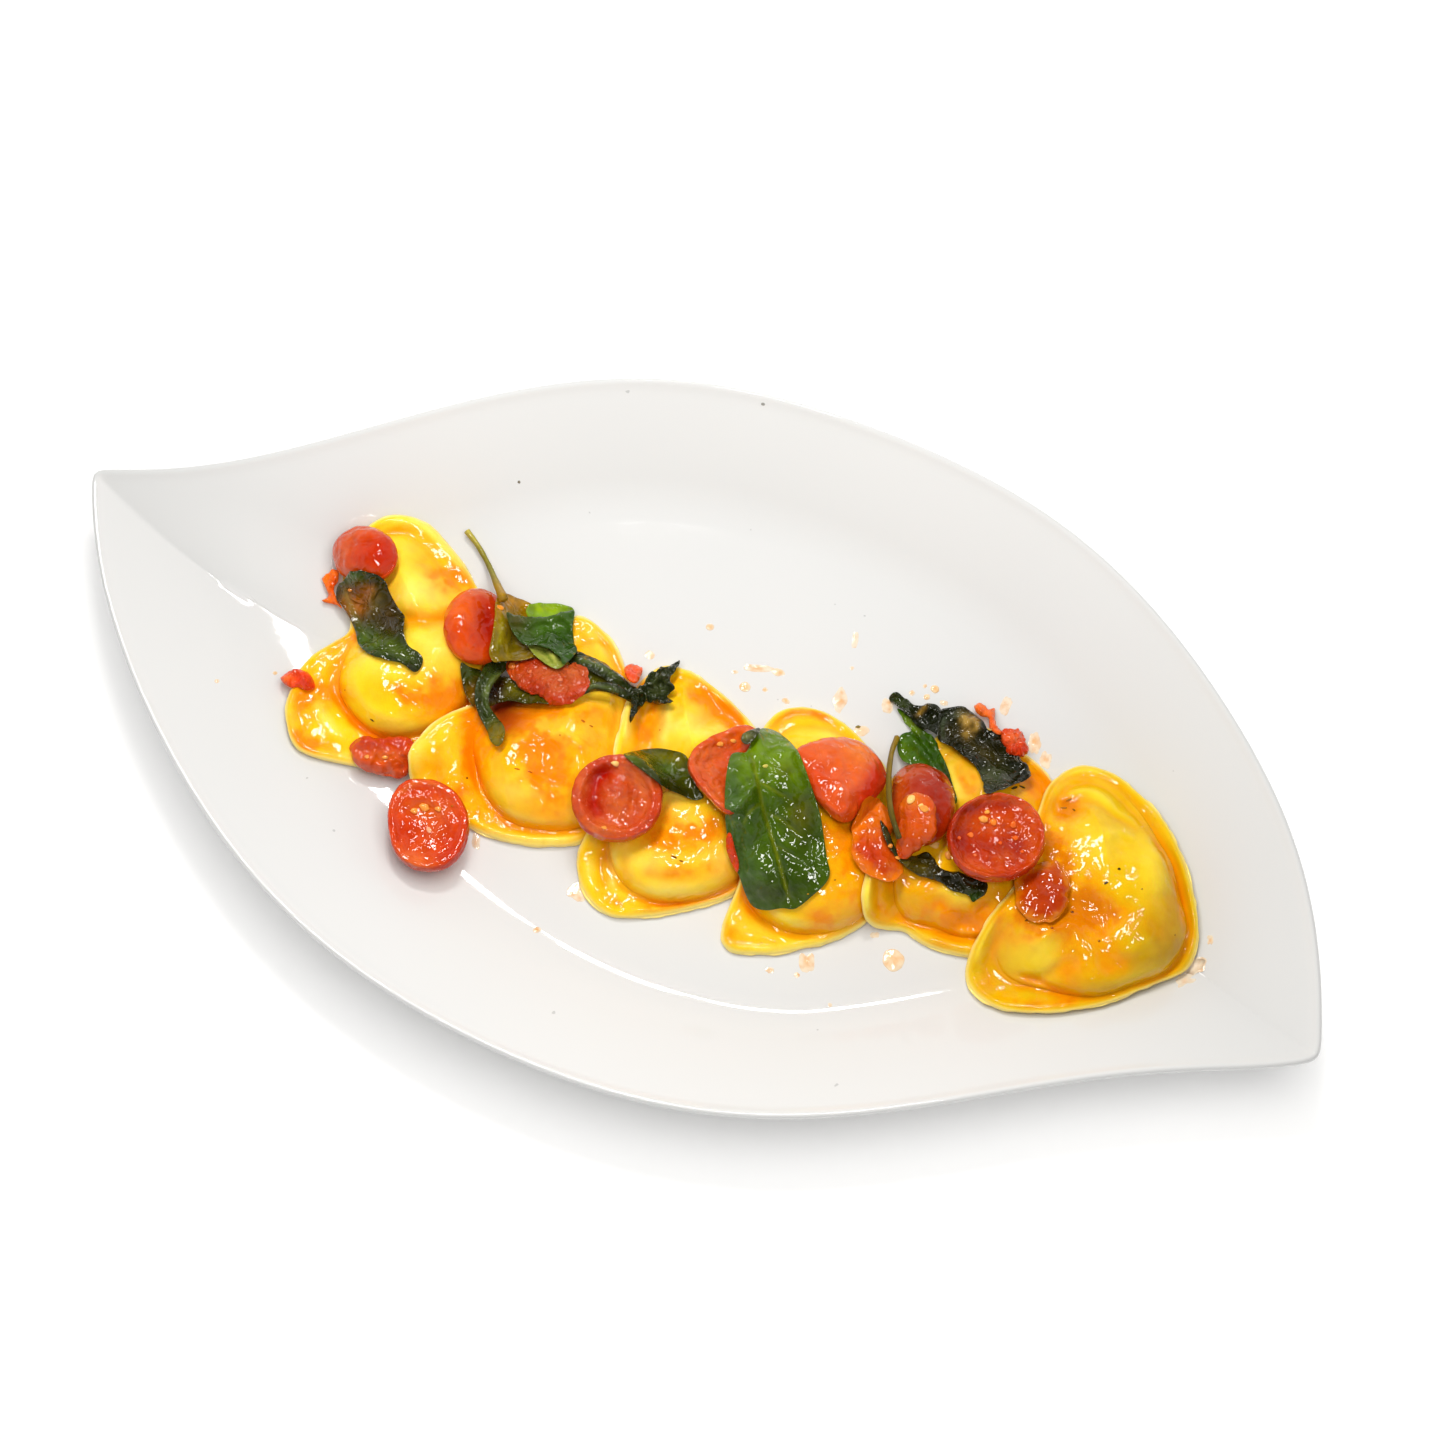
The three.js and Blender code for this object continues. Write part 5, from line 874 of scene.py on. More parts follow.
# dough that lies deep under leaves and tomato
DEEP_SHADE = {
    "raviolo_1": [((104, 30, 10), [(496, 706, 8, 12, 0, 0.95), (508, 702, 9, 6, 0, 0.7)]), ((176, 72, 18), [(514, 713, 10, 9, -30, 0.8), (503, 723, 6, 7, 0, 0.6)])],
    "raviolo_2": [((186, 80, 18), [(514, 714, 13, 11, -30, 0.85), (503, 725, 8, 8, 0, 0.7)]), ((104, 30, 10), [(498, 708, 9, 12, 0, 0.95), (510, 702, 10, 6, 0, 0.8)])],
}
# per-raviolo colour multipliers: a blue cut for all, and painted shade that darkens raviolo_6, and raviolo_5 a little,
# at the shaded right end
TONE_AND_PAINTED_SHADE = {"raviolo_6": (0.87, 0.87, 0.25), "raviolo_5": (0.92, 1.0, 0.3), "raviolo_4": (0.95, 1.04, 0.4)}
SHADED = {"raviolo_6": [(1165, 935, 26, 34, 20, 0.85), (1130, 968, 40, 14, -20, 0.55), (1060, 985, 40, 12, 10, 0.5), (990, 960, 18, 26, 20, 0.4), (1178, 890, 10, 30, 0, 0.5)],
          "raviolo_5": [(900, 900, 40, 14, 15, 0.35)], "raviolo_4": [(850, 880, 30, 34, 0, 0.3)]}


def crispness(item, x, y):
    a = np.degrees(np.arctan2(y - item["c"][1], x - item["c"][0])) - item["crisp"]
    return 1 - ss(55, 115, np.abs((a + 180) % 360 - 180))


def raviolo_top(key, x, y, E):
    """height of the top face, and what the painting needs"""
    it = RAVIOLI[key]
    d = inside_dist(it["po"], x, y)
    f = inside_dist(it["pf"], x, y)
    dd = np.clip(d, 0, None)
    edge = 0.85 + 1.75 * np.sqrt(np.clip(1 - (1 - np.clip(dd / 2.4, 0, 1)) ** 2, 0, 1))
    cr = crispness(it, x, y)
    hard = np.sqrt(np.clip(1 - (1 - np.clip(f / 15, 0, 1)) ** 2, 0, 1))
    soft = 0.9 * ss(-2.5, 19, f) + 0.1 * ss(-1.5, 5, f)
    dome = (it["H"] - 2.6) * (cr * hard + (1 - cr) * soft)
    b = sum(gauss(x, y, q) for q in it["bumps"])
    w = ss(-2.5, 3.5, f)
    up = sum(gauss(x, y, q) for q in it["bumps"] if q[5] > 1.7)
    T = np.maximum(edge + dome + b * w + np.clip(up, 0, None) * (1 - w) * ss(0, 4, dd), 0.85)
    px, py = to_view(x, y, E + GAP + T)
    inner = ss(0.3, 2.2, dd)
    relief = marks(px, py, RELIEF[key])
    press = -0.45 * np.exp(-(((f + 0.9) / 1.0) ** 2)) * (0.35 + 0.65 * cr)
    roll = 0.30 * np.exp(-(((dd - 1.5) / 0.7) ** 2))
    lumps = 0.42 * noise(x / 9.0, y / 9.0, 3.1, 11) + 0.22 * noise(x / 4.2, y / 4.2, 1.7, 12) + 0.07 * noise(x / 1.8, y / 1.8, 0.3, 13)
    r = (relief + press) * inner + roll + lumps * (0.25 + 0.75 * ss(-2, 6, f)) * inner
    return E + GAP + np.maximum(T + r, 0.8), dict(d=d, f=f, cr=cr, px=px, py=py, relief=relief + 0.5 * np.minimum(b, 0) + 1.3 * press + 0.5 * lumps)


def raviolo_colour(key, q, x, y):
    px, py, d, f = q["px"], q["py"], q["d"], q["f"]
    n1 = fbm(x / 5.0, y / 5.0, 0.0, 31, 3)
    n2 = fbm(x / 1.7, y / 1.7, 0.0, 37, 2)
    col = np.broadcast_to(srgb(BASE[key]), (len(x), 3)).copy()
    lay = lambda c, m: c[0] * (1 - m[:, None]) + srgb(c[1]) * m[:, None]
    shade = np.clip(marks(px, py, SHADED.get(key, [])) * (1 + 0.25 * n1), 0, 1)
    col = lay((col, OLIVE), shade * 0.8)
    # light-coloured dough together with painted light on dome tops and painted highlight patches; raised ridges (crest)
    # are painted lighter too
    pale = np.clip(marks(px, py, PALE_AND_LIT_PATCHES[key]) * (1.0 + 0.25 * n1 + 0.15 * n2), 0, 1)
    rim = np.clip(1 - d / 1.6, 0, 1) ** 1.1 * 0.8
    crest = np.clip(q["relief"] * 0.35, 0, 0.4)
    col = lay((col, PALE), np.clip(np.maximum(pale, rim) + crest, 0, 1) * 0.92)
    sauce = marks(px, py, SAUCE[key]) * (1.0 + 0.35 * n1 + 0.25 * n2)
    groove = np.clip(-q["relief"] * 0.5, 0, 0.8) + 0.35 * np.exp(-(((f + 0.4) / 1.2) ** 2))
    col = lay((col, GROOVE), np.clip(groove * 1.2, 0, 0.9) * ss(-0.1, 1.2, d))
    sauce = np.clip(sauce * 0.9 + 0.38 * groove + 0.08 * n1 + 0.03, 0, 1) * ss(-0.1, 1.2, d)
    col = lay((col, ORANGE), np.clip(sauce * 1.15, 0, 1) * 0.95)
    # raviolo_6 gets a darker thick-sauce colour: painted shade, like its multiplier
    col = lay((col, (196, 92, 10) if key == "raviolo_6" else DEEP), np.clip((sauce - 0.55) * 1.3, 0, 1) * 0.75)
    for c, where in DEEP_SHADE.get(key, []):
        col = lay((col, c), np.clip(marks(px, py, where), 0, 1))
    cream = np.clip(np.maximum(pale, rim), 0, 1)[:, None] * np.array([0.0, 0.0, 0.0 if key == "raviolo_6" else 0.4])
    edge = np.clip(1 - d / 0.8, 0, 1)[:, None] * 0.7
    return col * (np.array(TONE_AND_PAINTED_SHADE.get(key, (1.0, 1.0, 0.48))) + cream) * (1 - edge) + srgb((250, 224, 142)) * edge, sauce


def window(P, margin=2):
    """the part of the height map that the polygon P covers"""
    i0, j0 = max(0, int(P[:, 0].min() - X0) - margin), max(0, int(P[:, 1].min() - Y0) - margin)
    i1, j1 = min(NX, int(P[:, 0].max() - X0) + margin + 2), min(NY, int(P[:, 1].max() - Y0) + margin + 2)
    return slice(j0, j1), slice(i0, i1)


def lay_raviolo(key):
    global H
    it = RAVIOLI[key]
    it["po"], it["pf"] = polar_curve(it["c"], it["out"], 144), polar_curve(it["c"], it["fill"], 144)
    E = np.maximum(blur(highest(H, 2), 2), H)
    n = 300
    a = 2 * np.pi * np.arange(n) / n
    ro = closed_radii(it["out"], n)
    seed = int(key[-1])
    flutter = 0.35 * noise(ro * np.cos(a) / 5.0, ro * np.sin(a) / 5.0, seed * 3.3, 5) + 0.15 * noise(ro * np.cos(a) / 2.0, ro * np.sin(a) / 2.0, seed, 6)
    rf = np.minimum(closed_radii(it["fill"], n), ro - 1.5)
    t1 = 1 - (1 - np.linspace(0, 1, 62)[1:]) ** 1.45
    t2 = 0.5 - 0.5 * np.cos(np.pi * np.linspace(0, 1, 30)[1:])
    radii = [rf * t for t in t1] + [rf + (ro - rf) * t for t in t2]
    radii = [r + flutter * ss(0.75, 1.0, r / ro) for r in radii]
    x = np.concatenate([it["c"][0] + r * np.cos(a) for r in radii] + [[it["c"][0]]])
    y = np.concatenate([it["c"][1] + r * np.sin(a) for r in radii] + [[it["c"][1]]])
    z, q = raviolo_top(key, x, y, sample(E, x, y))
    col, sauce = raviolo_colour(key, q, x, y)
    rings = len(radii)
    top = np.c_[x, y, z]
    # edge and underside
    re = radii[-1]
    under = []
    for dr, dz in ((0.22, 0.55), (0.2, 0.28), (-0.15, 0.02)):
        xx, yy = it["c"][0] + (re + dr) * np.cos(a), it["c"][1] + (re + dr) * np.sin(a)
        under.append(np.c_[xx, yy, sample(E, xx, yy) + GAP + dz])
    for s in (0.93, 0.82, 0.68, 0.5, 0.3, 0.12):
        xx, yy = it["c"][0] + re * s * np.cos(a), it["c"][1] + re * s * np.sin(a)
        under.append(np.c_[xx, yy, sample(E, xx, yy) + GAP])
    centre = np.array([[it["c"][0], it["c"][1], float(sample(E, it["c"][0], it["c"][1])) + GAP]])
    rows = [top[i * n : (i + 1) * n] for i in range(rings)] + under
    V = np.vstack(rows + [top[-1:], centre])
    F = polar_faces(n, len(rows))
    ucol = np.broadcast_to(srgb(BASE[key]) * 0.2 + srgb((252, 226, 142)) * 0.8, (len(under) * n, 3))
    C = np.vstack([col[:-1], ucol, col[-1:], ucol[:1]])
    wet = np.clip(0.15 + 1.1 * sauce + 0.35 * fbm(x / 7.0, y / 7.0, 0.0, 59, 2), 0, 1)
    wet = np.r_[wet[:-1], np.full(len(under) * n, 0.3), wet[-1], 0.3]
    mesh_object("pasta_" + key, V, F, PASTA, tint=C, extra={"wet": wet}, node=key)
    w = window(it["po"])
    gx, gy, e = GX[w], GY[w], E[w]
    m = inside_dist(it["po"], gx, gy) > 0
    zz, _ = raviolo_top(key, gx[m], gy[m], e[m])
    h = H[w].copy()
    h[m] = np.maximum(h[m], zz)
    H = H.copy()
    H[w] = h

# ---------------------------------------------------------------- tomatoes
def fit_plane(E, pts):
    c = pts.mean(0)
    m = inside_dist(c + (pts - c) * 0.82, GX, GY) > 0
    x, y, z = GX[m] - c[0], GY[m] - c[1], E[m]
    A = np.array([[len(z), x.sum(), y.sum()], [x.sum(), (x * x).sum(), (x * y).sum()], [y.sum(), (x * y).sum(), (y * y).sum()]])
    a, b, d = np.linalg.solve(A, np.array([z.sum(), (x * z).sum(), (y * z).sum()]))
    s = math.hypot(b, d)
    if s > 0.42:
        b, d = b * 0.42 / s, d * 0.42 / s
    r = np.sort(z - (a + b * x + d * y))
    return c, a + r[int(0.8 * (len(z) - 1))], b, d


def share_of_radius(item, x, y):
    dx, dy = x - item["c"][0], y - item["c"][1]
    R = np.asarray(item["out"], float)
    K = len(R)
    t = (np.arctan2(dy, dx) / (2 * np.pi) % 1.0) * K
    i = np.floor(t).astype(int) % K
    u = t - np.floor(t)
    p0, p1, p2, p3 = R[(i - 1) % K], R[i], R[(i + 1) % K], R[(i + 2) % K]
    v = 0.5 * (2 * p1 + (p2 - p0) * u + (2 * p0 - 5 * p1 + 4 * p2 - p3) * u * u + (3 * p1 - p0 - 3 * p2 + p3) * u**3)
    return np.hypot(dx, dy) / v


def profile(kind, th, rho):
    rho = np.clip(rho, 0, 1)
    if kind == "skin":
        e = 0.34 * th
        return e + (th - e) * np.sqrt(np.clip(1 - rho**2.2, 0, 1)), e * rho**4
    if kind == "cut":
        e = 0.72 * th
        top = np.where(rho > 0.93, e + (th - e) * np.sqrt(np.clip(1 - ((rho - 0.93) / 0.07) ** 2, 0, 1)), th - 0.9 * (1 - (rho / 0.93) ** 2))
        return top, e * rho**3.2
    e = 0.3 * th
    return e + (th - e) * np.sqrt(np.clip(1 - rho**2.6, 0, 1)), e * rho**3


# wall: height and place of the ring of flesh; bowl: depth inside it; lumps: amount and size in mm; marks in the view as for the ravioli
TOM = {
    "tomato_1": dict(mat="skin", base=(214, 72, 22), lumps=(0.30, 5.0), relief=[(388, 568, 8, 11, 0, -1.6), ([(352, 540), (362, 533), (376, 534)], 5, 0.5), ([(348, 572), (366, 577), (384, 579)], 4, -0.8), (366, 556, 9, 8, 0, 0.5)],
                     # tomato_1: the pink streak at the left edge is painted sheen; the dark red by the dent is painted
                     # shade
                     paint=[((228, 96, 34), [(368, 580, 26, 8, 0, 0.7), (372, 532, 16, 5, 0, 0.6), (345, 570, 10, 14, 0, 0.5)]), ((196, 42, 14), [(385, 552, 12, 18, 0, 0.8), (362, 556, 16, 12, 0, 0.45)]), ((226, 112, 84), [(345, 548, 5, 16, 30, 0.5)])]),
    "tomato_2": dict(mat="skin", base=(222, 76, 22), lumps=(0.30, 5.0), relief=[(486, 622, 9, 16, 0, -2.0), ([(470, 592), (488, 600), (494, 612)], 4, 0.5), ([(452, 628), (464, 640), (474, 650)], 5, 0.5)],
                     # tomato_2: the dark red in the dent is painted shade; the pink stroke along the top is painted
                     # sheen
                     paint=[((234, 104, 26), [(456, 606, 14, 14, 0, 0.9), (470, 655, 14, 6, 20, 0.5)]), ((172, 26, 16), [(486, 616, 9, 18, 0, 0.9), (490, 640, 8, 14, 0, 0.4)]), ((230, 120, 84), [([(466, 596), (480, 592), (492, 596)], 3, 0.5)])]),
    "tomato_3": dict(mat="cut", base=(222, 70, 34), lumps=(0.35, 4.0), wall=(0.45, 0.86), bowl=0.8, relief=[([(396, 800), (420, 797), (440, 806), (452, 826)], 5, 0.6), ([(402, 838), (420, 850), (430, 866)], 6, -0.6), (424, 812, 12, 10, 0, -0.5), ([(432, 784), (438, 800)], 4, -0.6), (440, 842, 12, 14, 0, 0.4)],
                     # tomato_3: the pink marks and the pink stroke along the top rim are painted sheen
                     paint=[((230, 110, 84), [(413, 862, 16, 9, 10, 0.8), (432, 826, 12, 14, 0, 0.45), (446, 806, 8, 8, 0, 0.4)]), ((226, 104, 40), [(422, 808, 12, 7, 0, 0.8)]), ((200, 40, 22), [(452, 850, 12, 14, 0, 0.6), (410, 826, 12, 8, 0, 0.5)]), ((236, 120, 90), [([(396, 796), (420, 782), (446, 788)], 3, 0.6)])]),
    "tomato_4": dict(mat="cut", base=(208, 74, 50), lumps=(0.40, 2.2), wall=(0.9, 0.80), bowl=1.5, relief=[([(612, 768), (600, 774), (594, 788), (595, 804), (604, 816)], 6, -1.9), (616, 795, 9, 13, 0, 1.9), ([(628, 776), (634, 792), (630, 812)], 3.5, -1.0), ([(620, 782), (626, 788), (624, 798)], 2.5, 0.5), (626, 822, 10, 5, 0, -0.8)],
                     # tomato_4: the dark red along the trench is painted shade in the recess over the core's deep red;
                     # the pink marks are partly pink flesh, partly painted sheen and highlights
                     paint=[((190, 14, 12), [([(618, 768), (600, 774), (592, 788), (594, 806), (606, 818)], 8, 1.0), (580, 790, 8, 20, 0, 0.3)]), ((222, 110, 88), [(632, 772, 12, 8, 35, 0.7), (646, 790, 7, 16, 0, 0.7), (628, 818, 16, 9, 0, 0.6), (586, 826, 14, 8, 30, 0.5), (582, 782, 6, 14, 0, 0.6), (620, 802, 12, 10, 0, 0.5), (608, 830, 14, 6, 0, 0.6)]), ((206, 48, 22), [(640, 826, 16, 12, -30, 0.5), (655, 800, 5, 20, 0, 0.4)])]),
    "tomato_5": dict(mat="cut", base=(216, 74, 46), lumps=(0.45, 2.6), wall=(0.4, 0.84), bowl=0.7, relief=[([(702, 750), (716, 742), (730, 744)], 4, 0.6), ([(700, 764), (716, 758), (728, 752)], 4, -0.6), (706, 775, 10, 8, 0, 0.4)],
                     # tomato_5: the pink marks are painted sheen
                     paint=[((228, 112, 86), [(708, 772, 14, 12, 0, 0.6), (712, 795, 12, 8, 40, 0.7), (705, 752, 12, 6, -20, 0.6)]), ((228, 96, 28), [(722, 742, 14, 8, 0, 0.8), (745, 732, 12, 6, 0, 0.9)]), ((206, 52, 34), [(700, 785, 10, 10, 0, 0.4)])]),
    "tomato_6": dict(mat="skin", base=(224, 84, 38), lumps=(0.45, 4.0), relief=[(850, 766, 5, 5, 0, -0.8), (832, 772, 9, 5, 20, -0.6), ([(822, 800), (838, 814), (850, 806)], 5, 0.9), ([(815, 805), (828, 812), (838, 820)], 4, -0.5), (850, 790, 16, 10, -20, 0.6)],
                     # tomato_6: the pink marks are painted sheen
                     paint=[((240, 124, 34), [(862, 750, 22, 12, 15, 0.9), (872, 764, 10, 14, 0, 0.5)]), ((232, 112, 86), [(850, 788, 18, 10, -25, 0.75), (824, 752, 14, 9, 0, 0.6), (838, 768, 10, 6, 0, 0.4)]), ((214, 40, 30), [(876, 776, 8, 18, 15, 0.9), (862, 796, 10, 8, 0, 0.5), (816, 782, 10, 12, 0, 0.35)]), ((206, 70, 20), [(822, 790, 10, 14, 0, 0.4)])]),
    "tomato_7": dict(mat="skin", base=(172, 46, 10), lumps=(0.25, 5.0), relief=[([(898, 778), (920, 769), (940, 775)], 5, 0.4), (942, 815, 6, 18, 0, -0.5)],
                     # tomato_7: the pink stroke at the right edge is painted sheen; the dark red by the groove is
                     # painted shade
                     paint=[((206, 92, 40), [(900, 800, 6, 24, 0, 0.8), (912, 772, 12, 5, -10, 0.5)]), ((150, 30, 14), [(938, 800, 8, 20, 0, 0.6)]), ((214, 130, 90), [([(944, 776), (952, 792), (953, 808)], 2.5, 0.5)])]),
    "tomato_8": dict(mat="cut", base=(206, 64, 18), lumps=(0.36, 2.6), wall=(0.75, 0.92), bowl=1.8, relief=[([(973, 840), (983, 850), (990, 862)], 3.5, 0.8), ([(990, 862), (996, 872)], 3, 0.5), (1002, 852, 9, 7, 0, 0.7), (1012, 842, 14, 8, 0, -0.6), (962, 832, 7, 18, 0, -0.6), ([(985, 820), (1002, 818), (1016, 826)], 5, 0.4), (1000, 838, 5, 5, 0, 0.3)],
                     # tomato_8: the dark red marks inside the rim are painted shade in the hollows; the light stroke
                     # round the rim is a painted highlight
                     paint=[((150, 8, 2), [(960, 828, 11, 22, 12, 0.9), (1014, 848, 24, 10, 0, 0.85), (1000, 879, 28, 5, 0, 0.7), (985, 806, 26, 4, -8, 0.5)]), ((222, 96, 60), [([(956, 806), (975, 799), (1000, 797), (1025, 806), (1038, 822)], 3.5, 0.7), (975, 868, 16, 6, 25, 0.6), (1003, 856, 8, 8, 0, 0.5)]), ((220, 92, 28), [(990, 822, 26, 8, 0, 0.5), (1035, 845, 8, 22, 0, 0.55)])]),
    "pulp_1": dict(mat="skin", base=(214, 68, 24), lumps=(0.9, 2.6), relief=[([(360, 742), (372, 740), (380, 748)], 4, 0.6), (390, 762, 16, 6, 0, -0.5)],
                   # pulp_1: the pink marks are painted sheen
                   paint=[((232, 112, 96), [(386, 772, 20, 4, 0, 0.7), (357, 752, 6, 8, 0, 0.5)]), ((190, 44, 14), [(385, 745, 22, 6, 0, 0.6)]), ((234, 120, 40), [(385, 757, 18, 6, 0, 0.5)])]),
    "pulp_2": dict(mat="pulp", base=(196, 62, 26), lumps=(0.7, 2.6), relief=[([(560, 668), (566, 680), (564, 692)], 3.5, -0.7), ([(522, 660), (530, 672), (528, 684)], 3.5, -0.5), (575, 672, 9, 7, 0, 0.4), (542, 668, 8, 6, 0, 0.4)],
                   # pulp_2: the pink marks are painted sheen
                   paint=[((206, 110, 90), [(575, 672, 14, 8, 0, 0.7), (545, 672, 12, 6, 0, 0.5), (556, 688, 10, 5, 0, 0.6), (515, 680, 8, 6, 0, 0.4)]), ((204, 84, 24), [(512, 664, 8, 6, 0, 0.9)]), ((160, 34, 14), [(530, 660, 14, 4, 0, 0.6), (540, 690, 12, 5, 20, 0.5)])]),
    "pulp_3": dict(mat="skin", base=(214, 84, 24), melt=(240, 132, 26), lumps=(0.5, 3.4), relief=[([(856, 838), (866, 846), (872, 860)], 4, 0.5), (862, 826, 14, 8, 0, -0.4), ([(862, 822), (870, 818), (880, 820)], 3, 0.4), ([(878, 830), (882, 842), (888, 852)], 3, 0.4)],
                   paint=[((206, 62, 34), [(866, 848, 10, 12, -30, 0.7), (874, 858, 10, 8, 0, 0.5)]), ((240, 128, 30), [(868, 822, 14, 10, 0, 0.8), (885, 812, 8, 10, 0, 0.4)]), ((190, 70, 18), [(890, 868, 12, 8, 30, 0.6)])]),
    "pulp_4": dict(mat="skin", base=(190, 66, 6), melt=(220, 132, 12), lumps=(0.35, 3.6), relief=[(1038, 880, 20, 8, -40, -0.3), ([(1024, 884), (1032, 890), (1040, 888)], 3, 0.35), ([(1045, 884), (1054, 886)], 3, 0.3)],
                   paint=[((204, 88, 20), [(1030, 890, 10, 8, 0, 0.5)]), ((210, 96, 6), [(1056, 868, 9, 10, 0, 0.6)]), ((172, 44, 2), [(1046, 892, 12, 14, 0, 0.5), (1022, 880, 10, 5, -20, 0.7)])]),
    "pulp_5": dict(mat="cut", base=(218, 84, 22), lumps=(0.20, 4.0), relief=[(918, 815, 10, 16, 0, 0.5), ([(904, 800), (902, 820), (903, 840)], 3, -0.5)],
                   paint=[((226, 130, 60), [(912, 800, 7, 6, 0, 0.8)]), ((222, 96, 40), [(926, 822, 8, 14, 0, 0.5)]), ((186, 70, 30), [(912, 846, 12, 7, 0, 0.8)])]),
    "pulp_6": dict(mat="pulp", base=(222, 66, 28), lumps=(0.7, 2.0), relief=[],
                   # pulp_6: the pink mark is painted sheen
                   paint=[((240, 130, 100), [(1012, 738, 8, 5, 0, 0.5)]), ((206, 44, 22), [(1018, 748, 8, 5, 0, 0.5)])]),
}
TMAT = {"skin": (SKIN, "tomato_skin"), "cut": (CUT, "tomato_cut"), "pulp": (PULP, "tomato_pulp")}


def tomato_top(key, x, y, rho, plane, E):
    it, s = TOMATOES[key], TOM[key]
    c, a0, b, d = plane
    base = a0 + b * (x - c[0]) + d * (y - c[1]) + GAP
    top, _ = profile(it["kind"], it["th"], rho)
    z = base + top
    px, py = to_view(x, y, z)
    r = marks(px, py, s["relief"]) + s["lumps"][0] * (noise(x / s["lumps"][1], y / s["lumps"][1], 0.0, len(key) + int(key[-1])) + 0.5 * noise(x * 2.2 / s["lumps"][1], y * 2.2 / s["lumps"][1], 2.0, 3))
    if "wall" in s:
        h, at = s["wall"]
        r = r + h * np.exp(-(((rho - at) / 0.085) ** 2)) - s["bowl"] * np.clip(1 - (rho / (at - 0.04)) ** 2, 0, 1) ** 0.7
    z = z + r * ss(1.0, 0.93, rho)
    return np.maximum(z, E + GAP + 1.0), px, py


def lay_tomato(key):
    global H
    it, s = TOMATOES[key], TOM[key]
    E = np.maximum(blur(highest(H, 1), 1), H)
    pc = polar_curve(it["c"], it["out"], 56)
    plane = fit_plane(E, pc)
    n = 168
    a = 2 * np.pi * np.arange(n) / n
    ro = closed_radii(it["out"], n)
    ro = ro + (0.5 if it["kind"] == "pulp" else 0.12) * noise(ro * np.cos(a) / 2.2, ro * np.sin(a) / 2.2, 1.0, 17)
    if s["mat"] == "pulp":
        ro = ro + 0.3 * noise(ro * np.cos(a) / 0.9, ro * np.sin(a) / 0.9, 1.0, 18)
    shares = np.r_[np.linspace(0, 0.80, 32)[1:], 0.80 + 0.20 * np.sin(np.linspace(0, np.pi / 2, 18)[1:])]
    X = np.concatenate([it["c"][0] + ro * t * np.cos(a) for t in shares] + [[it["c"][0]]])
    Y = np.concatenate([it["c"][1] + ro * t * np.sin(a) for t in shares] + [[it["c"][1]]])
    rho = np.concatenate([np.full(n, t) for t in shares] + [[0.0]])
    e = sample(E, X, Y)
    z, px, py = tomato_top(key, X, Y, rho, plane, e)
    if s["mat"] == "pulp":
        z = z + (0.30 * noise(X / 1.2, Y / 1.2, 0.0, 23) + 0.16 * noise(X / 0.6, Y / 0.6, 0.0, 24)) * ss(1, 0.9, rho)
    top = np.c_[X, Y, z]
    rows = [top[i * n : (i + 1) * n] for i in range(len(shares))]
    c, a0, b, d = plane
    under = []
    for t in (0.985, 0.95, 0.88, 0.76, 0.6, 0.4, 0.2):
        xx, yy = it["c"][0] + ro * t * np.cos(a), it["c"][1] + ro * t * np.sin(a)
        _, bot = profile(it["kind"], it["th"], np.full(n, t))
        zz = np.maximum(a0 + b * (xx - c[0]) + d * (yy - c[1]) + GAP + bot, sample(E, xx, yy) + GAP * 0.8)
        under.append(np.c_[xx, yy, zz])
    centre = np.array([[it["c"][0], it["c"][1], max(a0 + b * (it["c"][0] - c[0]) + d * (it["c"][1] - c[1]) + GAP, float(sample(E, *it["c"])) + GAP * 0.8)]])
    V = np.vstack(rows + under + [top[-1:], centre])
    F = polar_faces(n, len(rows) + len(under))
    n1 = fbm(X / 2.6, Y / 2.6, z / 3.0, 41, 3)
    col = painted(px, py, srgb(s["base"]), s["paint"])
    col = col * (1 + 0.14 * n1[:, None] * np.array([0.5, 1.0, 1.0]))
    if it["kind"] == "cut":
        ring = np.clip((rho - 0.945) / 0.03, 0, 1)[:, None] * 0.7
        col = col * (1 - ring) + srgb((196, 40, 16)) * ring
    ucol = np.broadcast_to(srgb((198, 40, 16) if it["kind"] == "cut" else s["base"]), (len(under) * n, 3))
    if "melt" in s:
        rim = (ss(0.62, 1.0, rho + 0.12 * n1) * 0.95)[:, None]
        col = col * (1 - rim) + srgb(s["melt"]) * rim
    C = np.vstack([col[:-1], ucol, col[-1:], ucol[:1]]) * (np.array([0.82, 0.76, 0.2]) if s["mat"] == "cut" else np.array([0.83, 0.73, 0.26]))
    m, slot = TMAT[s["mat"]]
    mesh_object({"skin": "tomato_half_", "cut": "tomato_cut_", "pulp": "pulp_lump_"}[it["kind"]] + key, V, F, m, tint=C, node=key)
    w = window(pc)
    gx, gy = GX[w], GY[w]
    rg = share_of_radius(it, gx, gy)
    k = rg < 1
    zz, _, _ = tomato_top(key, gx[k], gy[k], rg[k], plane, E[w][k])
    h = H[w].copy()
    h[k] = np.maximum(h[k], zz)
    H = H.copy()
    H[w] = h


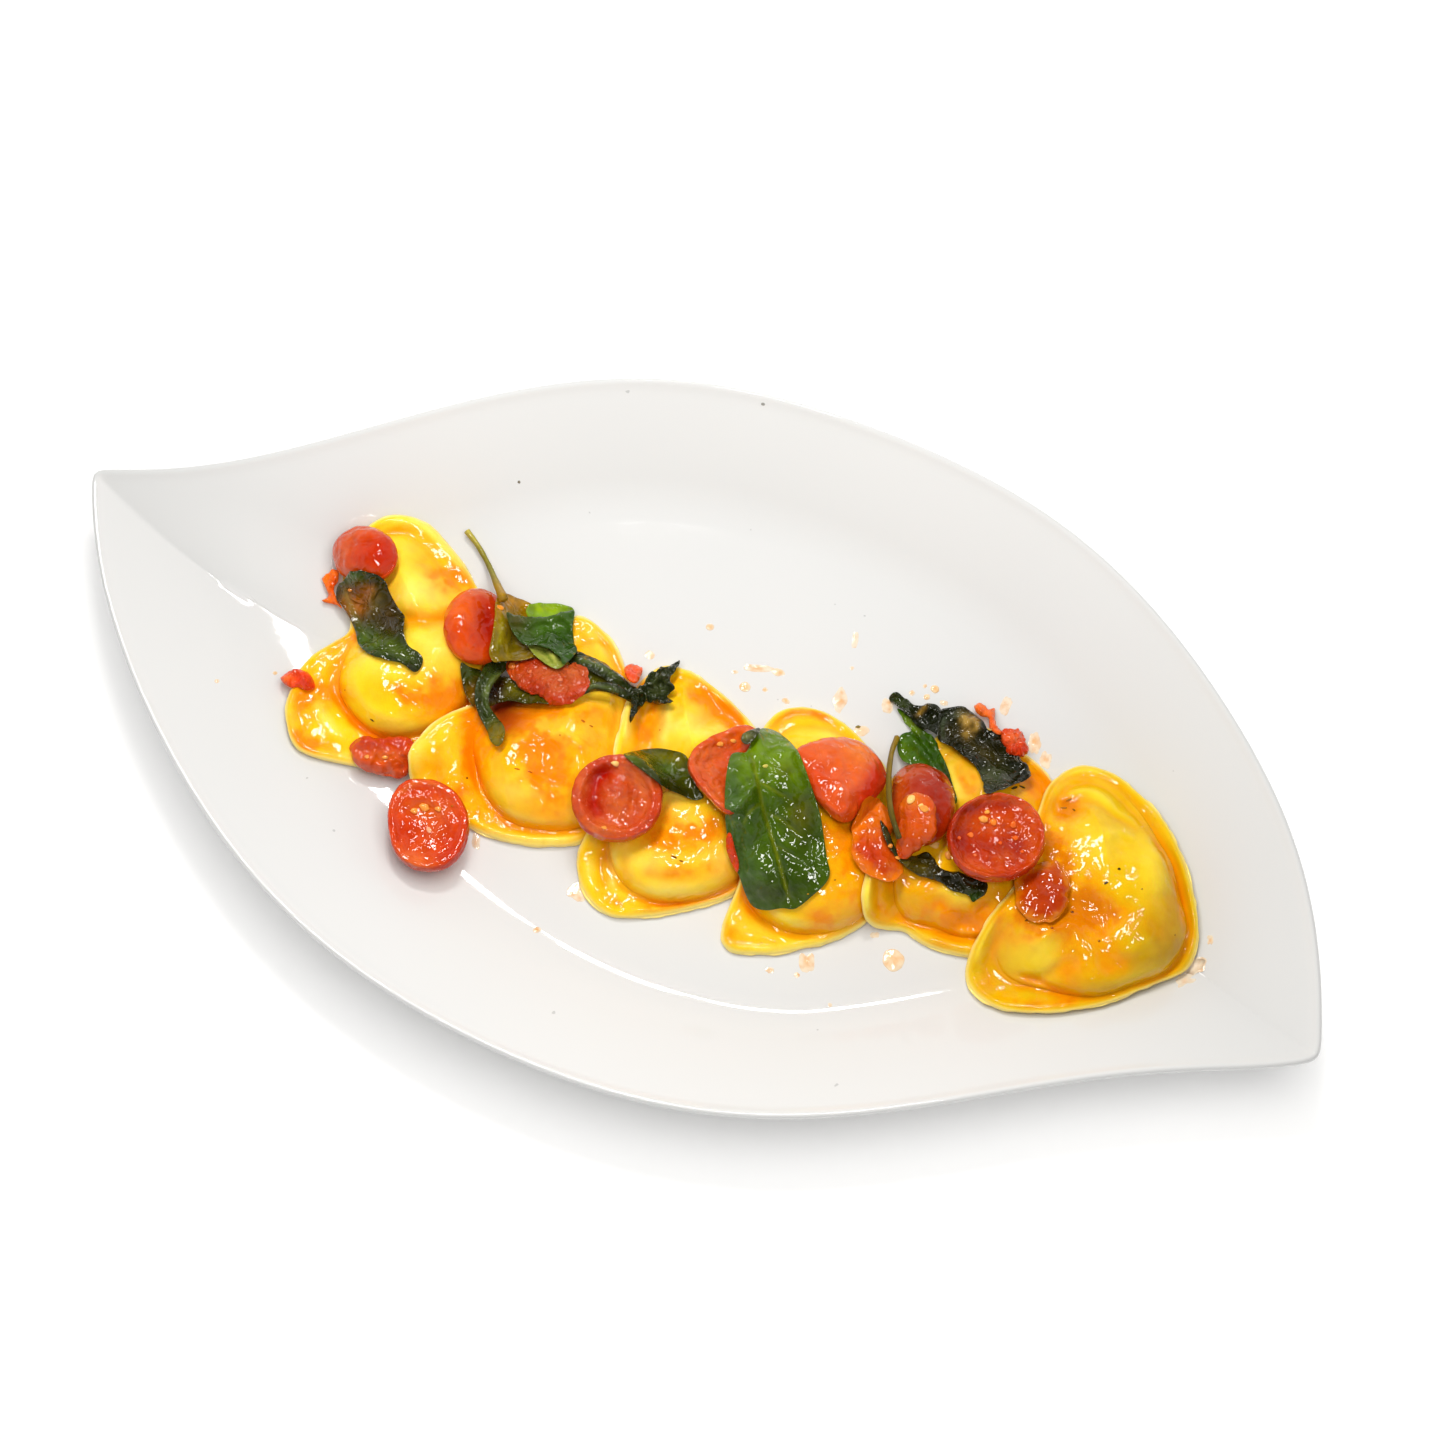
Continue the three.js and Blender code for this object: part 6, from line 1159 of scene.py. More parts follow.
# ---------------------------------------------------------------- thin pieces: leaves and scraps
def shell(spec, E, step=0.6):
    """A thin closed sheet laid on E. out: its outline in the view; lift, thick, edge (how far its rim curls up), puff (how far it
    is rolled up into a bulge), crinkle (amount, size), relief and paint as marks in the view."""
    C = closed_curve(spec["out"], max(48, 9 * len(spec["out"]))) if not spec.get("sharp") else np.asarray(spec["out"], float)
    lift, thick, puff = spec.get("lift", 0.4), spec.get("thick", 0.5), spec.get("puff", 0.0)
    z = np.full(len(C), 18.0)
    for _ in range(8):
        x, y = from_view(C[:, 0], C[:, 1], z)
        z = 0.5 * z + 0.5 * (sample(E, x, y) + GAP + lift + thick)
    B0 = np.c_[x, y]
    per = np.hypot(*(np.roll(B0, -1, 0) - B0).T).sum()
    nb = max(24, int(per / (step * 0.85)))
    B = resample(B0, nb)
    if ((B[:, 0] * np.roll(B[:, 1], -1) - np.roll(B[:, 0], -1) * B[:, 1]).sum()) < 0:
        B = B[::-1]
    lo, hi = B.min(0), B.max(0)
    gy, k = np.arange(lo[1], hi[1], step * 0.866), 0
    pts = []
    for j, yy in enumerate(gy):
        xs = np.arange(lo[0] + (j % 2) * step / 2, hi[0], step)
        pts.append(np.c_[xs, np.full(len(xs), yy)])
    I = np.vstack(pts)
    I = I + 0.08 * step * rng.standard_normal(I.shape)
    I = I[inside_dist(B, I[:, 0], I[:, 1]) > 0.5 * step]
    P = np.vstack([B, I])
    r = delaunay_2d_cdt([Vector(p) for p in P.tolist()], [(i, (i + 1) % nb) for i in range(nb)], [], 1, 1e-5, True)
    V2 = np.array([tuple(v) for v in r[0]])
    mid = np.array([V2[list(f)].mean(0) for f in r[2]])
    tris = [tuple(f) for f, ok in zip(r[2], inside_dist(B, mid[:, 0], mid[:, 1]) > 0) if ok]
    x, y = V2[:, 0], V2[:, 1]
    d = np.clip(inside_dist(B, x, y), 0, None)
    dm = max(d.max(), 0.5)
    e = sample(E, x, y)
    cr = spec.get("crinkle", (0.25, 4.0))
    bulge = puff * np.sqrt(np.clip(1 - (1 - d / dm) ** 2, 0, 1))
    zt0 = e + GAP + lift + thick + bulge
    px, py = to_view(x, y, zt0)
    seed = spec.get("seed", 5)
    # folds: valleys and sharp crests where a warped noise passes zero
    wx, wy = x + 0.6 * cr[1] * noise(x / (1.6 * cr[1]), y / (1.6 * cr[1]), 0.0, seed + 31), y + 0.6 * cr[1] * noise(x / (1.6 * cr[1]), y / (1.6 * cr[1]), 5.0, seed + 32)
    crest = 1 - 2.2 * np.abs(noise(wx / cr[1], wy / cr[1], 0.0, seed))
    wr = spec.get("fold", 3.0) * cr[0] * (0.55 * crest + 0.5 * fbm(x / cr[1], y / cr[1], 0.0, seed + 5, 2) + 0.3 * noise(x * 2.7 / cr[1], y * 2.7 / cr[1], 0.0, seed + 9))
    rel = 1.4 * marks(px, py, spec.get("relief", []))
    curl = spec.get("edge", 0.3) * np.exp(-((d / 1.3) ** 2)) * (1 + 0.8 * noise(x / 4.0, y / 4.0, 0.0, seed + 3))
    zt = np.maximum(zt0 + rel + wr + curl, e + 0.12 + thick * 0.6)
    tk = thick * (0.35 + 0.65 * ss(0, 1.0, d)) + (bulge * 0.85 if spec.get("solid") else 0.0)
    zb = np.maximum(zt - tk, e + 0.05)
    zb = np.minimum(zb, zt - 0.12)
    col = painted(px, py, srgb(spec["base"]), spec.get("paint", []))
    n1 = fbm(x / 2.5, y / 2.5, 0.0, seed + 20, 3)
    col = col * (1 + spec.get("vary", 0.18) * n1[:, None])
    if "thick" not in spec or spec["thick"] < 0.7:
        col = col * np.array([1.08, 1.04, 0.38])
    else:
        col = col * np.array([1.0, 0.8, 0.55])
    under = col * np.array(spec.get("under", (1.15, 1.1, 1.15)))
    # the loop of the rim, in the order of the triangulation's own edges
    edges = {}
    for a, b, c in tris:
        for p, q in ((a, b), (b, c), (c, a)):
            edges[(p, q)] = 1
    border = [(p, q) for (p, q) in edges if (q, p) not in edges]
    n = len(V2)
    F = [t for t in tris] + [(c + n, b + n, a + n) for a, b, c in tris]
    F += [(q, p, p + n, q + n) for p, q in border]
    V = np.vstack([np.c_[x, y, zt], np.c_[x, y, zb]])
    w = window(B)
    gxx, gyy = GX[w], GY[w]
    m = inside_dist(B, gxx, gyy) > 0
    dd = inside_dist(B, gxx[m], gyy[m])
    zz = E[w][m] + GAP + lift + thick + puff * np.sqrt(np.clip(1 - (1 - np.clip(dd / dm, 0, 1)) ** 2, 0, 1)) + 0.1
    return V, F, np.clip(np.vstack([col, under]), 0, 1), (w, m, zz)


def support(spec):
    r, s = spec.get("drape", (2, 2))
    return np.maximum(blur(highest(H, r), s), H)


def lay_shells(name, specs, material, nodes=(), carry=True):
    global H
    VV, FF, CC, k = [], [], [], 0
    for spec in specs:
        V, F, C, (w, m, zz) = shell(spec, support(spec), spec.get("step", 0.6))
        VV.append(V)
        CC.append(C)
        FF.extend([tuple(i + k for i in f) for f in F])
        k += len(V)
        h = H[w].copy()
        h[m] = np.maximum(h[m], zz)
        H = H.copy()
        H[w] = h
    return mesh_object(name, np.vstack(VV), FF, material, tint=np.vstack(CC), node=nodes, carry=carry)


G_DARK, G_BLACK, G_MID, G_BRIGHT, G_OLIVE, G_VEIN, G_PALE = (40, 50, 16), (20, 24, 14), (58, 84, 14), (98, 132, 22), (98, 82, 14), (134, 130, 34), (130, 146, 92)
LEAF = {
    "basil_1": [
        dict(out=[(350, 572), (362, 571), (375, 574), (385, 581), (390, 593), (397, 606), (405, 617), (404, 632), (408, 645), (418, 652), (423, 659), (420, 668), (413, 672), (402, 664), (386, 660), (371, 655), (359, 645),
                  (356, 633), (350, 619), (342, 606), (336, 598), (337, 587), (343, 581)],
             base=(28, 31, 10), seed=51, crinkle=(0.42, 5.0), edge=0.4, lift=0.5, drape=(2, 2),
             relief=[([(347, 590), (358, 612), (366, 634), (384, 648), (412, 656)], 4, -0.6), ([(374, 582), (372, 604), (366, 622)], 5, 0.8), ([(384, 612), (396, 622), (402, 640)], 5, 0.6), ([(362, 640), (380, 652), (402, 659)], 3.5, 0.5),
                     ([(386, 596), (396, 612)], 4, -0.5), (360, 602, 10, 9, 0, -0.7), ([(350, 576), (366, 580), (380, 584)], 4, 0.5)],
             paint=[((56, 84, 30), [(352, 578, 9, 5, 0, 0.7), (385, 645, 20, 8, 25, 0.6), (366, 640, 9, 12, 30, 0.5)]), ((150, 84, 16), [(358, 604, 10, 10, 0, 0.95), (368, 594, 6, 6, 0, 0.7), (347, 598, 5, 8, 0, 0.4)]),
                    # basil_1: the grey-green stroke down the left side is painted sheen
                    ((84, 100, 78), [([(342, 584), (350, 604), (360, 626), (372, 642)], 4, 0.45), (374, 604, 6, 10, 20, 0.3)]), ((70, 46, 18), [(386, 622, 12, 12, 0, 0.5), (392, 600, 8, 10, 0, 0.3)]), ((86, 100, 26), [(392, 648, 16, 5, 20, 0.4)])]),
    ],
    "basil_3": [
        dict(out=[(461, 664), (470, 668), (482, 672), (480, 686), (476, 698), (474, 707), (468, 700), (463, 686)], base=(44, 40, 14), seed=61, crinkle=(0.4, 4.0), edge=0.5, lift=0.7,
             paint=[((58, 78, 30), [(468, 674, 8, 6, 0, 0.6)]), ((118, 82, 20), [(472, 697, 6, 8, 0, 0.8)])]),
        dict(out=[(492, 678), (502, 676), (514, 679), (527, 686), (540, 696), (550, 704), (538, 704), (522, 703), (509, 701), (498, 703), (489, 706), (487, 692)], base=(74, 68, 18), seed=62, crinkle=(0.3, 4.0), edge=0.2, lift=0.9, puff=0.2,
             paint=[((46, 50, 18), [(520, 702, 20, 3, 8, 0.8)]), ((104, 100, 34), [(514, 689, 8, 5, 20, 0.6)]), ((34, 18, 8), [(500, 684, 8, 5, -30, 0.9), (494, 696, 7, 9, 0, 0.95)])]),
        dict(out=[(487, 664), (498, 657), (511, 658), (508, 667), (500, 677), (492, 688), (489, 699), (491, 709), (498, 719), (505, 729), (504, 741), (498, 747), (491, 742), (487, 731), (479, 716), (475, 700), (477, 682)],
             base=(44, 56, 28), seed=63, crinkle=(0.35, 4.5), edge=0.6, lift=1.5, puff=0.5, relief=[([(500, 664), (487, 682), (482, 700), (490, 722)], 3, -0.6), ([(494, 670), (484, 690)], 3, 0.5)],
             # the grey-green stroke along the fold is painted sheen
             paint=[((92, 108, 78), [([(503, 668), (490, 684), (485, 700), (491, 718)], 3, 0.7)]), ((112, 96, 26), [(499, 737, 8, 9, 0, 0.95)]), ((30, 34, 18), [(480, 706, 5, 14, 0, 0.6)])]),
    ],
    "basil_4": [
        dict(out=[(575, 666), (590, 668), (606, 674), (622, 684), (616, 690), (600, 686), (586, 686), (576, 680)], base=(70, 72, 22), seed=71, crinkle=(0.25, 4.0), edge=0.0, lift=0.7, puff=0.4,
             paint=[((96, 92, 30), [(600, 678, 10, 4, 10, 0.6)])]),
        dict(out=[(562, 656), (571, 649), (580, 653), (594, 658), (609, 666), (622, 677), (635, 687), (641, 692), (630, 694), (617, 687), (603, 678), (588, 671), (573, 666)], base=(34, 42, 26), seed=72, crinkle=(0.3, 3.0), edge=0.5, lift=1.2, puff=0.7,
             # the grey-green stroke along the crest is painted sheen
             relief=[([(566, 657), (590, 663), (612, 673), (634, 690)], 3, 0.5), ([(572, 662), (596, 670), (614, 680)], 2.5, -0.5)], paint=[((84, 100, 70), [([(575, 658), (598, 666), (620, 680)], 2.5, 0.6)])]),
        dict(out=[(566, 698), (572, 690), (586, 686), (600, 683), (616, 685), (630, 692), (637, 698), (634, 703), (622, 698), (606, 693), (590, 693), (576, 699)], base=(32, 38, 22), seed=73, crinkle=(0.3, 3.0), edge=0.5, lift=1.2, puff=0.6,
             # the grey-green stroke along the crest is painted sheen
             relief=[([(572, 694), (596, 688), (620, 692)], 2.5, 0.5)], paint=[((86, 100, 74), [([(572, 692), (596, 687), (622, 693)], 2.5, 0.6)])]),
        dict(out=[(632, 692), (643, 686), (650, 676), (662, 669), (679, 660), (677, 670), (670, 681), (675, 690), (667, 696), (674, 703), (662, 706), (650, 702), (642, 706), (636, 717), (630, 724), (631, 706)], base=(26, 30, 20), seed=74, step=0.45,
             crinkle=(0.9, 2.4), edge=0.5, lift=0.8, relief=[([(640, 690), (656, 682), (672, 668)], 3, 0.8), ([(642, 694), (658, 692), (672, 692)], 3, -0.6), ([(640, 698), (655, 700), (668, 703)], 3, 0.5), ([(638, 698), (634, 710)], 3, 0.5)],
             # the grey-green patch on the fan is painted sheen
             paint=[((70, 82, 62), [(655, 685, 14, 10, -30, 0.4)])]),
    ],
    "basil_2b": [
        dict(out=[(496, 600), (505, 594), (516, 598), (530, 604), (540, 612), (534, 622), (530, 632), (534, 644), (534, 656), (522, 660), (505, 662), (494, 662), (489, 652), (492, 636), (495, 618)], base=(128, 102, 16), seed=81, crinkle=(0.3, 4.5), edge=0.3, lift=0.4,
             relief=[([(503, 598), (502, 622), (500, 655)], 3, 0.5), ([(510, 600), (524, 608), (534, 610)], 3, 0.4), ([(512, 622), (514, 640), (508, 658)], 3, -0.5)],
             paint=[((168, 116, 14), [(512, 603, 12, 6, 20, 0.9), (500, 612, 5, 8, 0, 0.5)]), ((108, 96, 18), [(502, 645, 10, 14, 0, 0.7)]), ((146, 140, 44), [([(504, 612), (501, 634), (497, 655)], 3, 0.5)]), ((84, 78, 16), [(514, 640, 4, 14, 0, 0.5)])]),
    ],
    "basil_2": [
        dict(out=[(530, 605), (545, 603), (560, 604), (572, 608), (574, 616), (560, 620), (545, 622), (532, 620), (526, 612)], base=(112, 148, 24), seed=91, crinkle=(0.25, 4.0), edge=0.3, lift=0.6,
             paint=[((146, 164, 40), [(545, 608, 14, 3, 0, 0.5)]), ((60, 84, 20), [(568, 615, 6, 5, 0, 0.5)])]),
        dict(out=[(526, 641), (536, 638), (550, 642), (562, 650), (567, 662), (557, 669), (547, 665), (538, 658), (531, 651)], base=(132, 142, 88), seed=93, crinkle=(0.25, 3.0), edge=0.1, lift=0.4,
             relief=[([(540, 642), (550, 652), (558, 664)], 2.0, 0.5), ([(536, 646), (546, 658)], 1.6, -0.5), ([(547, 640), (556, 650), (562, 660)], 1.6, -0.5)],
             # the light strokes along the ridge are painted highlights
             paint=[((186, 190, 140), [([(541, 643), (551, 654), (558, 664)], 2, 0.8), ([(534, 646), (542, 655), (550, 662)], 1.2, 0.6)]), ((92, 116, 50), [([(537, 643), (546, 653), (554, 665)], 1.2, 0.7)]), ((70, 92, 34), [(563, 652, 4, 12, 0, 0.7)])]),
        dict(out=[(507, 614), (520, 617), (536, 618), (552, 616), (566, 612), (574, 611), (573, 628), (574, 642), (577, 650), (570, 659), (563, 664), (560, 657), (553, 651), (545, 648), (536, 645), (528, 645), (519, 640), (511, 628)], base=(44, 74, 26), seed=92, crinkle=(0.45, 4.5),
             edge=0.2, lift=0.9, relief=[([(510, 616), (530, 622), (556, 620), (572, 614)], 3.5, 0.8), ([(514, 624), (530, 634), (540, 632)], 4, -0.6), ([(540, 626), (556, 630), (572, 634)], 3, -0.5), ([(548, 634), (562, 644), (570, 654)], 3, 0.6)],
             paint=[((66, 78, 58), [(520, 626, 14, 8, 25, 0.6), (530, 618, 18, 4, 0, 0.5)]), ((30, 58, 12), [(560, 640, 10, 14, 0, 0.5)]), ((74, 112, 44), [(552, 624, 14, 6, 0, 0.55)]), ((96, 72, 26), [(516, 620, 7, 6, 0, 0.4)])]),
    ],
    "basil_5": [
        dict(out=[(624, 755), (634, 752), (647, 750), (660, 749), (674, 751), (686, 757), (692, 770), (696, 786), (704, 797), (695, 800), (683, 796), (667, 789), (654, 780), (641, 770), (631, 762)], base=(52, 58, 12), seed=101, crinkle=(0.3, 5.0), edge=0.35, lift=1.4,
             relief=[([(656, 768), (672, 775), (696, 794)], 3.0, -0.4), ([(640, 755), (662, 757), (682, 764)], 5, 0.6), ([(660, 778), (676, 778), (690, 778)], 4, 0.6), ([(650, 768), (662, 776)], 3, 0.4)],
             paint=[((98, 92, 14), [(656, 757, 22, 5, 3, 0.85), (680, 762, 8, 6, 20, 0.5)]), ((66, 92, 26), [(668, 768, 10, 6, 20, 0.6), (636, 760, 6, 4, 30, 0.5)]), ((28, 34, 12), [(676, 790, 16, 6, 25, 0.7), (650, 778, 10, 4, 30, 0.5)])]),
    ],
    "basil_8": [
        dict(out=[(897, 709), (905, 712), (914, 721), (926, 732), (936, 740), (940, 752), (946, 765), (953, 786), (957, 801), (953, 804), (946, 790), (936, 772), (922, 766), (907, 764), (900, 758), (897, 746), (901, 735), (911, 731), (905, 722)],
             base=(48, 82, 16), seed=111, crinkle=(0.35, 3.5), edge=0.4, lift=0.6, relief=[([(902, 714), (916, 732), (932, 752), (948, 784)], 3, -0.7), ([(906, 736), (920, 748), (932, 764)], 3, 0.6), ([(925, 736), (938, 752), (944, 768)], 3, 0.6), ([(902, 742), (912, 754), (918, 764)], 3, 0.4)],
             paint=[((110, 140, 50), [([(900, 712), (912, 726), (922, 734)], 4, 0.8)]), ((84, 118, 26), [(904, 752, 7, 8, 30, 0.8)]), ((30, 52, 12), [(916, 745, 8, 7, 30, 0.5), (940, 768, 6, 14, -20, 0.5)]), ((34, 40, 18), [([(944, 764), (951, 784), (955, 800)], 4, 0.8)])]),
    ],
    "basil_9": [
        dict(out=[(880, 820), (887, 828), (893, 842), (901, 853), (913, 856), (925, 852), (933, 857), (939, 868), (947, 872), (957, 872), (967, 877), (977, 880), (987, 884), (985, 895), (977, 900), (972, 903), (967, 895), (952, 891), (943, 884), (930, 879),
                  (915, 874), (902, 864), (892, 852), (884, 838)], base=(34, 32, 16), seed=121, crinkle=(0.5, 3.5), edge=0.4, lift=0.6, puff=0.6, relief=[([(886, 828), (900, 852), (925, 858), (948, 880), (975, 888)], 3, -0.5), ([(900, 860), (920, 866), (936, 870)], 4, 0.6), ([(930, 856), (942, 872), (960, 880)], 4, 0.6)],
             # basil_9: the blue-grey stroke along the edge is painted sheen
             paint=[((82, 70, 18), [(918, 866, 16, 6, 10, 0.95), (928, 860, 8, 4, 0, 0.4)]), ((16, 14, 12), [(938, 866, 8, 12, -30, 0.7), (962, 882, 16, 7, 10, 0.7)]), ((36, 62, 14), [(972, 899, 6, 5, 0, 0.95)]), ((78, 92, 84), [([(884, 830), (893, 848), (904, 862)], 2.5, 0.5)])]),
    ],
    "basil_6": [
        dict(out=[(731, 755), (738, 752), (746, 752), (751, 742), (755, 732), (763, 728), (774, 730), (786, 738), (797, 750), (804, 765), (810, 782), (816, 800), (821, 818), (824, 838), (827, 858), (830, 873), (825, 884), (813, 895), (796, 908),
                  (782, 908), (766, 910), (753, 906), (746, 895), (740, 878), (733, 860), (728, 840), (725, 815), (725, 790), (727, 770)], base=(58, 84, 12), seed=131, crinkle=(0.30, 7.0), fold=1.2, edge=-0.3, lift=0.6, drape=(3, 4), thick=0.6,
             relief=[([(750, 746), (757, 775), (765, 808), (775, 845), (784, 880), (790, 902)], 3.2, -1.0), ([(759, 780), (772, 790), (790, 800), (806, 812)], 3.0, -0.6), ([(757, 768), (772, 768), (790, 776)], 3.0, -0.45), ([(767, 812), (784, 822), (804, 840)], 3.0, -0.5),
                     ([(775, 845), (792, 855), (812, 868)], 3.0, -0.45), ([(763, 802), (750, 812), (742, 828), (738, 850)], 3.2, -0.7), ([(758, 782), (746, 784), (734, 796)], 3.0, -0.5), ([(770, 832), (758, 840), (748, 858)], 3.0, -0.4),
                     (748, 790, 11, 22, 0, 0.9), (780, 792, 12, 10, 30, 0.9), (752, 838, 9, 18, 0, 0.8), (795, 830, 14, 16, 0, 0.8), (775, 757, 14, 12, 0, 0.6), (765, 872, 14, 16, 0, 0.6), (805, 870, 12, 12, 0, 0.5), ([(728, 800), (732, 840), (744, 880)], 5, -0.8)],
             paint=[((98, 128, 20), [(768, 750, 20, 18, 0, 0.9), (742, 770, 10, 16, 0, 0.5), (790, 770, 14, 12, 30, 0.5)]), ((46, 66, 10), [(808, 840, 16, 30, 10, 0.65), (800, 880, 22, 16, 0, 0.6), (812, 800, 8, 20, 0, 0.5)]), ((88, 74, 14), [(800, 815, 10, 14, 0, 0.5), (785, 770, 8, 6, 0, 0.3)]),
                    # basil_6: the grey-green marks down the left side are painted sheen
                    ((62, 88, 62), [(736, 835, 9, 40, -6, 0.8), (750, 880, 12, 22, -15, 0.6), (733, 790, 5, 26, 0, 0.4)]), ((48, 52, 40), [(772, 893, 24, 9, 5, 0.75)]), ((34, 58, 14), [(752, 815, 8, 10, 0, 0.5), (786, 880, 10, 12, 0, 0.4)]),
                    ((116, 122, 24), [([(750, 748), (756, 775), (763, 808), (774, 845), (784, 880), (789, 898)], 1.7, 0.6)]), ((102, 112, 26), [([(759, 780), (772, 790), (790, 800)], 1.6, 0.6), ([(767, 812), (784, 822), (800, 838)], 1.6, 0.5), ([(763, 802), (750, 812), (742, 828)], 1.6, 0.5), ([(775, 845), (790, 854)], 1.4, 0.4)]),
                    # the grey-green stroke along the top edge is painted sheen
                    ((120, 134, 108), [([(763, 729), (780, 733), (796, 748)], 3.0, 0.5)])]),
        dict(out=[(741, 739), (744, 733), (752, 730), (760, 729), (757, 737), (750, 744), (744, 744)], base=(48, 52, 34), seed=132, crinkle=(0.3, 2.5), edge=0.4, lift=0.5, step=0.5, paint=[((120, 124, 96), [(746, 736, 4, 3, 0, 0.6)])]),
    ],
    "basil_7": [
        dict(out=[(889, 698), (894, 694), (902, 696), (911, 703), (920, 706), (930, 704), (939, 707), (942, 714), (941, 726), (940, 738), (930, 730), (918, 728), (911, 720), (902, 711), (895, 705)], base=(22, 26, 17), seed=141, crinkle=(0.55, 3.0), edge=0.5, lift=0.6,
             relief=[([(896, 698), (912, 708), (930, 716)], 3, -0.6), ([(918, 716), (926, 708), (934, 712)], 3, 0.8)], paint=[((146, 112, 66), [([(917, 716), (922, 711), (926, 707)], 2.2, 0.85)]), ((62, 76, 44), [(900, 702, 8, 4, 30, 0.5)])]),
        dict(out=[(940, 712), (950, 708), (960, 708), (972, 713), (982, 722), (988, 731), (998, 730), (1005, 736), (1011, 748), (1020, 757), (1027, 766), (1031, 775), (1026, 781), (1013, 786), (999, 791), (984, 795), (982, 783), (976, 768), (968, 761),
                  (957, 752), (946, 744), (938, 740), (937, 726)], base=(20, 22, 17), seed=142, crinkle=(0.65, 4.4), edge=0.5, lift=0.7,
             relief=[([(944, 716), (962, 732), (984, 742), (1002, 762), (1018, 774)], 3.5, -0.9), ([(942, 738), (960, 748), (978, 762)], 3.5, 0.9), ([(950, 712), (968, 722), (984, 734)], 4, 0.8), ([(985, 740), (1000, 748), (1016, 764)], 4, 0.9), ([(984, 770), (992, 782), (1004, 784)], 3.5, 0.7),
                     ([(975, 738), (982, 756), (984, 778)], 3.5, -0.7), (962, 722, 6, 6, 0, 0.5)],
             # basil_7: the blue-grey strokes are painted sheen
             paint=[((178, 142, 104), [([(960, 716), (966, 724), (966, 738)], 4.5, 0.9), ([(970, 717), (976, 724), (974, 734)], 3.0, 0.7)]), ((56, 48, 24), [(985, 752, 14, 6, 30, 0.7), (950, 732, 8, 6, 0, 0.4)]), ((66, 74, 52), [(992, 776, 12, 8, 0, 0.5)]), ((74, 86, 96), [([(946, 714), (942, 726), (944, 740)], 2.5, 0.5), (958, 716, 5, 3, 0, 0.4)])]),
    ],
}

# scraps of tomato that are too small for a solid of their own
SCRAPS = {
    "left": [
        dict(out=[(281, 678), (287, 672), (297, 669), (306, 671), (312, 677), (314, 686), (306, 690), (297, 686), (290, 687), (284, 684)], base=(226, 74, 38), puff=1.8, thick=1.2, solid=True, seed=201, crinkle=(0.4, 2.0), edge=0.0, lift=0.0, step=0.5,
             paint=[((240, 120, 50), [(288, 679, 6, 4, 0, 0.8)]), ((206, 44, 30), [(300, 681, 7, 5, 0, 0.5)])]),
        dict(out=[(322, 578), (330, 571), (338, 570), (338, 580), (334, 590), (338, 600), (342, 608), (334, 604), (322, 601), (328, 595), (325, 586)], base=(240, 122, 30), puff=1.2, thick=1.0, solid=True, seed=202, crinkle=(0.35, 2.0), edge=0.0, lift=0.0, step=0.5,
             paint=[((224, 78, 30), [(336, 586, 5, 10, 0, 0.7)])]),
    ],
    "mid": [
        dict(out=[(624, 668), (632, 664), (642, 667), (641, 675), (636, 683), (628, 680)], base=(232, 96, 30), puff=1.4, thick=1.0, solid=True, seed=203, crinkle=(0.3, 2.0), edge=0.0, lift=0.0, step=0.5, paint=[((214, 60, 28), [(632, 673, 5, 5, 0, 0.7)])]),

    ],
    "right": [
        dict(out=[(974, 706), (981, 703), (989, 709), (995, 708), (995, 718), (998, 727), (1004, 734), (998, 735), (990, 728), (988, 718), (978, 714)], base=(240, 122, 44), puff=1.3, thick=0.9, solid=True, seed=205, crinkle=(0.3, 2.0), edge=0.0, lift=0.0, step=0.5,
             paint=[((226, 90, 50), [(993, 722, 5, 8, 0, 0.6)])]),
        dict(out=[(727, 835), (731, 834), (735, 848), (739, 864), (737, 872), (731, 862), (726, 848)], base=(206, 62, 16), puff=1.0, thick=0.9, solid=True, seed=206, crinkle=(0.2, 2.0), edge=0.0, lift=0.0, step=0.5, paint=[]),
    ],
}


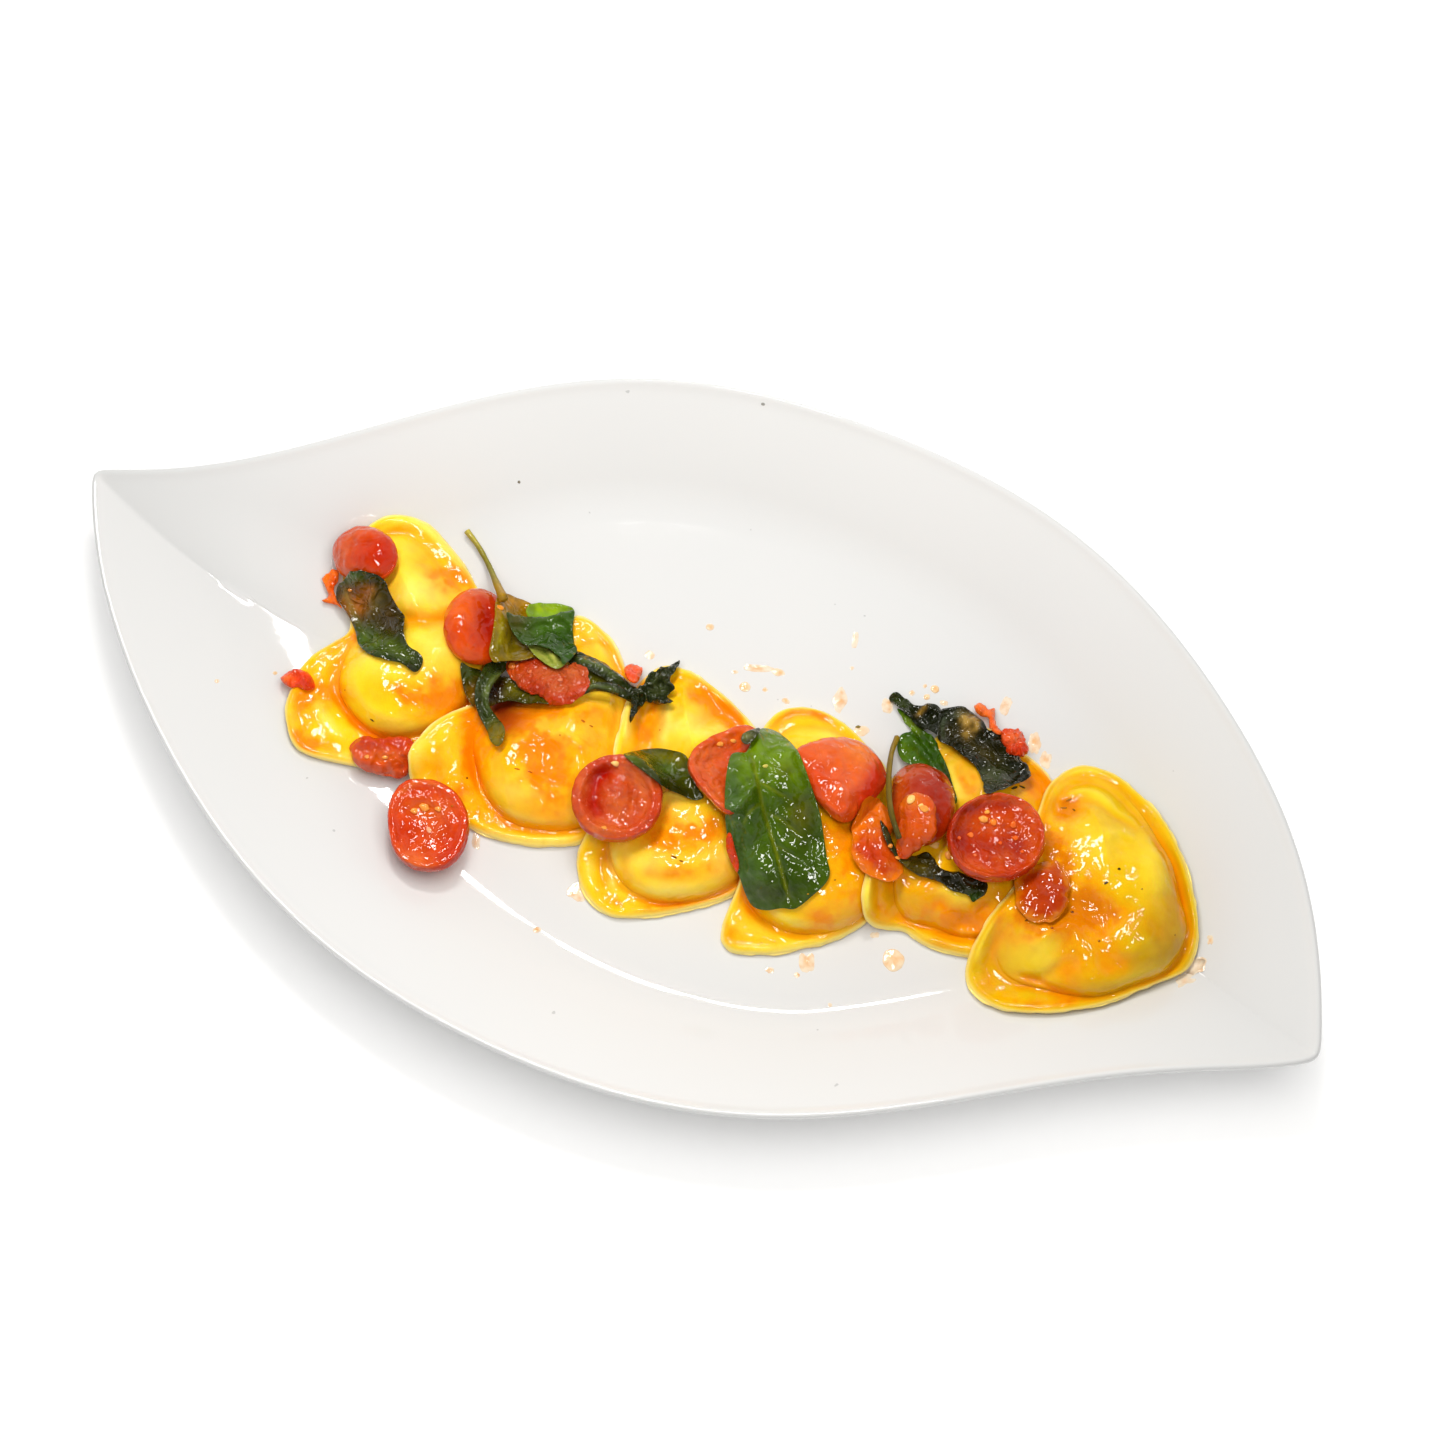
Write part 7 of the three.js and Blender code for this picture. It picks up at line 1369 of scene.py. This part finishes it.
# ---------------------------------------------------------------- stems
def lay_stem(key):
    global H
    it = STEMS[key]
    u = np.linspace(0, 1, 90)
    C = open_curve(it["pts"], u)
    T = np.gradient(C, axis=0)
    T /= np.linalg.norm(T, axis=1, keepdims=True)
    up = np.array([0.0, 0.0, 1.0])
    S = np.cross(T, up)
    S /= np.linalg.norm(S, axis=1, keepdims=True)
    N = np.cross(S, T)
    n = 20
    a = 2 * np.pi * np.arange(n) / n
    r = it["r"] * (0.82 + 0.10 * noise(u * 9, 0.0, 0.0, 7) + 0.15 * np.exp(-((u / 0.06) ** 2)))
    if key == "stem_1":
        r = r * (0.85 + 0.55 * ss(0.6, 1.0, u))
    else:
        r = r * (0.95 - 0.25 * np.abs(u - 0.5))
    prof = 1 - 0.16 * np.cos(3 * a) ** 2
    V = [C[i] + r[i] * (np.cos(a)[:, None] * prof[:, None] * S[i] + np.sin(a)[:, None] * prof[:, None] * N[i]) for i in range(len(u))]
    first, last = C[0] - T[0] * r[0] * 0.25, C[-1] + T[-1] * r[-1] * 0.3
    V = np.vstack([np.vstack(V), first[None], last[None]])
    F = polar_faces(n, len(u))
    F = [tuple(reversed(f)) for f in F]
    if key == "stem_1":
        ca, cb, cc = srgb((170, 156, 66)), srgb((120, 112, 36)), srgb((150, 112, 24))
    else:
        ca, cb, cc = srgb((132, 104, 20)), srgb((104, 84, 16)), srgb((70, 62, 18))
    w = u[:, None, None]
    stripe = (0.5 + 0.5 * np.cos(3 * a + 0.7))[None, :, None]
    col = (ca * (1 - ss(0, 0.5, w)) + cb * ss(0, 0.5, w)) * (1 - ss(0.6, 1, w)) + cc * ss(0.6, 1, w)
    col = col * (0.78 + 0.5 * stripe)
    C2 = np.vstack([np.broadcast_to(col, (len(u), n, 3)).reshape(-1, 3), [srgb((206, 196, 120)) if key == "stem_1" else cb], [cc]])
    mesh_object("basil_" + key, V, F, STEMM, tint=C2, node=key)
    H = H.copy()
    for dx in (-1, 0, 1):
        for dy in (-1, 0, 1):
            i = np.clip(np.round(C[:, 0] - X0 + dx).astype(int), 0, NX - 1)
            j = np.clip(np.round(C[:, 1] - Y0 + dy).astype(int), 0, NY - 1)
            np.maximum.at(H, (j, i), C[:, 2] + it["r"] * (0.5 if dx or dy else 0.9))


for key in ORDER:
    if key.startswith("raviolo"):
        lay_raviolo(key)
    elif key in TOMATOES:
        if key == "tomato_1":
            lay_shells("tomato_scraps_left", SCRAPS["left"], PULP)
        if key == "pulp_2":
            lay_shells("tomato_scraps_mid", SCRAPS["mid"], PULP)
        if key == "pulp_6":
            lay_shells("tomato_scraps_right", SCRAPS["right"], PULP)

        lay_tomato(key)
    elif key in LEAF:
        lay_shells("leaf_" + key, LEAF[key], LEAFS if key in ("basil_6", "basil_5", "basil_8", "basil_2", "basil_2b") else LEAFM, key)
    else:
        lay_stem(key)

# ---------------------------------------------------------------- small things, each placed along a line of sight
tree_of_all = BVHTree.FromPolygons([tuple(v) for v in np.vstack(support_v).tolist()], support_f)


def hit(px, py):
    d = np.array([(px - 720.0) / FOCAL, (720.0 - py) / FOCAL, -1.0]) @ LOOK.T
    d /= np.linalg.norm(d)
    p, nrm, _, _ = tree_of_all.ray_cast(Vector(EYE), Vector(d), 3000.0)
    if p is None:
        return None
    p, nrm = np.array(p), np.array(nrm)
    if nrm @ d > 0:
        nrm = -nrm
    return p, nrm


def dots(name, items, material):
    """flattened grains: (px, py, length, width, height in mm, turn in the view, colour)"""
    VV, FF, CC, k = [], [], [], 0
    nu, nv = 14, 8
    for q, (px, py, ln, wd, ht, turn, colour) in enumerate(items):
        h = hit(px, py)
        if h is None:
            continue
        p, nrm = h
        nrm = nrm * 0.75 + np.array([0, 0, 0.25])
        nrm /= np.linalg.norm(nrm)
        a = math.radians(turn)
        t = LOOK @ np.array([math.cos(a), -math.sin(a), 0.0])
        t = t - nrm * (t @ nrm)
        t /= np.linalg.norm(t)
        s = np.cross(nrm, t)
        th, ph = np.linspace(0, np.pi, nv + 1)[1:-1], 2 * np.pi * np.arange(nu) / nu
        w = 1 + 0.18 * noise(np.cos(ph) * 2, np.sin(ph) * 2, q * 1.7, 77)
        rows = [p + nrm * ht * 0.25 + np.outer(np.sin(v) * np.cos(ph) * w, t) * ln / 2 + np.outer(np.sin(v) * np.sin(ph) * w, s) * wd / 2 * (1 + 0.25 * np.cos(ph))[:, None] + nrm * math.cos(v) * ht / 2 for v in th]
        V = np.vstack(rows + [(p + nrm * ht * 0.75)[None], (p - nrm * ht * 0.25)[None]])
        F = polar_faces(nu, len(th))
        VV.append(V)
        FF.extend([tuple(reversed([i + k for i in f])) for f in F])
        CC.append(np.broadcast_to(srgb(colour), (len(V), 3)) * (1 + 0.15 * noise(V[:, 0] * 1.5, V[:, 1] * 1.5, 0.0, 78)[:, None]))
        k += len(V)
    return mesh_object(name, np.vstack(VV), FF, material, tint=np.clip(np.vstack(CC), 0, 1), carry=False)


SO, SP = (236, 150, 62), (244, 190, 110)
SEEDS = [
    (424, 807, 3.0, 2.2, 1.0, 20, SO), (414, 811, 2.2, 1.6, 0.8, 0, SO), (429, 830, 2.2, 1.3, 0.7, 60, (240, 160, 120)), (438, 809, 2.0, 1.4, 0.7, 0, SO), (615, 763, 2.2, 1.6, 0.9, 20, SP), (604, 828, 1.6, 1.2, 0.6, 0, SO),
    (983, 819, 2.6, 1.9, 1.0, 10, SO), (993, 822, 2.2, 1.7, 0.9, 40, (232, 124, 40)), (1013, 825, 1.9, 1.9, 0.8, 0, (226, 104, 34)), (970, 835, 1.8, 1.6, 0.8, 0, (226, 108, 40)), (1015, 838, 1.6, 1.4, 0.7, 0, (224, 98, 30)), (987, 812, 1.6, 1.2, 0.7, -20, SO),
    (911, 800, 2.8, 2.0, 1.1, -60, SP), (924, 809, 2.6, 1.9, 1.0, 30, SO), (921, 806, 1.6, 1.3, 0.8, 0, SP), (934, 845, 2.8, 2.0, 1.1, 15, SP), (948, 855, 2.0, 2.4, 1.1, 0, SO), (720, 744, 2.0, 1.6, 0.8, 0, SO), (733, 741, 1.8, 1.2, 0.7, 0, SO),
    (500, 608, 2.2, 1.8, 0.8, 0, (226, 140, 30)), (512, 666, 2.4, 1.8, 0.9, 0, (214, 110, 30)), (385, 757, 1.8, 1.2, 0.8, 0, SO), (367, 757, 1.5, 1.1, 0.7, 0, SO), (890, 846, 1.6, 1.2, 0.7, 0, SO), (765, 766, 1.8, 1.1, 0.5, 0, (214, 196, 96)),
    (1000, 843, 1.2, 1.0, 0.6, 0, (224, 90, 30)), (1022, 852, 1.2, 1.0, 0.6, 0, (222, 90, 30)), (959, 838, 1.2, 1.0, 0.6, 0, (224, 96, 40)), (898, 858, 1.6, 1.1, 0.6, 0, SO), (975, 855, 1.1, 0.9, 0.5, 0, (224, 110, 60)),
    (350, 590, 1.4, 1.0, 0.6, 0, (210, 130, 50)), (560, 680, 1.5, 1.0, 0.6, 0, (214, 120, 80)), (530, 672, 1.4, 1.0, 0.6, 0, (210, 110, 70)),
]
HERBS = [
    (372, 720, 1.4, 0.5, 0.25, 25, (84, 52, 12)), (517, 769, 1.8, 0.4, 0.25, 15, (176, 84, 14)), (530, 772, 1.6, 0.4, 0.25, 20, (176, 84, 14)), (583, 721, 1.4, 0.6, 0.25, 25, (180, 96, 14)), (591, 726, 1.2, 0.4, 0.25, 15, (180, 96, 14)),
    (674, 857, 1.8, 0.5, 0.3, 25, (110, 52, 12)), (681, 861, 1.1, 0.4, 0.25, 10, (110, 52, 12)), (1119, 869, 0.9, 0.7, 0.3, 0, (72, 42, 10)), (1106, 883, 1.3, 0.6, 0.3, -30, (72, 46, 10)), (1072, 912, 0.9, 0.8, 0.3, 0, (120, 60, 12)),
    (1027, 920, 1.2, 0.5, 0.3, -25, (120, 70, 12)), (1052, 928, 0.9, 0.7, 0.3, 0, (150, 70, 12)), (1099, 941, 0.7, 0.6, 0.3, 0, (150, 90, 12)), (1069, 800, 1.7, 0.5, 0.3, -20, (144, 94, 14)), (1064, 808, 2.0, 0.4, 0.3, 10, (144, 94, 14)),
    (1074, 810, 1.2, 0.4, 0.3, 40, (124, 84, 14)), (1014, 788, 2.6, 0.7, 0.35, -30, (70, 60, 16)), (1022, 787, 2.2, 0.6, 0.35, 10, (70, 60, 16)), (467, 778, 0.7, 0.6, 0.25, 0, (140, 80, 12)), (763, 404, 1.1, 0.9, 0.2, 0, (150, 150, 144)),
    (519, 482, 0.9, 0.8, 0.2, 0, (120, 112, 96)), (1142, 889, 0.5, 0.4, 0.2, 0, (150, 100, 20)), (1175, 935, 0.5, 0.4, 0.2, 0, (130, 90, 20)), (858, 727, 1.4, 0.9, 0.25, 0, (130, 110, 50)), (452, 806, 0.6, 0.5, 0.2, 0, (160, 90, 14)),
    (345, 690, 0.5, 0.4, 0.2, 0, (190, 100, 14)), (660, 730, 0.5, 0.4, 0.2, 0, (190, 100, 14)), (560, 735, 0.5, 0.4, 0.2, 0, (190, 110, 14)), (835, 880, 0.7, 0.5, 0.2, 0, (170, 120, 16)), (808, 894, 0.6, 0.4, 0.2, 0, (170, 120, 16)),
]
dots("seeds_tomato", SEEDS, SEEDM)
dots("herb_flakes", HERBS, HERBM)


def drops(name, items, material):
    """flat drops on the plate: (px, py, rx, ry in pixels, height in mm, turn, colour, ragged)"""
    VV, FF, CC, k = [], [], [], 0
    n = 40
    for q, (px, py, rx, ry, ht, turn, colour, ragged) in enumerate(items):
        a, b = 2 * np.pi * np.arange(n) / n, math.radians(turn)
        rad = 1 + 0.8 * ragged * noise(np.cos(a) * 1.3, np.sin(a) * 1.3, q * 2.3, 91) + 0.25 * ragged * noise(np.cos(a) * 3, np.sin(a) * 3, q * 2.3, 92)
        rows, cols = [], []
        for s in (1.02, 1.0, 0.96, 0.9, 0.82, 0.72, 0.6, 0.4, 0.2, 0.0):
            u, v = rx * rad * s * np.cos(a), ry * rad * s * np.sin(a)
            qx, qy = px + u * math.cos(b) - v * math.sin(b), py + u * math.sin(b) + v * math.cos(b)
            z = np.full(n, WELL)
            for _ in range(6):
                x, y = from_view(qx, qy, z)
                z = sample(PLATE_H, x, y)
            up = -0.06 if s > 1.0 else ht * (math.sqrt(max(0.0, 1 - s**2.4)) if ht > 0.3 else 0.06 + 0.7 * max(0.0, 1 - s * s)) * (0.8 + 0.2 * math.cos(3 * s + q))
            w = 1 + 0.25 * ragged * noise(x * 1.4, y * 1.4, q, 93) if s < 0.95 else 1.0
            if s == 0.0:
                rows.append(np.array([[x[0], y[0], z[0] + ht]]))
            else:
                rows.append(np.c_[x, y, z + up * w])
            fade = float(ss(0.55, 1.0, s)) * (0.2 if ht > 0.3 else 0.45)
            fade = fade + (1 - fade) * (0.30 + 0.5 * ragged)
            c = np.broadcast_to(srgb(colour) * (1 - fade) + srgb((246, 240, 230)) * fade, (len(rows[-1]), 3)) * np.array([0.90, 0.82, 0.70])
            spot = noise(rows[-1][:, 0] * 0.9, rows[-1][:, 1] * 0.9, q, 94)
            core = np.clip(0.42 * (1 - float(ss(0.1, 0.85, s))) + 0.45 * spot, 0, 0.7)[:, None]
            c = c * (1 - core) + srgb((228, 156, 78)) * core
            cols.append(c)
        bottom = np.array([[rows[0][:, 0].mean(), rows[0][:, 1].mean(), rows[0][:, 2].mean() - 0.02]])
        ringed = rows[:-1]
        V = np.vstack(ringed + [bottom, rows[-1]])
        F = [tuple(reversed(f)) for f in polar_faces(n, len(ringed))]
        VV.append(V)
        FF.extend([tuple(i + k for i in f) for f in F])
        CC.append(np.vstack(cols[:-1] + [cols[0][:1], cols[-1][:1]]))
        k += len(V)
    return mesh_object(name, np.vstack(VV), FF, material, tint=np.clip(np.vstack(CC), 0, 1), carry=False)


PLATE_H = np.where(lip_d > 0.3, plate_top(lip_d, hollow(GX, GY)), 0.0)
SAUCEM = food_material("thin_sauce", mottle=0.8, mottle_scale=700.0, rough=0.3, coat=0.7, coat_rough=0.06, sss=0.15, sss_radius=(1, 0.7, 0.4), sss_scale=0.002, wave=0.25, wave_scale=500.0, wave_depth=0.0003,
                       grain=0.1, dark=(0.92, 0.82, 0.72), light=(1.06, 1.06, 1.06))
P1, P2, P3 = (250, 226, 196), (246, 208, 158), (244, 190, 122)
DROPS = [
    (893, 960, 11, 11, 0.5, 0, (244, 216, 180), 0.12), (710, 627, 4, 3.4, 0.35, 0, (246, 218, 186), 0.1), (745, 687, 5.5, 5, 0.35, 0, (250, 218, 172), 0.12), (757, 668, 16, 4, 0.12, 5, (252, 238, 222), 0.5), (778, 672, 7, 3.5, 0.25, 20, (247, 214, 170), 0.3),
    (786, 701, 4, 3, 0.25, 0, (246, 220, 190), 0.3), (840, 700, 6, 14, 0.15, 10, (248, 228, 206), 0.5), (855, 640, 3, 8, 0.1, 10, (250, 238, 224), 0.3), (861, 731, 8, 6, 0.3, 0, (248, 214, 168), 0.4), (807, 962, 7, 9, 0.2, 0, (246, 220, 186), 0.5),
    (770, 970, 4, 3, 0.15, 0, (246, 230, 210), 0.3), (797, 975, 3, 3, 0.15, 0, (246, 226, 200), 0.3), (578, 893, 9, 10, 0.2, 0, (248, 226, 196), 0.6), (537, 930, 4, 3, 0.3, 0, (240, 222, 200), 0.2), (217, 681, 2.4, 2, 0.2, 0, (236, 222, 204), 0.2),
    (275, 673, 2.4, 2, 0.2, 0, (226, 206, 170), 0.2), (830, 1005, 2.2, 2, 0.2, 0, (238, 226, 210), 0.2), (935, 689, 4.5, 4, 0.35, 0, (248, 206, 146), 0.15), (927, 697, 3.2, 3, 0.3, 0, (248, 212, 156), 0.2), (912, 693, 3, 2.6, 0.2, 0, (248, 226, 196), 0.2),
    (944, 703, 4, 3, 0.2, 20, (248, 228, 200), 0.3), (925, 686, 2, 2, 0.2, 0, (248, 226, 196), 0.2), (1034, 744, 7, 12, 0.2, 10, (250, 222, 188), 0.5), (1046, 760, 6, 8, 0.15, 20, (250, 230, 206), 0.5), (888, 705, 6, 8, 0.12, 0, (250, 236, 214), 0.4),
    (1196, 966, 8, 10, 0.15, 20, (226, 214, 190), 0.6), (1186, 980, 10, 5, 0.12, -20, (224, 214, 196), 0.6), (1006, 706, 5, 8, 0.12, 30, (250, 232, 212), 0.5), (852, 668, 2, 2, 0.12, 0, (250, 232, 212), 0.2), (650, 655, 5, 4, 0.12, 0, (250, 228, 196), 0.4),
    (765, 690, 3, 2.4, 0.15, 0, (249, 232, 206), 0.3), (735, 672, 3, 2, 0.12, 0, (249, 234, 212), 0.3), (476, 842, 5, 10, 0.12, 10, (246, 222, 200), 0.4), (875, 935, 4, 3, 0.12, 0, (246, 226, 196), 0.4), (1210, 940, 3, 5, 0.12, 0, (236, 222, 196), 0.4),
]
drops("sauce_drops", DROPS, SAUCEM)

# ---------------------------------------------------------------- floor, light
fm, ft, fb = tree("floor_pale")
fb.inputs["Base Color"].default_value = (0.97, 0.97, 0.97, 1)
fb.inputs["Roughness"].default_value = 0.9
fb.inputs["Specular IOR Level"].default_value = 0.1
fme = bpy.data.meshes.new("floor")
fme.from_pydata([(-3, -3, -0.0004), (3, -3, -0.0004), (3, 3, -0.0004), (-3, 3, -0.0004)], [], [(0, 1, 2, 3)])
fme.materials.append(fm)
floor = bpy.data.objects.new("floor", fme)
bpy.context.scene.collection.objects.link(floor)

PHOTO_TURN = Vector((0, 0, TURN))


def in_photo(x, y, z):
    """a place given along the photograph's right, away and up, from the plate's middle -> part frame, metres"""
    return Vector((x * _cr - y * _sr, x * _sr + y * _cr, z))


def area(name, at, size, energy, colour=(1, 1, 1), aim=(0, 0, 0), size_y=None):
    l = bpy.data.lights.new(name, "AREA")
    l.shape = "RECTANGLE" if size_y else "SQUARE"
    l.size = size
    if size_y:
        l.size_y = size_y
    l.energy, l.color = energy, colour
    o = bpy.data.objects.new(name, l)
    o.location = in_photo(*at)
    d = in_photo(*aim) - o.location
    o.rotation_euler = d.to_track_quat("-Z", "Y").to_euler()
    bpy.context.scene.collection.objects.link(o)
    return o


# a room that is brighter low down than overhead
world = bpy.data.worlds.new("studio")
world.use_nodes = True
wt = world.node_tree
bg = wt.nodes["Background"]
way = wt.nodes.new("ShaderNodeTexCoord")
split = wt.nodes.new("ShaderNodeSeparateXYZ")
wt.links.new(way.outputs["Generated"], split.inputs[0])
room = ramp(wt, split.outputs["Z"], [(0.0, (1.0, 1.0, 1.0)), (0.45, (1.0, 1.0, 1.0)), (0.80, (0.20, 0.20, 0.205))])
wt.links.new(room.outputs[0], bg.inputs[0])
bg.inputs[1].default_value = 0.64
bpy.context.scene.world = world

food = bpy.data.collections.new("food_only")
ware = bpy.data.collections.new("plate_only")
table = bpy.data.collections.new("floor_only")
for ob in made:
    (ware if ob.name.startswith("plate") else food).objects.link(ob)
table.objects.link(floor)
soft = area("soft", (0.10, 0.10, 1.30), 1.3, 16.0, (1.0, 0.99, 0.97), (0.02, 0.02, 0.0))
soft.light_linking.receiver_collection = table
soft.visible_glossy = False
near = area("near", (-0.01, 0.01, 0.30), 0.24, 0.70, (1.0, 0.99, 0.97), (-0.01, 0.0, 0.0))
near.light_linking.receiver_collection = ware
near.visible_glossy = False
area("lamp", (0.01, 0.35, 0.65), 0.13, 1.2, (1.0, 0.99, 0.97), (0.0, 0.0, 0.0), 0.05)
left = area("left", (-0.12, 0.16, 0.62), 0.22, 2.6, (1.0, 0.985, 0.96), (0.0, 0.0, 0.0), 0.12)
left.light_linking.receiver_collection = food
right = area("right", (0.10, -0.16, 0.70), 0.13, 1.7, (1.0, 0.985, 0.96), (0.0, 0.0, 0.0))
right.light_linking.receiver_collection = food

scene = bpy.context.scene
scene.view_settings.view_transform = "Standard"
scene.view_settings.look = "None"
scene.view_settings.exposure = 0.0
scene.view_settings.gamma = 1.0
